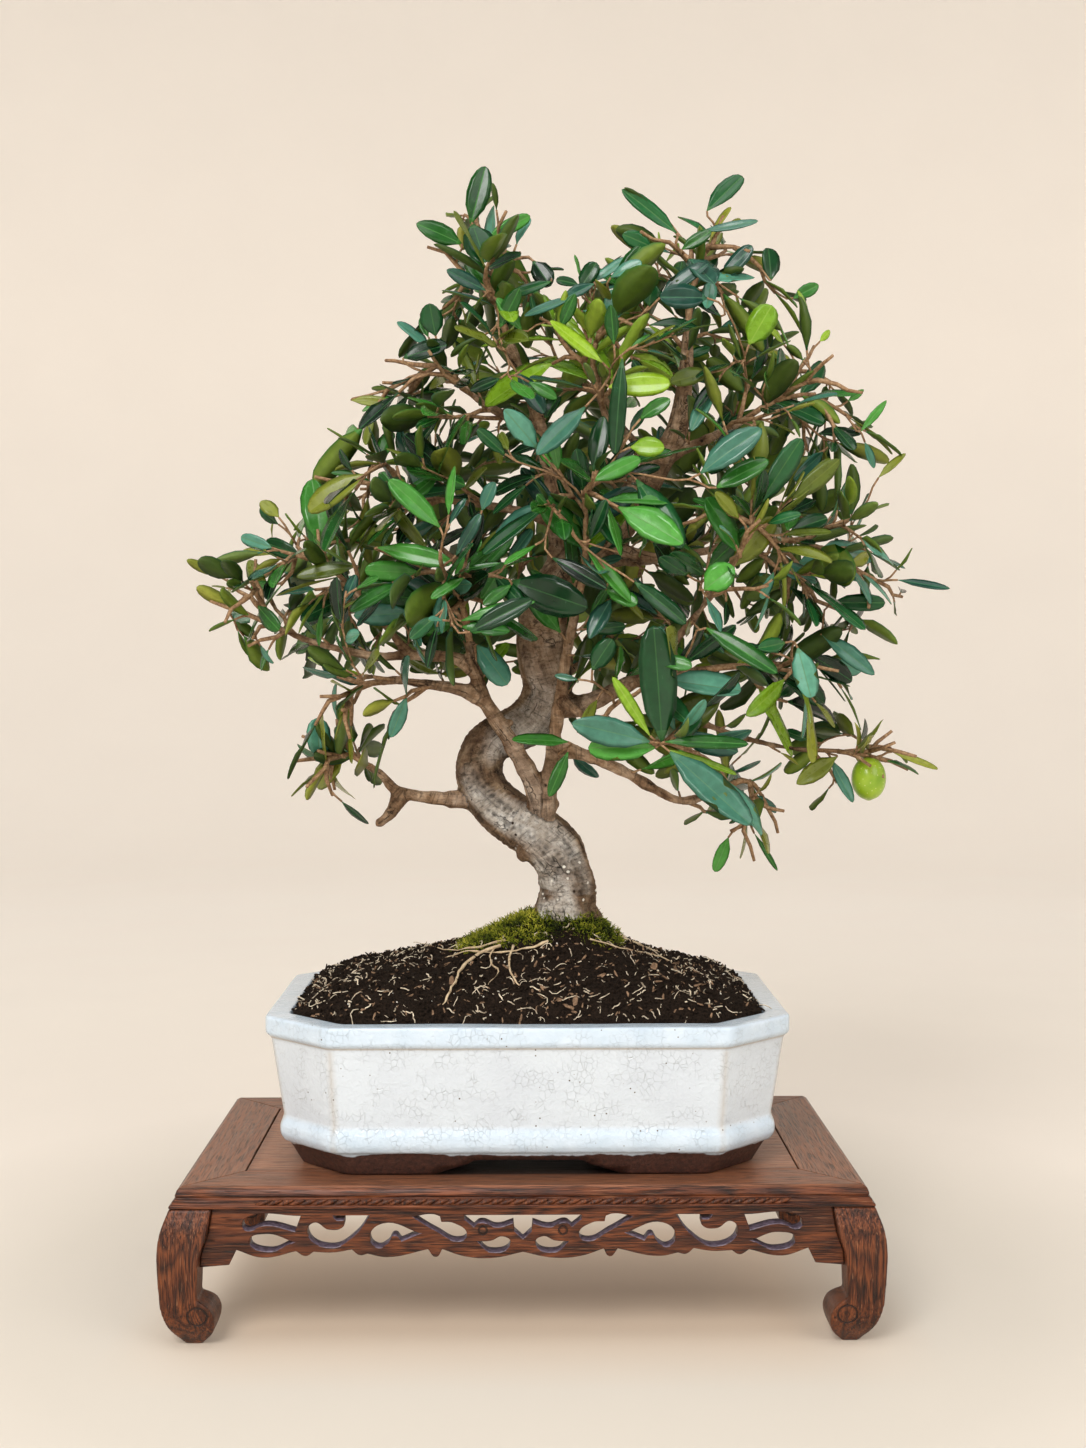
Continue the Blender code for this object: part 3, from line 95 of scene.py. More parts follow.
# Openings of the pierced scrollwork, on the half left of the middle.
SLOT = [(-154.0, 68.0, "s"), (-151.0, 71.8, "s"), (-122.0, 72.3, "c"), (-125.0, 64.0, "c"),
        (-141.0, 67.5, "s"), (-152.5, 65.0, "s")]
END_LEAF = [(-150.0, 58.6, "s"), (-141.0, 62.4, "s"), (-126.0, 58.0, "c"), (-140.0, 53.0, "s")]
SCROLL = [(-118.3, 63.0, "s"), (-114.8, 68.5, "s"), (-106.5, 64.6, "s"), (-98.5, 66.4, "s"),
          (-98.0, 70.2, "c"), (-103.0, 70.6, "s"), (-104.3, 72.5, "c"), (-84.2, 72.5, "c"),
          (-92.0, 62.0, "s"), (-105.7, 55.0, "s")]
COMMA = [(-84.0, 61.0, "s"), (-77.0, 67.9, "s"), (-56.9, 62.6, "c"), (-66.8, 58.5, "c"),
         (-70.5, 61.6, "s"), (-74.5, 57.0, "s"), (-80.0, 55.0, "s")]
WING = [(-60.5, 71.6, "c"), (-49.4, 73.0, "s"), (-45.6, 71.8, "c"), (-44.9, 68.7, "c"),
        (-38.0, 68.0, "s"), (-30.8, 61.5, "s"), (-34.5, 58.4, "s"), (-48.0, 64.0, "s")]
LENS = [(-25.0, 57.8, "c"), (-17.5, 58.2, "s"), (-11.0, 60.5, "s"), (-6.8, 57.0, "s"),
        (-18.0, 52.2, "s")]
SHORT_LEAF = [(-80.0, 62.0, "s"), (-73.0, 67.0, "s"), (-63.5, 64.5, "c"), (-71.0, 58.3, "s")]
CENTRE_HALF = [(-32.4, 72.4, "c"), (-32.2, 70.2, "c"), (-27.0, 66.0, "c"), (-23.4, 68.5, "s"),
               (-14.3, 66.0, "s"), (-5.3, 68.4, "c"), (-4.8, 63.5, "c")]
CENTRE_POINT = (0.0, 59.2, "c")

# ---------------------------------------------------------------- sizes of the pot and soil
POT_CENTRE = (3.0, 5.0)
SEAT = at(*POT_CENTRE, 0.0)  # the middle of the pot's seat on the panel
POT_SHADOW_HALF = (0.080, 0.0885)  # the part of the panel under the pot that is painted dark as a painted shadow
POT_SLIMNESS = 41.0  # half length less half depth
GLAZE_TOP = 175.0
RIM_HALF_LENGTH = 150.0
# Sections of the pot from the recess under it, up the outside, over the lip and down the inside:
# (half length, chamfer, height).
POT_SECTIONS = [
    (119.0, 24.0, 96.0), (119.0, 24.0, 88.3), (130.0, 28.0, 88.3), (137.0, 30.0, 102.0),
    (140.0, 31.0, 103.0), (142.0, 32.0, 107.0), (142.0, 32.0, 112.0), (140.0, 32.0, 117.0),
    (143.0, 34.0, 135.0), (147.0, 37.0, 162.0), (RIM_HALF_LENGTH, 38.0, 165.0),
    (RIM_HALF_LENGTH, 38.0, 174.0),
    (149.0, 38.0, GLAZE_TOP), (137.0, 33.0, GLAZE_TOP), (134.0, 32.0, 165.0), (128.0, 29.0, 106.0),
]
FOOT_BOTTOM = 88.3
ARCH_HEIGHT = 9.4
CUTTER_SPARE = 1.0  # how far a cutter runs past what it cuts
ARCH_LONG = (57.0, 29.0)  # half width of the arch at the ground and at its top
ARCH_SHORT = (34.0, 17.0)

SOIL_EDGE = 175.0
SOIL_INSET = -1.5
SOIL_BANK = 9.0
SOIL_SLOPE = 30.0
SOIL_ROUNDNESS = 14.0
COLLAR_RISE = 19.0  # the soil drawn up round the trunk
COLLAR_REACH = (44.0, 33.0, 46.0)  # to the left, to the right, and to the front and back
COLLAR_ROUNDNESS = 1.7
GROUND_LEVEL = 223.0

# ---------------------------------------------------------------- sizes of the trunk and boughs
# Waypoints of the trunk's heart: (x, y, z, radius), from the flat cut at the ground to the tip.
TRUNK = [
    (26, 5, GROUND_LEVEL, 21.5), (26, 5, 229, 18.6), (27, 5, 239, 17.0), (25, 5, 250, 16.0),
    (20, 5, 262, 17.0), (9, 6, 273, 16.8), (-5, 8, 281, 15.6), (-18, 10, 292, 14.8),
    (-25.5, 12, 304, 14.3), (-26, 14, 317, 14.0), (-20, 17, 327, 13.8), (-9, 20, 333, 14.0),
    (3, 22, 339, 14.5), (12, 23, 349, 15.0), (16, 23, 361, 15.5), (14, 21, 375, 16.0),
    (12, 18, 390, 15.6), (15, 14, 410, 14.0), (29, 10, 432, 12.6), (53, 6, 455, 12.0),
    (68, 4, 476, 11.0), (82, 2, 497, 8.8), (93, 0, 516, 6.8), (98, 0, 547, 4.8), (100, 2, 576, 3.4),
]
# Boughs: name, the limbs that carry it, radius at root and tip, waypoints from the carrying limb's heart.
BOUGHS = [
    ("front_stem_left", ["trunk"], (7.2, 3.9),
     [(11, 5, 272), (10, -3, 289), (5, -8, 307), (-6, -9.5, 327), (-16, -9, 343), (-24, -8, 356),
      (-28, -9, 371), (-31, -12, 387)]),
    ("front_stem_centre", ["trunk", "front_stem_left"], (6.0, 2.8),
     [(14, 4, 272), (15, -5, 288), (16.5, -9, 307), (18, -10, 322), (20, -10, 338), (23, -12, 357),
      (26, -20, 380), (32, -34, 410)]),
    ("bough_left_mid", ["front_stem_left"], (4.4, 2.3),
     [(-24, -8, 356), (-40, -11, 361), (-61, -14, 364), (-75, -15, 366), (-84, -16, 365)]),
    ("bough_left_long", ["front_stem_left"], (4.0, 1.9),
     [(-28, -9, 371), (-40, -8, 379), (-68, -3, 381), (-87, 0, 380), (-108, 2, 384), (-130, 4, 390),
      (-147, 5, 397)]),
    ("bough_left_low", ["trunk"], (7.0, 2.2),
     [(-16, 11, 294), (-36, 8, 293), (-51, 6, 294), (-66, 4, 296), (-78, 4, 300), (-85, 5, 308),
      (-94, 6, 314)]),
    ("bough_left_arm", ["bough_left_long"], (2.8, 1.8),
     [(-68, -3, 381), (-80, -8, 396), (-92, -10, 411), (-102, -10, 421)]),
    ("bough_right_main", ["trunk"], (7.2, 3.0),
     [(14, 22, 356), (32, 12, 350), (47, 5, 355), (68, 0, 365), (89, -2, 369), (110, -3, 372)]),
    ("bough_right_low", ["front_stem_centre"], (4.8, 2.4),
     [(18, -10, 326), (34, -11, 322), (48, -10, 317), (63, -8, 310), (80, -5, 300), (95, -2, 293),
      (109, 0, 295), (124, 2, 301)]),
    ("bough_right_long", ["bough_right_main"], (3.4, 1.5),
     [(72, -1, 366), (97, 8, 346), (125, 10, 334), (145, 10, 328), (166, 8, 324), (182, 6, 323)]),
    ("bough_right_upper", ["trunk"], (4.6, 2.2),
     [(46, 7, 449), (77, 2, 440), (107, -2, 443), (132, -3, 449), (146, -2, 450)]),
    ("bough_right_shoulder", ["trunk"], (4.0, 2.0),
     [(83, 2, 498), (107, -4, 509), (125, -6, 517), (136, -6, 524)]),
    ("leader_left", ["trunk"], (8.0, 2.8),
     [(18, 13, 416), (21, 13, 436), (22, 12, 455), (18, 10, 488), (11, 8, 517), (5, 6, 538),
      (-3, 4, 556), (-9, 2, 573)]),
    ("bough_left_upper", ["leader_left"], (3.6, 2.0),
     [(11, 8, 517), (-9, 4, 525), (-27, 0, 535), (-38, -2, 545)]),
    ("bough_left_shoulder", ["leader_left"], (4.0, 2.0),
     [(21, 12, 461), (3, 4, 467), (-21, -2, 471), (-40, -4, 473)]),
    ("bough_top", ["trunk"], (4.4, 2.2),
     [(71, 3, 480), (61, -8, 501), (51, -14, 519), (46, -17, 533)]),
    ("bough_front_spray", ["front_stem_centre"], (3.2, 2.0),
     [(22.5, -12, 354), (38, -28, 344), (54, -44, 337), (65, -56, 333)]),
    ("bough_front_right", ["bough_right_main"], (3.6, 2.0),
     [(78, -1, 367), (90, -22, 388), (102, -42, 405), (110, -54, 417)]),
    ("bough_back_left", ["trunk"], (5.0, 2.2),
     [(15, 14, 409), (-2, 44, 422), (-22, 70, 432), (-36, 84, 440)]),
    ("bough_back_right", ["trunk"], (5.0, 2.2),
     [(38, 9, 441), (60, 38, 440), (84, 62, 442), (98, 76, 446)]),
    ("bough_back_low", ["trunk"], (5.0, 2.2),
     [(16, 22, 368), (24, 48, 369), (33, 70, 373), (38, 84, 378)]),
    ("bough_back_top", ["trunk"], (4.0, 2.0),
     [(80, 2, 494), (74, 28, 508), (64, 48, 524), (58, 58, 536)]),
]
# The pruned stub under the low left bough, fused with it.
STUB = ((4.4, 2.9), [(-73, 4, 298), (-80, 2, 285), (-87, 0, 279)])

# ---------------------------------------------------------------- foliage
# Masses: name, limb that carries it, middle of its space, reach each way, leaves, tips it must reach.
MASSES = [
    ("apex_left", "leader_left", (-17, 0, 617), (50, 48, 58), 16,
     [(-23, -4, 676), (-63, 6, 638), (-60, -8, 652), (5, 4, 646), (-56, 0, 598), (15, -12, 622)]),
    ("apex_right", "trunk", (110, 2, 620), (62, 50, 58), 18,
     [(61, -4, 662), (132, 4, 670), (144, -10, 643), (156, 6, 626), (176, -4, 605), (42, 10, 620)]),
    ("crown_top", "bough_top", (46, -22, 568), (48, 46, 42), 14,
     [(20, -20, 606), (60, -60, 585), (30, -66, 552)]),
    ("left_shoulder", "bough_left_upper", (-64, 0, 540), (52, 54, 46), 16,
     [(-74, 0, 584), (-82, -10, 564), (-102, 4, 538), (-104, -6, 522)]),
    ("left_upper", "bough_left_shoulder", (-82, -6, 482), (56, 56, 36), 14,
     [(-118, 4, 518), (-112, -10, 502), (-135, 0, 488), (-70, -64, 476)]),
    ("left_arm", "bough_left_arm", (-128, -6, 438), (48, 50, 40), 13,
     [(-160, 6, 471), (-142, -18, 476), (-128, -58, 440), (-170, -4, 452)]),
    ("left_tip", "bough_left_long", (-170, 2, 408), (40, 46, 40), 12,
     [(-203, 2, 440), (-200, -6, 410), (-182, 6, 378), (-192, 26, 425), (-150, -24, 376)]),
    ("left_lower", "bough_left_mid", (-102, -24, 352), (38, 42, 34), 8,
     [(-122, -20, 342), (-96, -30, 328), (-118, -10, 366), (-82, -46, 345)]),
    ("left_low", "bough_left_low", (-120, 6, 312), (38, 40, 38), 10,
     [(-147, 6, 322), (-149, 0, 298), (-141, 14, 290), (-124, 2, 344), (-95, 4, 277)]),
    ("front_left", "front_stem_left", (-42, -50, 418), (50, 48, 44), 15,
     [(-82, -62, 420), (-50, -92, 430), (-20, -84, 402), (-60, -60, 386)]),
    ("front_centre", "front_stem_centre", (34, -66, 462), (52, 46, 50), 16,
     [(30, -110, 470), (62, -94, 440), (6, -100, 440), (40, -88, 506)]),
    ("front_spray", "bough_front_spray", (82, -82, 334), (54, 42, 58), 10,
     [(82, -88, 396), (30, -84, 341), (136, -84, 280), (128, -96, 333), (34, -70, 326),
      (100, -110, 352)]),
    ("front_right", "bough_front_right", (124, -74, 442), (52, 44, 52), 14,
     [(150, -104, 430), (110, -116, 450), (128, -88, 492), (158, -84, 400)]),
    ("right_mid", "bough_right_upper", (196, 0, 434), (58, 54, 50), 20,
     [(259, 0, 421), (238, -6, 443), (242, 4, 412), (231, 8, 390), (232, -10, 490), (206, -60, 440)]),
    ("right_shoulder", "bough_right_shoulder", (170, -4, 536), (56, 54, 54), 19,
     [(187, 6, 579), (184, -12, 563), (220, 0, 534), (231, 4, 503), (178, -64, 530)]),
    ("right_main", "bough_right_main", (162, -6, 370), (52, 50, 30), 13,
     [(218, 4, 382), (202, -6, 354), (186, -14, 336), (168, -62, 372)]),
    ("fruiting_twig", "bough_right_long", (216, 4, 318), (44, 34, 32), 8,
     [(253, 6, 311), (188, 2, 294), (212, -30, 318), (220, 34, 316)]),
    ("right_low", "bough_right_low", (136, 2, 284), (36, 38, 40), 9,
     [(117, -4, 251), (155, 2, 249), (112, 0, 276), (158, -6, 282)]),
    ("back_left", "bough_back_left", (-70, 100, 478), (66, 62, 66), 19,
     [(-122, 96, 470), (-60, 158, 470), (-96, 130, 510), (-110, 88, 432)]),
    ("back_right", "bough_back_right", (138, 98, 474), (66, 62, 66), 18,
     [(196, 90, 470), (130, 160, 474), (176, 128, 500), (186, 84, 420)]),
    ("back_low", "bough_back_low", (36, 112, 392), (64, 52, 46), 14,
     [(36, 164, 392), (-20, 130, 400), (90, 134, 388), (60, 146, 352)]),
    ("back_top", "bough_back_top", (40, 90, 556), (68, 56, 54), 17,
     [(40, 140, 556), (-10, 110, 580), (96, 116, 572), (44, 96, 604)]),
]
# The crown's outline seen from the front, round from the left apex: (x, z). It draws in toward its
# front and back as a globe does.
CROWN_OUTLINE = [
    (-23, 676), (4, 648), (20, 610), (61, 662), (132, 670), (146, 643), (158, 626), (178, 605),
    (187, 578), (220, 534), (231, 503), (233, 485), (237, 443), (259, 421), (241, 410), (232, 389),
    (219, 383), (205, 353), (253, 314), (202, 288), (155, 249), (117, 250), (104, 272), (70, 292),
    (20, 322), (-40, 330), (-90, 274), (-142, 289), (-148, 298), (-144, 321), (-128, 344),
    (-181, 376), (-200, 410), (-204, 440), (-171, 451), (-159, 473), (-129, 490), (-117, 518),
    (-104, 540), (-82, 566), (-72, 585), (-58, 600), (-62, 652),
]
CROWN_HEART = (20, 22, 450)
CROWN_DEPTH = 142.0  # from its heart to its front and back
GROWTH_SEED = 41
BOUGH_TAPER = 0.8
LEAF_LENGTH = (26.0, 50.0)
SMALL_MASS = 40.0  # a mass whose mean reach is less has smaller leaves
SMALL_LEAVES = 0.85
LEAF_SLIMNESS = (0.26, 0.47)
LEAF_LIFT = 0.5
LEAF_ROLL = 0.55
LEAF_OPENING = (36.0, 66.0)
LEAF_ROOM = 7.5  # leaves' middles keep this far apart
MISSING_LEAF = 0.10
PAIR_SPACING = 10.5
PAIR_TURN = math.radians(90.0)
PAIRS_PER_TWIG = 5
LEAVES_PER_COUNT = 2.7  # leaves that grow for each one that the table of masses counts
TWIGS_TRIED = 4
GAP_STEP = 13.0  # the crown is looked over for gaps at places this far apart
GAP_CELLS = (range(-32, 38), range(-20, 21), range(-26, 34))  # across, deep and high
GAP_SIZE = 20.0
FILL_REACH = 75.0
DEEP_SHARE = 1.5  # a place is deep when one this many times as far from the heart is still in the crown
DEEP_KEPT = 0.35
AIRY_BELOW = 368.0  # the crown is airier under this height
AIRY_KEPT = 0.12
EDGE_SHARE = 1.08  # a place is at the edge when one this many times as far is outside
EDGE_KEPT = 0.55
FULLNESS = {
    "left_lower": 0.5, "left_low": 0.45, "right_low": 0.4, "fruiting_twig": 0.35, "back_low": 0.6,
    "front_spray": 0.3, "right_main": 0.7, "apex_left": 0.7,
}
LEAF_CLEARANCE = 0.0015  # metres between a leaf or a side branch and the bark of the limbs
TWIG_CLEARANCE = 0.0005
BARE_TWIG = 0.012  # metres of a twig's root that carry no leaves
FORK_THINNING = 0.62  # a twig's root is this share of the girth at its fork
FARTHEST_TWIG = 0.13
FRAME_RUN = (0.015, 0.11)  # shortest and longest side branch in metres
FRAME_KINK = 0.0017
TINT_PATCH = 0.024  # leaves whose roots lie in one cube of this size mostly share a tint
TINT_SHARED = 0.65
FRAME_TWIGS = 12
FRAME_SHARE = (0.35, 0.85)
FRAME_RADIUS = (2.3, 1.0)
BARE_LIMB = 0.35  # share of a limb, from its root, without twigs
LIMB_TWIG = 1.5
SCREEN_ROOM = 11.0  # how near a set leaf another may not hang in front of it
# Places that no leaf hangs in front of, so that a limb or the fruit shows: x, y, z and reach.
WINDOWS = [(211, 10, 308, 15), (14, 6, 386, 20), (-8, 8, 366, 14), (40, 0, 366, 14)]
# Openings right through the crown, where no gap is filled: x, z and reach.
OPENINGS = [(-66, 340, 26), (-20, 405, 12), (48, 405, 10), (30, 640, 26), (70, 350, 14), (-36, 330, 20)]
SHORTEST_TWIG = 10.0
TIP_SHARE = (0.45, 1.35)
STEM_LENGTH = 12.0
STEM_RADIUS = (2.4, 1.5)
STEM_OVERSHOOTS = (0.25, 0.0, -0.5)
TWIG_RADIUS = (1.4, 0.65)
TWIG_STEP = 9.0
TWIG_KNEE = 0.45
FORK_STEP = 4.0
TWIG_CHECK = 6.0  # a twig is kept off the bark at places this far apart
TURNING_COST = 1.6
FRUIT_HANG = (211, 4, 322)
FRUIT_SIZE = (21.0, 26.0)
FRUIT_STALK = 3.0

# Leaf tints: dark and light ends of the upper face, the under face and the rib, and the roughness.
LEAF_TINTS = {
    "deep": (((1, 18, 8), (34, 98, 50)), ((44, 66, 18), (96, 118, 40)),
             ((30, 74, 36), (62, 112, 56)), 0.2),
    "blue": (((8, 50, 40), (98, 164, 138)), ((58, 82, 36), (112, 134, 60)),
             ((44, 94, 68), (90, 140, 106)), 0.19),
    "mid": (((3, 56, 16), (84, 166, 62)), ((64, 90, 26), (124, 144, 48)),
            ((46, 106, 36), (90, 152, 66)), 0.22),
    "olive": (((72, 90, 22), (142, 148, 48)), ((92, 106, 30), (156, 158, 60)),
              ((94, 108, 38), (138, 142, 56)), 0.28),
    "young": (((96, 142, 24), (160, 194, 48)), ((120, 148, 40), (160, 182, 66)),
              ((118, 156, 48), (168, 196, 76)), 0.26),
}
TINT_SHARES = {"deep": 0.38, "blue": 0.20, "mid": 0.26, "olive": 0.13, "young": 0.03}
# Places where a tint gathers: (middle), reach, tint, share of the sprays there.
TINTED_PLACES = [
    ((42, -20, 560), 30, "young", 0.7), ((150, -10, 575), 24, "young", 0.6),
    ((82, -30, 545), 24, "young", 0.5), ((235, 4, 318), 40, "olive", 0.6),
    ((170, 0, 300), 45, "olive", 0.4), ((-140, 0, 300), 40, "olive", 0.35),
]

# Knots and swellings of the trunk: middle, radius, stretch.
KNOTS = [
    ((1, -1, 262), 5.5, (1.0, 0.8, 1.2)), ((16, -3, 291), 6.5, (1.1, 0.8, 0.8)),
    ((-27, 2, 300), 6.5, (0.9, 0.9, 1.3)), ((10, 14, 352), 8.0, (1.1, 0.9, 1.0)),
    ((30, -2, 246), 7.0, (0.9, 0.7, 1.4)), ((-10, -4, 340), 4.0, (1.4, 0.8, 0.8)),
]
# Surface roots: radius where they leave the trunk, and places (x, y, height over the soil).
ROOTS = [
    (0.74, [(-10.3, -25.0, 1), (-25.0, -26.0, 0.8), (-38.0, -27.5, 0.6), (-50.9, -3.0, 0.4)]),
    (0.78, [(15.0, -32.0, 1), (3.3, -35.5, 1), (-13.1, -36.0, 0.9), (-30.8, -30.5, 0.8),
            (-43.6, -35.0, 0.3)]),
    (0.90, [(-5.5, -32.0, 1), (-7.8, -44.0, 1), (-5.4, -58.5, 0.8), (-2.0, -69.5, 0.2)]),
    (1.07, [(-13.2, -30.0, 1.2), (-28.3, -36.0, 1.2), (-34.4, -49.0, 1.0), (-39.0, -63.5, 0.9),
            (-42.6, -75.0, 0.6), (-45.1, -82.0, 0.1)]),
    (0.57, [(-16.1, -29.0, 0.9), (-20.0, -41.0, 0.7), (-14.6, -54.0, 0.4), (-19.6, -66.5, 0)]),
    (0.57, [(39.8, -29.0, 0.9), (57.6, -27.5, 0.7), (83.0, -4.0, 0.4), (98.7, -28.5, 0)]),
    (1.31, [(44, 8, 1.5), (62, 12, 1.0), (78, 22, 0.4), (92, 26, -2.0)]),
    (1.39, [(24, 24, 1.5), (20, 40, 1.0), (10, 54, 0.2), (4, 64, -2.0)]),
]
# Leaves set one by one on twigs of their own: root, point, breadth and tint.
SHOWN_LEAVES = [
    ((77.2, -92, 331.9), (72.7, -100, 396.5), 21.0, "deep"),
    ((70.4, -94, 332.0), (27.1, -100, 343.2), 16.6, "blue"),
    ((73.5, -90, 328.5), (36.2, -92, 328.6), 14.4, "mid"),
    ((78.7, -94, 332.0), (124.9, -100, 332.7), 8.3, "mid"),
    ((81.3, -96, 326.5), (125.0, -108, 286.7), 18.8, "blue"),
    ((70.6, -92, 335.2), (49.6, -90, 368.4), 7.8, "young"),
    ((80.5, -92, 327.5), (122.5, -84, 314.3), 5.0, "young"),
    ((26.8, -30, 329.6), (-6.1, -36, 332.7), 10.0, "mid"),
    ((26.8, -30, 323.7), (15.6, -32, 297.4), 8.8, "mid"),
    ((-26.9, -22, 386.8), (-8.5, -30, 363.7), 15.4, "blue"),
    ((-30.9, -4, 638.4), (-21.9, -6, 673.4), 14.5, "mid"),
    ((-36.3, -6, 626.5), (-63.1, -10, 638.2), 15.0, "mid"),
    ((-29.6, -10, 637.0), (-21.6, -22, 612.6), 19.2, "deep"),
    ((-20.7, -4, 629.4), (4.6, -6, 644.6), 9.0, "mid"),
    ((92.6, -4, 633.6), (59.9, -8, 660.3), 10.2, "deep"),
    ((111.1, 0, 647.9), (132.8, 4, 670.8), 12.1, "deep"),
    ((107.1, -4, 634.8), (140.4, -12, 638.8), 6.0, "blue"),
    ((45.2, -66, 545.8), (15.5, -72, 568.4), 11.4, "young"),
    ((48.6, -66, 532.1), (83.1, -74, 533.1), 14.2, "young"),
    ((132.0, -36, 561.5), (144.9, -40, 584.0), 16.4, "young"),
    ((60.2, -80, 496.2), (78.1, -88, 496.3), 11.8, "young"),
    ((34.9, -84, 518.1), (7.4, -96, 489.8), 12.3, "blue"),
    ((-120.5, -6, 446.6), (-125.6, -4, 488.4), 18.7, "mid"),
    ((-97.6, -20, 433.7), (-134.2, -22, 427.7), 11.3, "olive"),
    ((-82.8, -58, 441.7), (-39.9, -70, 433.5), 12.0, "mid"),
    ((63.6, -80, 478.3), (88.5, -96, 439.6), 17.4, "deep"),
    ((16.3, -92, 433.8), (46.4, -100, 416.8), 10.0, "deep"),
    ((101.1, -86, 416.4), (116.5, -92, 429.4), 16.7, "mid"),
    ((61.7, -92, 420.5), (91.0, -98, 398.2), 10.0, "deep"),
    ((101.0, -98, 394.9), (138.6, -112, 370.1), 11.0, "mid"),
    ((227.3, 0, 426.5), (259.4, 0, 421.6), 6.0, "blue"),
    ((185.6, -10, 412.2), (217.2, -14, 412.6), 10.8, "deep"),
    ((157.5, -60, 384.4), (164.5, -66, 355.9), 14.3, "blue"),
    ((177.9, -20, 393.3), (210.0, -26, 370.2), 11.3, "blue"),
    ((-122.4, 0, 318.2), (-123.8, -4, 343.1), 15.1, "blue"),
    ((187.4, 0, 317.6), (199.9, -4, 291.8), 8.5, "blue"),
    ((190.6, -2, 319.5), (165.0, -8, 303.5), 12.1, "olive"),
    ((224.7, 2, 322.3), (254.9, 4, 311.9), 4.8, "olive"),
    ((125.0, 0, 270.4), (116.7, -4, 249.7), 8.5, "mid"),
    ((140.8, 0, 272.8), (156.5, 4, 248.8), 3.6, "mid"),
    ((-29.0, -96, 392.7), (5.1, -102, 411.2), 12.1, "deep"),
    ((-45.8, -90, 450.6), (-73.3, -94, 477.9), 12.2, "mid"),
    ((97.9, -96, 479.9), (129.9, -104, 505.3), 16.6, "blue"),
    ((37.6, -84, 444.4), (46.3, -90, 466.1), 9.5, "deep"),
    ((107.1, -92, 472.6), (135.4, -96, 488.7), 13.3, "mid"),
    ((104.9, -60, 583.4), (77.8, -70, 582.4), 14.9, "blue"),
    ((55.7, -80, 545.6), (50.5, -84, 491.8), 10.1, "deep"),
    ((-70.3, -20, 556.1), (-44.5, -26, 563.9), 14.3, "deep"),
    ((-51.8, -8, 571.4), (-55.2, -14, 589.4), 14.4, "deep"),
    ((-13.2, -30, 572.0), (-1.4, -36, 594.2), 10.6, "mid"),
    ((163.5, 2, 596.3), (179.6, 4, 605.2), 8.5, "mid"),
    ((149.9, 0, 606.8), (148.9, 2, 627.8), 12.1, "deep"),
    ((203.9, -2, 515.7), (220.0, 0, 534.8), 5.4, "mid"),
    ((215.2, 0, 488.2), (232.6, 2, 504.2), 5.4, "olive"),
    ((-146.1, -4, 463.6), (-157.2, -2, 474.7), 9.6, "olive"),
    ((-103.4, 4, 534.8), (-78.8, 0, 533.0), 7.3, "olive"),
    ((-34.8, -72, 399.5), (6.4, -82, 411.5), 9.0, "mid"),
    ((-34.2, -72, 396.1), (-7.6, -80, 395.3), 10.7, "mid"),
    ((50.0, -72, 411.9), (36.6, -82, 390.8), 11.9, "blue"),
    ((39.2, -74, 371.8), (49.6, -80, 389.2), 12.4, "deep"),
    ((55.2, -80, 439.6), (39.2, -88, 464.1), 10.7, "deep"),
    ((75.4, -94, 377.8), (93.1, -100, 373.4), 9.4, "mid"),
    ((-33.1, -70, 423.9), (-51.4, -78, 412.8), 6.8, "mid"),
    ((-6.5, -66, 420.1), (-22.3, -72, 409.1), 8.0, "mid"),
    ((-37.7, -70, 436.4), (-23.4, -74, 459.8), 7.4, "blue"),
    ((-22.9, -70, 461.8), (-16.1, -72, 478.0), 8.5, "blue"),
    ((-34.2, -72, 428.3), (-13.3, -76, 432.6), 4.0, "mid"),
    ((47.0, -76, 416.8), (63.9, -84, 409.2), 9.6, "mid"),
    ((19.9, -80, 483.9), (16.4, -84, 502.4), 8.4, "mid"),
    ((-9.9, -76, 492.8), (-24.9, -82, 506.1), 7.9, "deep"),
    ((66.2, -74, 512.8), (81.5, -80, 524.3), 9.0, "mid"),
    ((21.7, -50, 568.1), (30.1, -56, 586.5), 8.1, "mid"),
    ((51.0, -40, 599.2), (68.1, -46, 608.3), 8.2, "blue"),
    ((-12.9, -60, 537.6), (-29.8, -66, 529.8), 7.4, "deep"),
    ((34.4, -14, 598.3), (43.9, -16, 613.4), 10.8, "deep"),
    ((55.9, -14, 595.9), (70.0, -18, 622.5), 12.5, "mid"),
    ((42.4, -8, 603.8), (62.7, -10, 618.4), 7.8, "blue"),
    ((33.2, -14, 600.7), (20.1, -16, 603.9), 6.0, "deep"),
    ((6.3, -18, 613.5), (17.0, -22, 598.4), 13.1, "deep"),
    ((17.0, -22, 600.8), (-6.1, -26, 592.2), 7.1, "deep"),
    ((35.1, -30, 582.0), (53.0, -36, 580.2), 5.3, "blue"),
    ((42.5, -20, 600.0), (24.6, -26, 591.0), 8.3, "blue"),
    ((55.3, -26, 576.3), (52.1, -30, 594.9), 13.0, "blue"),
    ((73.9, -30, 584.9), (76.0, -34, 597.0), 13.5, "deep"),
    ((80.1, -34, 588.8), (107.6, -40, 609.1), 12.3, "blue"),
    ((78.0, -6, 624.7), (59.9, -8, 632.6), 10.8, "deep"),
    ((94.9, -12, 622.1), (111.9, -16, 631.9), 8.4, "mid"),
    ((118.9, -6, 605.5), (137.1, -10, 625.0), 10.8, "blue"),
    ((116.9, -24, 580.2), (95.3, -28, 595.3), 8.3, "deep"),
    ((29.7, -34, 589.4), (0.9, -40, 577.1), 5.9, "blue"),
    ((-0.2, -30, 570.2), (-14.9, -34, 588.8), 8.2, "mid"),
    ((-21.7, -14, 597.1), (-44.8, -18, 608.2), 9.0, "blue"),
]


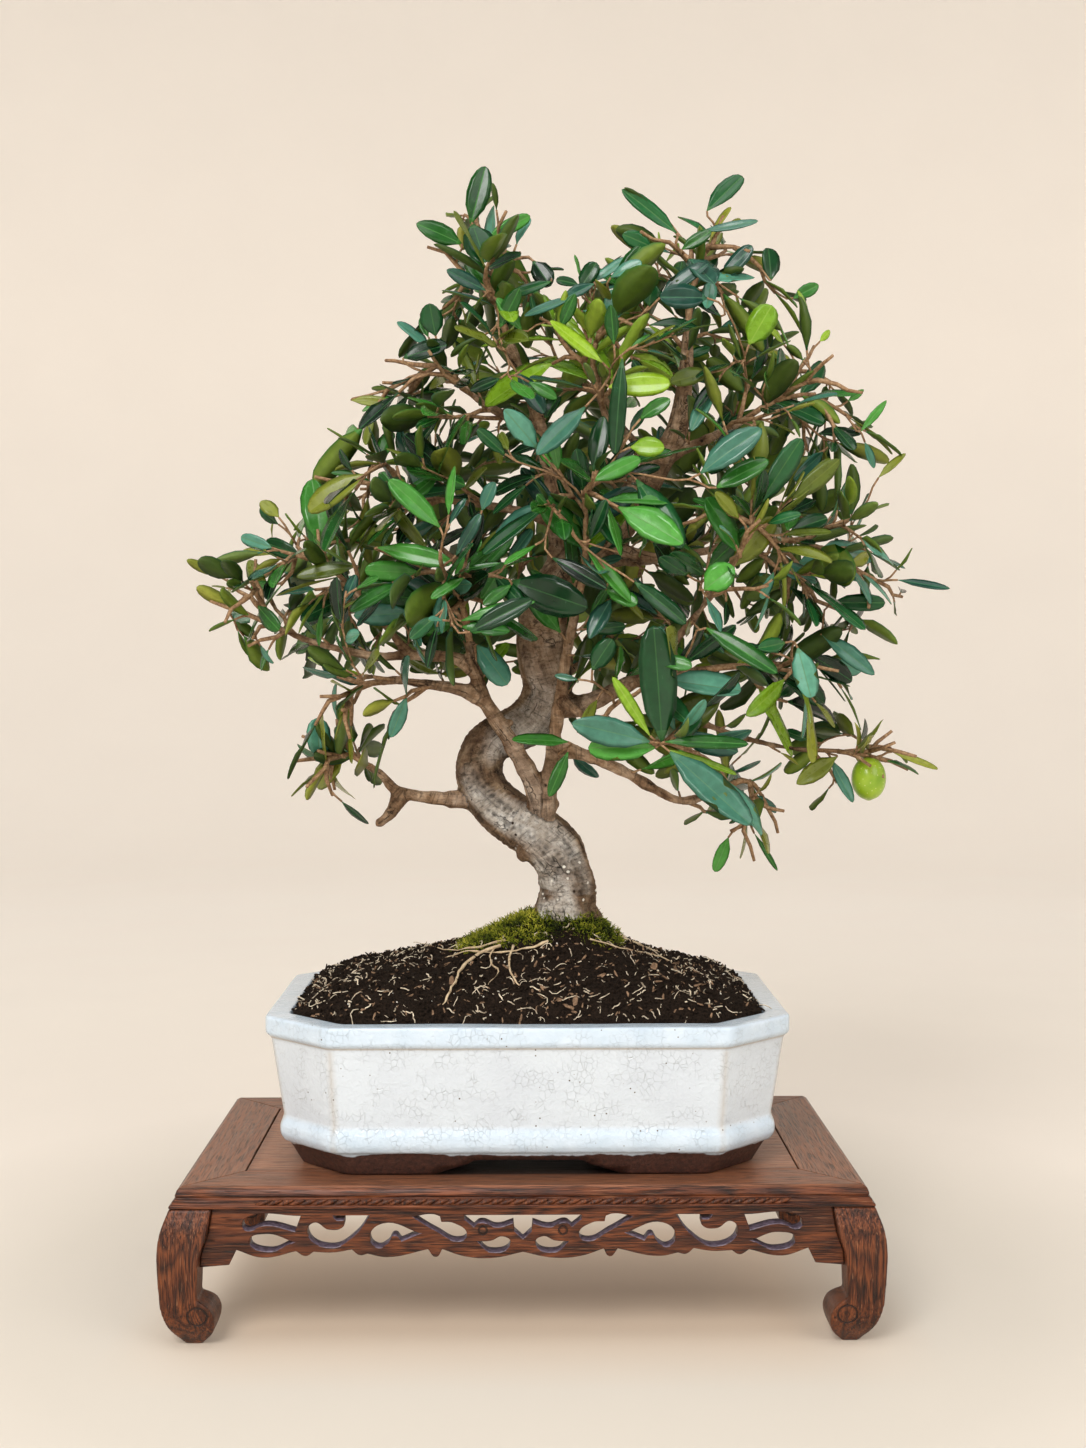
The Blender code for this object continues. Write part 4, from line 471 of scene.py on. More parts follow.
# ---------------------------------------------------------------- finishes
def tint(red, green, blue):
    """A linear colour from the eye's scale of 0 to 255."""
    shares = [channel / 255.0 for channel in (red, green, blue)]
    return tuple(s / 12.92 if s < 0.04045 else ((s + 0.055) / 1.055) ** 2.4 for s in shares) + (1.0,)


def feed(tree, socket, value):
    """Links an input socket to what feeds it, or sets its value."""
    if isinstance(value, bpy.types.NodeSocket):
        tree.links.new(value, socket)
    else:
        socket.default_value = value


def add_node(tree, kind, links=None, **settings):
    """A node with its settings, and links or values for its input sockets by name or number."""
    node = tree.nodes.new(kind)
    for name, value in settings.items():
        setattr(node, name, value)
    for socket, value in (links or {}).items():
        feed(tree, node.inputs[socket], value)
    return node


class Finish:
    """One material: a Principled shader and the nodes that feed it."""

    def __init__(self, name, roughness=0.5, **values):
        self.material = bpy.data.materials.new(name)
        self.material.use_nodes = True
        self.tree = self.material.node_tree
        self.shader = self.tree.nodes["Principled BSDF"]
        self.shader.inputs["Roughness"].default_value = roughness
        for socket, value in values.items():
            self.shader.inputs[socket.replace("_", " ")].default_value = value

    def add(self, kind, links=None, **settings):
        return add_node(self.tree, kind, links, **settings)

    def feed(self, socket, value):
        feed(self.tree, socket, value)

    def place(self, stretch=(1.0, 1.0, 1.0), shift=(0.0, 0.0, 0.0)):
        """Places on the piece, shifted and stretched."""
        origin = self.add("ShaderNodeTexCoord").outputs["Object"]
        mapping = self.add("ShaderNodeMapping", {"Vector": origin, "Scale": stretch, "Location": shift})
        return mapping.outputs["Vector"]

    def height(self):
        """Height on the piece in metres."""
        origin = self.add("ShaderNodeTexCoord").outputs["Object"]
        return self.add("ShaderNodeSeparateXYZ", {0: origin}).outputs["Z"]

    def noise(self, where, scale, detail=4.0, roughness=0.5, distortion=0.0):
        return self.add("ShaderNodeTexNoise", {
            "Vector": where, "Scale": scale, "Detail": detail, "Roughness": roughness,
            "Distortion": distortion,
        }).outputs["Fac"]

    def cells(self, where, scale, feature="F1"):
        """Distance to the middle, or to the edge, of the cell that a place lies in."""
        links = {"Vector": where, "Scale": scale}
        return self.add("ShaderNodeTexVoronoi", links, feature=feature).outputs["Distance"]

    def attribute(self, name, output="Fac"):
        return self.add("ShaderNodeAttribute", attribute_name=name).outputs[output]

    def ramp(self, value, stops):
        """Tints or levels eased between stops: (position, tint or level)."""
        node = self.add("ShaderNodeValToRGB", {0: value})
        points = node.color_ramp.elements
        while len(points) < len(stops):
            points.new(0.5)
        for point, (position, colour) in zip(points, stops):
            point.position = position
            point.color = tint(*colour) if isinstance(colour, tuple) else (colour,) * 3 + (1.0,)
        return node.outputs["Color"]

    def span(self, value, low, high, new_low=0.0, new_high=1.0):
        links = {"Value": value, "From Min": low, "From Max": high, "To Min": new_low, "To Max": new_high}
        return self.add("ShaderNodeMapRange", links).outputs["Result"]

    def maths(self, operation, first, second=0.0):
        return self.add("ShaderNodeMath", {0: first, 1: second}, operation=operation).outputs[0]

    def times(self, first, second):
        return self.maths("MULTIPLY", first, second)

    def plus(self, first, second):
        return self.maths("ADD", first, second)

    def positive(self, value):
        return self.maths("ABSOLUTE", value)

    def mix(self, share, first, second, way="MIX"):
        node = self.add("ShaderNodeMix", data_type="RGBA", blend_type=way)
        for socket, value in zip((node.inputs[0], node.inputs[6], node.inputs[7]), (share, first, second)):
            self.feed(socket, value)
        return node.outputs[2]

    def bump(self, height, distance, strength=1.0):
        links = {"Height": height, "Distance": distance, "Strength": strength}
        return self.add("ShaderNodeBump", links).outputs["Normal"]

    def done(self, colour, roughness=None, normal=None):
        self.feed(self.shader.inputs["Base Color"], colour)
        if roughness is not None:
            self.feed(self.shader.inputs["Roughness"], roughness)
        if normal is not None:
            self.feed(self.shader.inputs["Normal"], normal)
        return self.material


def rosewood(name, grain, rings_cut=()):
    """Dark rosewood with cathedral figure, fibres and pores, and the small rings the carver cut in it,
    painted dark as painted shade in their grooves.
    """
    wood = Finish(name, roughness=0.46, Coat_Weight=0.12, Coat_Roughness=0.25, Specular_IOR_Level=0.35)
    along = [1.0, 1.0, 1.0]
    along["XYZ".index(grain)] = 0.16
    fine = [1.0, 1.0, 1.0]
    fine["XYZ".index(grain)] = 0.035
    figure = wood.noise(wood.place(along), 26.0, 2.0, 0.45, 0.9)
    rings = wood.maths("FRACT", wood.times(figure, 15.0))
    fibres = wood.noise(wood.place(fine), 620.0, 4.0, 0.7)
    pores = wood.noise(wood.place(fine), 1500.0, 2.0, 0.5)
    bands = wood.ramp(rings, [(0.0, WOOD_MID), (0.5, WOOD_LIGHT), (0.86, WOOD_DARK), (1.0, WOOD_MID)])
    threads = wood.ramp(fibres, [(0.37, WOOD_DARK), (0.50, WOOD_MID), (0.66, WOOD_LIGHT)])
    colour = wood.mix(0.55, threads, bands)
    # The top is painted paler as painted light, most in the middle of the panel, and painted dark under the
    # pot as a painted shadow.
    top = wood.span(wood.height(), PANEL_HIGH.z - 0.0016, PANEL_HIGH.z - 0.0004)
    from_seat = wood.add("ShaderNodeSeparateXYZ", {0: wood.place(shift=(-SEAT.x, -SEAT.y, 0.0))})
    aside = wood.positive(from_seat.outputs["X"])
    behind = wood.positive(from_seat.outputs["Y"])
    seat = wood.times(wood.span(aside, POT_SHADOW_HALF[0] + 0.004, POT_SHADOW_HALF[0] - 0.002),
                      wood.span(behind, POT_SHADOW_HALF[1] + 0.001, POT_SHADOW_HALF[1] - 0.002))
    half_x = PANEL_HIGH.x - PLANT.x
    half_y = PANEL_HIGH.y - PLANT.y
    middle = wood.times(wood.span(behind, half_y + 0.003, half_y - 0.002),
                        wood.span(aside, half_x + 0.003, half_x - 0.002))
    lit_top_share = wood.plus(0.38, wood.times(middle, 0.42))
    colour = wood.mix(wood.times(top, lit_top_share), colour, tint(*WOOD_LIT_TOP))
    dark = wood.ramp(pores, [(0.38, 0.2), (0.46, 1.0)])
    colour = wood.mix(0.85, colour, dark, "MULTIPLY")
    scratch = wood.ramp(pores, [(0.64, 0.0), (0.70, 1.0)])
    colour = wood.mix(wood.times(scratch, 0.4), colour, tint(*WOOD_SCRATCH))
    # painted shadow: the top is painted near black under the pot
    colour = wood.mix(wood.times(seat, wood.times(top, 0.93)), colour, tint(20, 10, 7))
    roughness = wood.span(fibres, 0.2, 0.8, 0.34, 0.55)
    height = wood.plus(fibres, dark)
    for across, level, radius in rings_cut:
        spot = wood.place(shift=(-PLANT.x, 0.0, -level * MM))
        parts = wood.add("ShaderNodeSeparateXYZ", {0: spot})
        side = wood.maths("SUBTRACT", wood.positive(parts.outputs["X"]), across * MM)
        away = wood.maths("SQRT", wood.plus(wood.maths("POWER", wood.positive(side), 2.0),
                                            wood.maths("POWER", wood.positive(parts.outputs["Z"]), 2.0)))
        off = wood.positive(wood.maths("SUBTRACT", away, radius * MM))
        cut = wood.span(off, 0.0007, 0.0002)
        # painted shade in the groove of the cut ring
        colour = wood.mix(wood.times(cut, 0.8), colour, tint(26, 14, 10))
        height = wood.maths("SUBTRACT", height, wood.times(cut, 4.0))
    return wood.done(colour, roughness, wood.bump(height, 0.0004, 0.9))


def lit_edge():
    """The up-facing cut edges inside the openings, painted paler and cooler than the faces as painted light.
    """
    edge = Finish("rosewood_edge_painted_light", roughness=0.4)
    streak = edge.noise(edge.place(), 500.0, 3.0)
    colour = edge.ramp(streak, [(0.3, (62, 50, 60)), (0.7, (120, 108, 126))])
    return edge.done(colour, None, edge.bump(streak, 0.0002, 0.5))


def white_glaze():
    """White glaze pooled cool on the rims, thin and dark along edges, over a brown fired foot."""
    pot = Finish("white_glaze", roughness=0.16, Coat_Weight=0.3)
    where = pot.place()
    level = pot.height()
    broad = pot.noise(where, 22.0, 3.0)
    cloud = pot.noise(where, 70.0, 3.0)
    body = pot.ramp(broad, [(0.3, (206, 215, 225)), (0.7, (216, 226, 235))])
    cool = pot.ramp(cloud, [(0.3, (196, 214, 230)), (0.7, (210, 225, 239))])
    scribble = pot.cells(pot.place((1.0, 1.0, 0.8)), 300.0, "DISTANCE_TO_EDGE")
    rim = pot.span(level, 0.1626, 0.1650)
    colour = pot.mix(rim, body, cool)
    roll = pot.span(level, 0.1180, 0.1150)
    colour = pot.mix(roll, colour, cool)
    under = pot.positive(pot.maths("SUBTRACT", level, 0.1628))
    line = pot.span(under, 0.0009, 0.0002)
    colour = pot.mix(pot.times(line, 0.55), colour, tint(176, 158, 132))
    crease = pot.times(pot.attribute("crease"), pot.span(level, 0.1628, 0.1600))
    colour = pot.mix(pot.times(crease, 0.5), colour, tint(176, 158, 132))
    crackle = pot.times(pot.ramp(scribble, [(0.0, 1.0), (0.035, 0.0)]),
                      pot.ramp(pot.noise(where, 90.0, 2.0), [(0.45, 0.0), (0.6, 1.0)]))
    colour = pot.mix(pot.times(crackle, 0.16), colour, tint(150, 140, 126))
    specks = pot.ramp(pot.cells(where, 210.0), [(0.07, 1.0), (0.12, 0.0)])
    rare = pot.ramp(pot.noise(where, 75.0, 1.0), [(0.54, 0.0), (0.58, 1.0)])
    colour = pot.mix(pot.times(specks, rare), colour, tint(92, 80, 66))
    clay_noise = pot.noise(where, 420.0, 4.0, 0.7)
    clay = pot.ramp(clay_noise, [(0.3, (38, 20, 14)), (0.7, (84, 48, 36))])
    edge = pot.plus(level, pot.span(pot.noise(where, 60.0, 3.0), 0.2, 0.8, -0.0022, 0.0022))
    bare = pot.span(edge, 0.1020, 0.1012)
    colour = pot.mix(bare, colour, clay)
    roughness = pot.span(bare, 0.0, 1.0, 0.16, 0.72)
    skin = pot.noise(where, 260.0, 4.0, 0.66, 0.5)
    height = pot.plus(pot.times(skin, 0.8), pot.times(clay_noise, bare))
    height = pot.maths("SUBTRACT", height, pot.times(crackle, 0.5))
    normal = pot.bump(height, 0.0014, 0.6)
    return pot.done(colour, roughness, normal)


def peat_finish(name, dark, light, scale, relief):
    """Crumbly earth: dark and paler specks with a rough, matt surface."""
    earth = Finish(name, roughness=0.9, Specular_IOR_Level=0.12)
    where = earth.place()
    grain = earth.noise(where, scale, 5.0, 0.7)
    colour = earth.ramp(grain, [(0.30, dark), (0.62, light), (0.85, dark)])
    return earth.done(colour, None, earth.bump(grain, relief, 0.9))


def moss_finish():
    """Moss, dark at the foot of each frond and yellow green at its tip."""
    moss = Finish("moss_green", roughness=0.7, Specular_IOR_Level=0.2)
    where = moss.place()
    fine = moss.noise(where, 330.0, 3.0)
    patches = moss.noise(where, 60.0, 2.0)
    level = moss.plus(moss.times(moss.attribute("tone"), 0.45), moss.times(fine, 0.45))
    level = moss.plus(level, moss.span(patches, 0.3, 0.7, -0.12, 0.12))
    colour = moss.ramp(level, [(0.26, (4, 8, 2)), (0.46, (26, 38, 6)), (0.62, (96, 108, 14)),
                               (0.82, (206, 200, 74))])
    return moss.done(colour, None, moss.bump(fine, 0.0006, 0.8))


def bark_finish():
    """Silver bark in long panels on the old trunk, warm brown bark above, with cracks, pits and dots."""
    bark = Finish("olive_bark", roughness=0.75, Specular_IOR_Level=0.2)
    where = bark.place()
    along = bark.attribute("along", "Vector")
    level = bark.height()
    cloud = bark.noise(where, 95.0, 4.0, 0.6, 0.4)
    streaks = bark.noise(along, 520.0, 5.0, 0.68, 0.3)
    wrinkles = bark.noise(bark.attribute("around", "Vector"), 520.0, 4.0, 0.62, 0.5)
    silver, brown, young = (
        bark.ramp(cloud, list(zip((0.32, 0.50, 0.68), tints)))
        for tints in (
            ((156, 144, 130), (192, 184, 174), (226, 222, 216)),
            ((78, 58, 42), (118, 94, 72), (158, 136, 110)),
            ((104, 76, 54), (150, 120, 92), (192, 164, 136)),
        )
    )
    # silver where the panel value is high: partly random panels, partly painted light on bark facing front or
    # back
    old = bark.mix(bark.span(bark.attribute("panel"), 0.44, 0.70), brown, silver)
    aged = bark.times(bark.span(bark.attribute("girth"), 0.0045, 0.0105), bark.span(level, 0.400, 0.325))
    colour = bark.mix(aged, young, old)
    shade = bark.ramp(streaks, [(0.36, 0.38), (0.47, 0.92), (0.66, 1.15)])
    colour = bark.mix(0.8, colour, shade, "MULTIPLY")
    shade = bark.ramp(wrinkles, [(0.35, 0.38), (0.44, 1.0), (0.70, 1.12)])
    colour = bark.mix(0.7, colour, shade, "MULTIPLY")
    cracks = bark.ramp(bark.cells(along, 170.0, "DISTANCE_TO_EDGE"), [(0.0, 0.15), (0.05, 1.0)])
    broken = bark.ramp(bark.noise(where, 70.0, 2.0), [(0.50, 0.0), (0.60, 1.0)])
    colour = bark.mix(broken, colour, bark.mix(1.0, colour, cracks, "MULTIPLY"))
    # painted shade: the bark is painted darker in the hollows of its relief
    shade = bark.ramp(bark.attribute("relief"), [(0.20, 0.24), (0.44, 0.92), (0.8, 1.14)])
    colour = bark.mix(1.0, colour, shade, "MULTIPLY")
    pits = bark.ramp(bark.cells(where, 150.0), [(0.10, 1.0), (0.17, 0.0)])
    pitted = bark.ramp(bark.noise(where, 60.0, 1.0), [(0.56, 0.0), (0.62, 1.0)])
    colour = bark.mix(bark.times(pits, pitted), colour, tint(44, 30, 22))
    # White dots low on the trunk, in a band round it.
    dots = bark.ramp(bark.cells(bark.place((1.0, 1.0, 1.15)), 175.0), [(0.15, 1.0), (0.20, 0.0)])
    band = bark.times(bark.span(level, 0.226, 0.230), bark.span(level, 0.268, 0.256))
    dotted = bark.ramp(bark.noise(where, 85.0, 1.0), [(0.40, 0.0), (0.46, 1.0)])
    colour = bark.mix(bark.times(dots, bark.times(band, dotted)), colour, tint(236, 232, 222))
    height = bark.plus(streaks, bark.times(wrinkles, 0.8))
    height = bark.plus(height, bark.times(bark.mix(broken, (1.0, 1.0, 1.0, 1.0), cracks), 0.6))
    return bark.done(colour, None, bark.bump(height, 0.0018, 1.0))


def leaf_finish(name, low, high, rim, roughness, sheen=0.0):
    """One face of the leaves of one tint, a little different from leaf to leaf and painted darker toward the
    crown's heart as painted shade, with a paler rim.
    """
    leaf = Finish(name, roughness=roughness, Coat_Weight=sheen, Coat_Roughness=0.14,
                  Specular_IOR_Level=0.32)
    where = leaf.place()
    cloud = leaf.noise(where, 75.0, 2.0)
    blend = leaf.plus(leaf.times(leaf.attribute("tone"), 0.75), leaf.times(cloud, 0.25))
    colour = leaf.ramp(blend, [(0.08, low), (0.92, high)])
    colour = leaf.mix(leaf.span(leaf.attribute("rim"), 0.78, 0.94, 0.0, 0.75), colour, tint(*rim))
    fine = leaf.noise(where, 260.0, 2.0)
    colour = leaf.mix(0.45, colour, leaf.ramp(fine, [(0.3, 0.7), (0.7, 1.2)]), "MULTIPLY")
    return leaf.done(colour, leaf.span(fine, 0.2, 0.8, roughness - 0.05, roughness + 0.09),
                     leaf.bump(fine, 0.00018, 0.5))


# ---------------------------------------------------------------- pieces
def finish_piece(name, mesh, materials, replaced=()):
    """A finished mesh as a piece of the tree, at the origin, that may stand for solids of the frame."""
    mesh.name = name
    numbers = np.zeros(len(mesh.polygons), dtype=np.int32)
    mesh.polygons.foreach_get("material_index", numbers)
    mesh.materials.clear()
    for material in materials:
        mesh.materials.append(material)
    mesh.polygons.foreach_set("material_index", np.minimum(numbers, len(materials) - 1))
    piece = bpy.data.objects.new(name, mesh)
    bpy.context.scene.collection.objects.link(piece)
    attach(piece, "root")
    if replaced:
        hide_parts(*replaced)
    return piece


def helper(data):
    """An object that is only used while a piece is made."""
    thing = bpy.data.objects.new("helper", data)
    bpy.context.scene.collection.objects.link(thing)
    return thing


def settled(thing, **modifiers):
    """The plain mesh of a helper with its modifiers settled; the helper goes."""
    for kind, settings in modifiers.items():
        modifier = thing.modifiers.new(kind, kind.rstrip("0123456789"))
        for name, value in settings.items():
            setattr(modifier, name, value)
    bpy.context.view_layer.update()
    evaluated = thing.evaluated_get(bpy.context.evaluated_depsgraph_get())
    mesh = bpy.data.meshes.new_from_object(evaluated)
    data = thing.data
    bpy.data.objects.remove(thing)
    if isinstance(data, bpy.types.Curve):
        bpy.data.curves.remove(data)
    return mesh


def from_arrays(name, points, faces, smooth=True, slots=None):
    """A mesh from an array of places and a list of faces, with a material number for each face."""
    mesh = bpy.data.meshes.new(name)
    mesh.from_pydata([tuple(point) for point in points], [], [tuple(face) for face in faces])
    mesh.polygons.foreach_set("use_smooth", np.full(len(mesh.polygons), smooth))
    if slots is not None:
        mesh.polygons.foreach_set("material_index", np.array(slots, dtype=np.int32))
    mesh.update()
    return mesh


def joined(meshes):
    """Several meshes as one, which keeps their material numbers and drops the rest."""
    bm = bmesh.new()
    for mesh in meshes:
        bm.from_mesh(mesh)
    whole = bpy.data.meshes.new("joined")
    bm.to_mesh(whole)
    bm.free()
    return whole


def places_of(mesh, field="co"):
    """The place, or the normal, of each corner point of a mesh."""
    flat = np.empty(len(mesh.vertices) * 3, dtype=np.float64)
    mesh.vertices.foreach_get(field, flat)
    return flat.reshape(-1, 3)


def put_places(mesh, places):
    mesh.vertices.foreach_set("co", places.ravel())
    mesh.update()


def put_values(mesh, name, values):
    """A number for each corner point of a mesh, for its material to read."""
    attribute = mesh.attributes.new(name, "FLOAT", "POINT")
    attribute.data.foreach_set("value", np.asarray(values, dtype=np.float32))


def put_vectors(mesh, name, vectors):
    """A place for each corner point of a mesh, for its material to lay a pattern by."""
    attribute = mesh.attributes.new(name, "FLOAT_VECTOR", "POINT")
    attribute.data.foreach_set("vector", np.asarray(vectors, dtype=np.float32).ravel())


def noises(places, scale, seed):
    """Smooth noise from -1 to 1 at each place."""
    shift = Vector((seed * 17.3, seed * -9.1, seed * 4.7))
    return np.array([noise.noise(Vector(place) * scale + shift) for place in places])


def tube_rings(path, radii, sides, twist=0.0):
    """A tube with closed ends round a path, as places and faces."""
    spots = []
    for k, (place, turn) in enumerate(zip(path, carried_turns(path))):
        across = turn @ Vector((1.0, 0.0, 0.0))
        up = turn @ Vector((0.0, 1.0, 0.0))
        for s in range(sides):
            angle = math.tau * s / sides + twist * k
            spots.append(place + (across * math.cos(angle) + up * math.sin(angle)) * radii[k])
    return spots, ring_faces(len(path), sides)


def add_part(spots, faces, part):
    """Adds a part's places and faces to those of a larger mesh."""
    faces += [tuple(len(spots) + k for k in face) for face in part[1]]
    spots += part[0]


def curved(before, start, end, after, t):
    """A place between start and end on the Catmull-Rom curve through four places."""
    return 0.5 * (
        2.0 * start + (end - before) * t + (2.0 * before - 5.0 * start + 4.0 * end - after) * t**2
        + (3.0 * start - before - 3.0 * end + after) * t**3
    )


def bowed(start, knee, end, t):
    """A place on the bow from start to end that is drawn toward a knee."""
    return start * (1 - t) ** 2 + knee * 2 * t * (1 - t) + end * t**2


def carried_turns(path):
    """The turn at each point of a path, carried along it unrolled."""
    first = path[1] - path[0]
    turn = first.to_track_quat("Z", "Y")
    turns = [turn]
    for k in range(1, len(path)):
        ahead = path[min(k + 1, len(path) - 1)] - path[k - 1]
        turn = (turn @ Vector((0.0, 0.0, 1.0))).rotation_difference(ahead.normalized()) @ turn
        turns.append(turn)
    return turns


def ring_faces(rows, count):
    """Faces between rings of equal counts, one after another, with both ends closed."""
    faces = []
    for k in range(rows - 1):
        for s in range(count):
            t = (s + 1) % count
            faces.append((k * count + s, k * count + t, (k + 1) * count + t, (k + 1) * count + s))
    faces.append(tuple(reversed(range(count))))
    faces.append(tuple(range((rows - 1) * count, rows * count)))
    return faces


def scattering(name):
    """Geometry nodes that strew copies of a small shape over a surface, each turned and sized at random."""
    tree = bpy.data.node_groups.new(name, "GeometryNodeTree")
    for socket, kind in (
        ("Ground", "Geometry"), ("Shape", "Object"), ("Number per square metre", "Float"),
        ("Smallest", "Float"), ("Largest", "Float"), ("Lean", "Float"), ("Seed", "Int"),
        ("Finish", "Material"),
    ):
        tree.interface.new_socket(socket, in_out="INPUT", socket_type="NodeSocket" + kind)
    tree.interface.new_socket("Pieces", in_out="OUTPUT", socket_type="NodeSocketGeometry")
    given = add_node(tree, "NodeGroupInput").outputs
    lean, seed = given["Lean"], given["Seed"]
    spread = add_node(tree, "GeometryNodeDistributePointsOnFaces", {
        "Mesh": given["Ground"], "Density": given["Number per square metre"], "Seed": seed})
    shape = add_node(tree, "GeometryNodeObjectInfo", {"Object": given["Shape"]})
    size = add_node(tree, "FunctionNodeRandomValue", {
        2: given["Smallest"], 3: given["Largest"], "Seed": seed})
    back = add_node(tree, "ShaderNodeMath", {0: lean, 1: -1.0}, operation="MULTIPLY").outputs[0]
    low = add_node(tree, "ShaderNodeCombineXYZ", {0: back, 1: back})
    high = add_node(tree, "ShaderNodeCombineXYZ", {0: lean, 1: lean, 2: math.tau})
    turn = add_node(tree, "FunctionNodeRandomValue", {
        0: low.outputs[0], 1: high.outputs[0], "Seed": seed}, data_type="FLOAT_VECTOR")
    euler = add_node(tree, "FunctionNodeEulerToRotation", {0: turn.outputs[0]})
    rotate = add_node(tree, "FunctionNodeRotateRotation", {
        0: spread.outputs["Rotation"], 1: euler.outputs[0]}, rotation_space="LOCAL")
    copies = add_node(tree, "GeometryNodeInstanceOnPoints", {
        "Points": spread.outputs["Points"], "Instance": shape.outputs["Geometry"],
        "Rotation": rotate.outputs[0], "Scale": size.outputs[1]})
    real = add_node(tree, "GeometryNodeRealizeInstances", {0: copies.outputs[0]})
    paint = add_node(tree, "GeometryNodeSetMaterial", {
        "Geometry": real.outputs[0], "Material": given["Finish"]})
    add_node(tree, "NodeGroupOutput", {0: paint.outputs[0]})
    return tree


def strewn(ground, shape, number, sizes, lean, seed, finish):
    """Copies of a small shape strewn over a ground mesh, as one plain mesh."""
    template = helper(shape)
    host = helper(ground)
    modifier = host.modifiers.new("strew", "NODES")
    modifier.node_group = SCATTERING
    values = {
        "Shape": template, "Number per square metre": float(number), "Smallest": sizes[0],
        "Largest": sizes[1], "Lean": lean, "Seed": seed, "Finish": finish,
    }
    for socket in SCATTERING.interface.items_tree:
        if socket.in_out == "INPUT" and socket.name in values:
            modifier[socket.identifier] = values[socket.name]
    mesh = settled(host)
    bpy.data.objects.remove(template)
    return mesh


# ---------------------------------------------------------------- trunk and boughs
BARK_STEP = 4.0
BARK_VOXEL = 1.1
BARK_ROUNDS = 5
BLOCK = 4000  # places that are worked out at a time, to spare memory
KNOBBLE = 0.3  # how much a bough swells and narrows at its joints


def smooth_path(waypoints, radii, spacing):
    """A curve through waypoints (Catmull-Rom) with the radius eased along it, as (places, radii)."""
    places = [at(*point[:3]) for point in waypoints]
    places = [2.0 * places[0] - places[1]] + places + [2.0 * places[-1] - places[-2]]
    girths = [radii[0]] + list(radii) + [radii[-1]]
    path = []
    girth = []
    for k in range(1, len(places) - 2):
        before, start, end, after = places[k - 1 : k + 3]
        steps = max(1, round((end - start).length / (spacing * MM)))
        for step in range(steps):
            t = step / steps
            path.append(curved(before, start, end, after, t))
            girth.append((girths[k] + (girths[k + 1] - girths[k]) * t) * MM)
    path.append(places[-2])
    girth.append(girths[-2] * MM)
    return path, girth


def limb_table():
    """Each limb's path and girth by name: the trunk first, then the boughs."""
    limbs = {"trunk": smooth_path(TRUNK, [point[3] for point in TRUNK], BARK_STEP)}
    for name, _, (thick, thin), waypoints in BOUGHS:
        spread = [0.0]
        for first, second in zip(waypoints[:-1], waypoints[1:]):
            spread.append(spread[-1] + (at(*second) - at(*first)).length)
        radii = [thick + (thin - thick) * (run / spread[-1]) ** BOUGH_TAPER for run in spread]
        limbs[name] = smooth_path(waypoints, radii, BARK_STEP)
    (thick, thin), stub = STUB
    limbs["stub"] = smooth_path(stub, [thick, (thick + thin) / 2.0, thin], BARK_STEP)
    return limbs


def limb_capsules(limbs):
    """Every limb as runs between two places with a radius and its name, for keeping clear of them."""
    runs = [(path[k], path[k + 1], max(girth[k], girth[k + 1]), name)
            for name, (path, girth) in limbs.items() for k in range(len(path) - 1)]
    starts, ends, radii, owners = zip(*runs)
    return np.array(starts), np.array(ends), np.array(radii), owners


def ways_from_limbs(points, capsules):
    """The way to each point from each run of a limb's heart, and how far past the bark it lies."""
    starts, ends, radii, _ = capsules
    runs = ends - starts
    offset = points[:, None, :] - starts[None]
    along = np.clip((offset * runs[None]).sum(axis=2) / (runs**2).sum(axis=1)[None], 0.0, 1.0)
    away = offset - along[..., None] * runs[None]
    return away, np.linalg.norm(away, axis=2) - radii[None]


def limb_clearance(points, capsules, skip=None):
    """The least distance from any of the points to the bark of the limbs, but for the skipped one."""
    distance = ways_from_limbs(points, capsules)[1]
    if skip is not None:
        distance[:, [owner == skip for owner in capsules[3]]] = 1.0
    return float(distance.min())


def limb_skin(path, girth, sides, root_flare):
    """A limb's tube, swollen at its root into the limb that carries it, with a domed tip."""
    places = list(path)
    radii = list(girth)
    for k in range(len(radii)):
        run = k * BARK_STEP / (2.6 * girth[0] / MM)
        radii[k] *= 1.0 + root_flare * math.exp(-run * run)
        if root_flare:
            radii[k] *= 1.0 + KNOBBLE * noise.noise(places[k] * 170.0)
    onward = (path[-1] - path[-2]).normalized() * girth[-1]
    places.append(path[-1] + onward * 0.6)
    radii.append(girth[-1] * 0.75)
    places.append(path[-1] + onward * 0.9)
    radii.append(girth[-1] * 0.3)
    return tube_rings(places, radii, sides)


def nearest_limb(places, capsules):
    """For each place, the run of a limb that it lies closest to, and the way to it from its heart."""
    chosen = np.zeros(len(places), dtype=np.int32)
    outward = np.zeros_like(places)
    for low in range(0, len(places), BLOCK):
        away, depth = ways_from_limbs(places[low : low + BLOCK], capsules)
        best = depth.argmin(axis=1)
        chosen[low : low + BLOCK] = best
        outward[low : low + BLOCK] = away[np.arange(len(best)), best]
    return chosen, outward


def eased(mesh, rounds, amount):
    """Eases a mesh by drawing each point toward the middle of its neighbours, more where amount is high."""
    places = places_of(mesh)
    ends = np.empty(len(mesh.edges) * 2, dtype=np.int32)
    mesh.edges.foreach_get("vertices", ends)
    first, second = ends[0::2], ends[1::2]
    count = np.bincount(first, minlength=len(places)) + np.bincount(second, minlength=len(places))
    for _ in range(rounds):
        total = np.zeros_like(places)
        for axis in range(3):
            total[:, axis] = np.bincount(first, places[second, axis], len(places))
            total[:, axis] += np.bincount(second, places[first, axis], len(places))
        places += (total / count[:, None] - places) * amount[:, None]
    put_places(mesh, places)


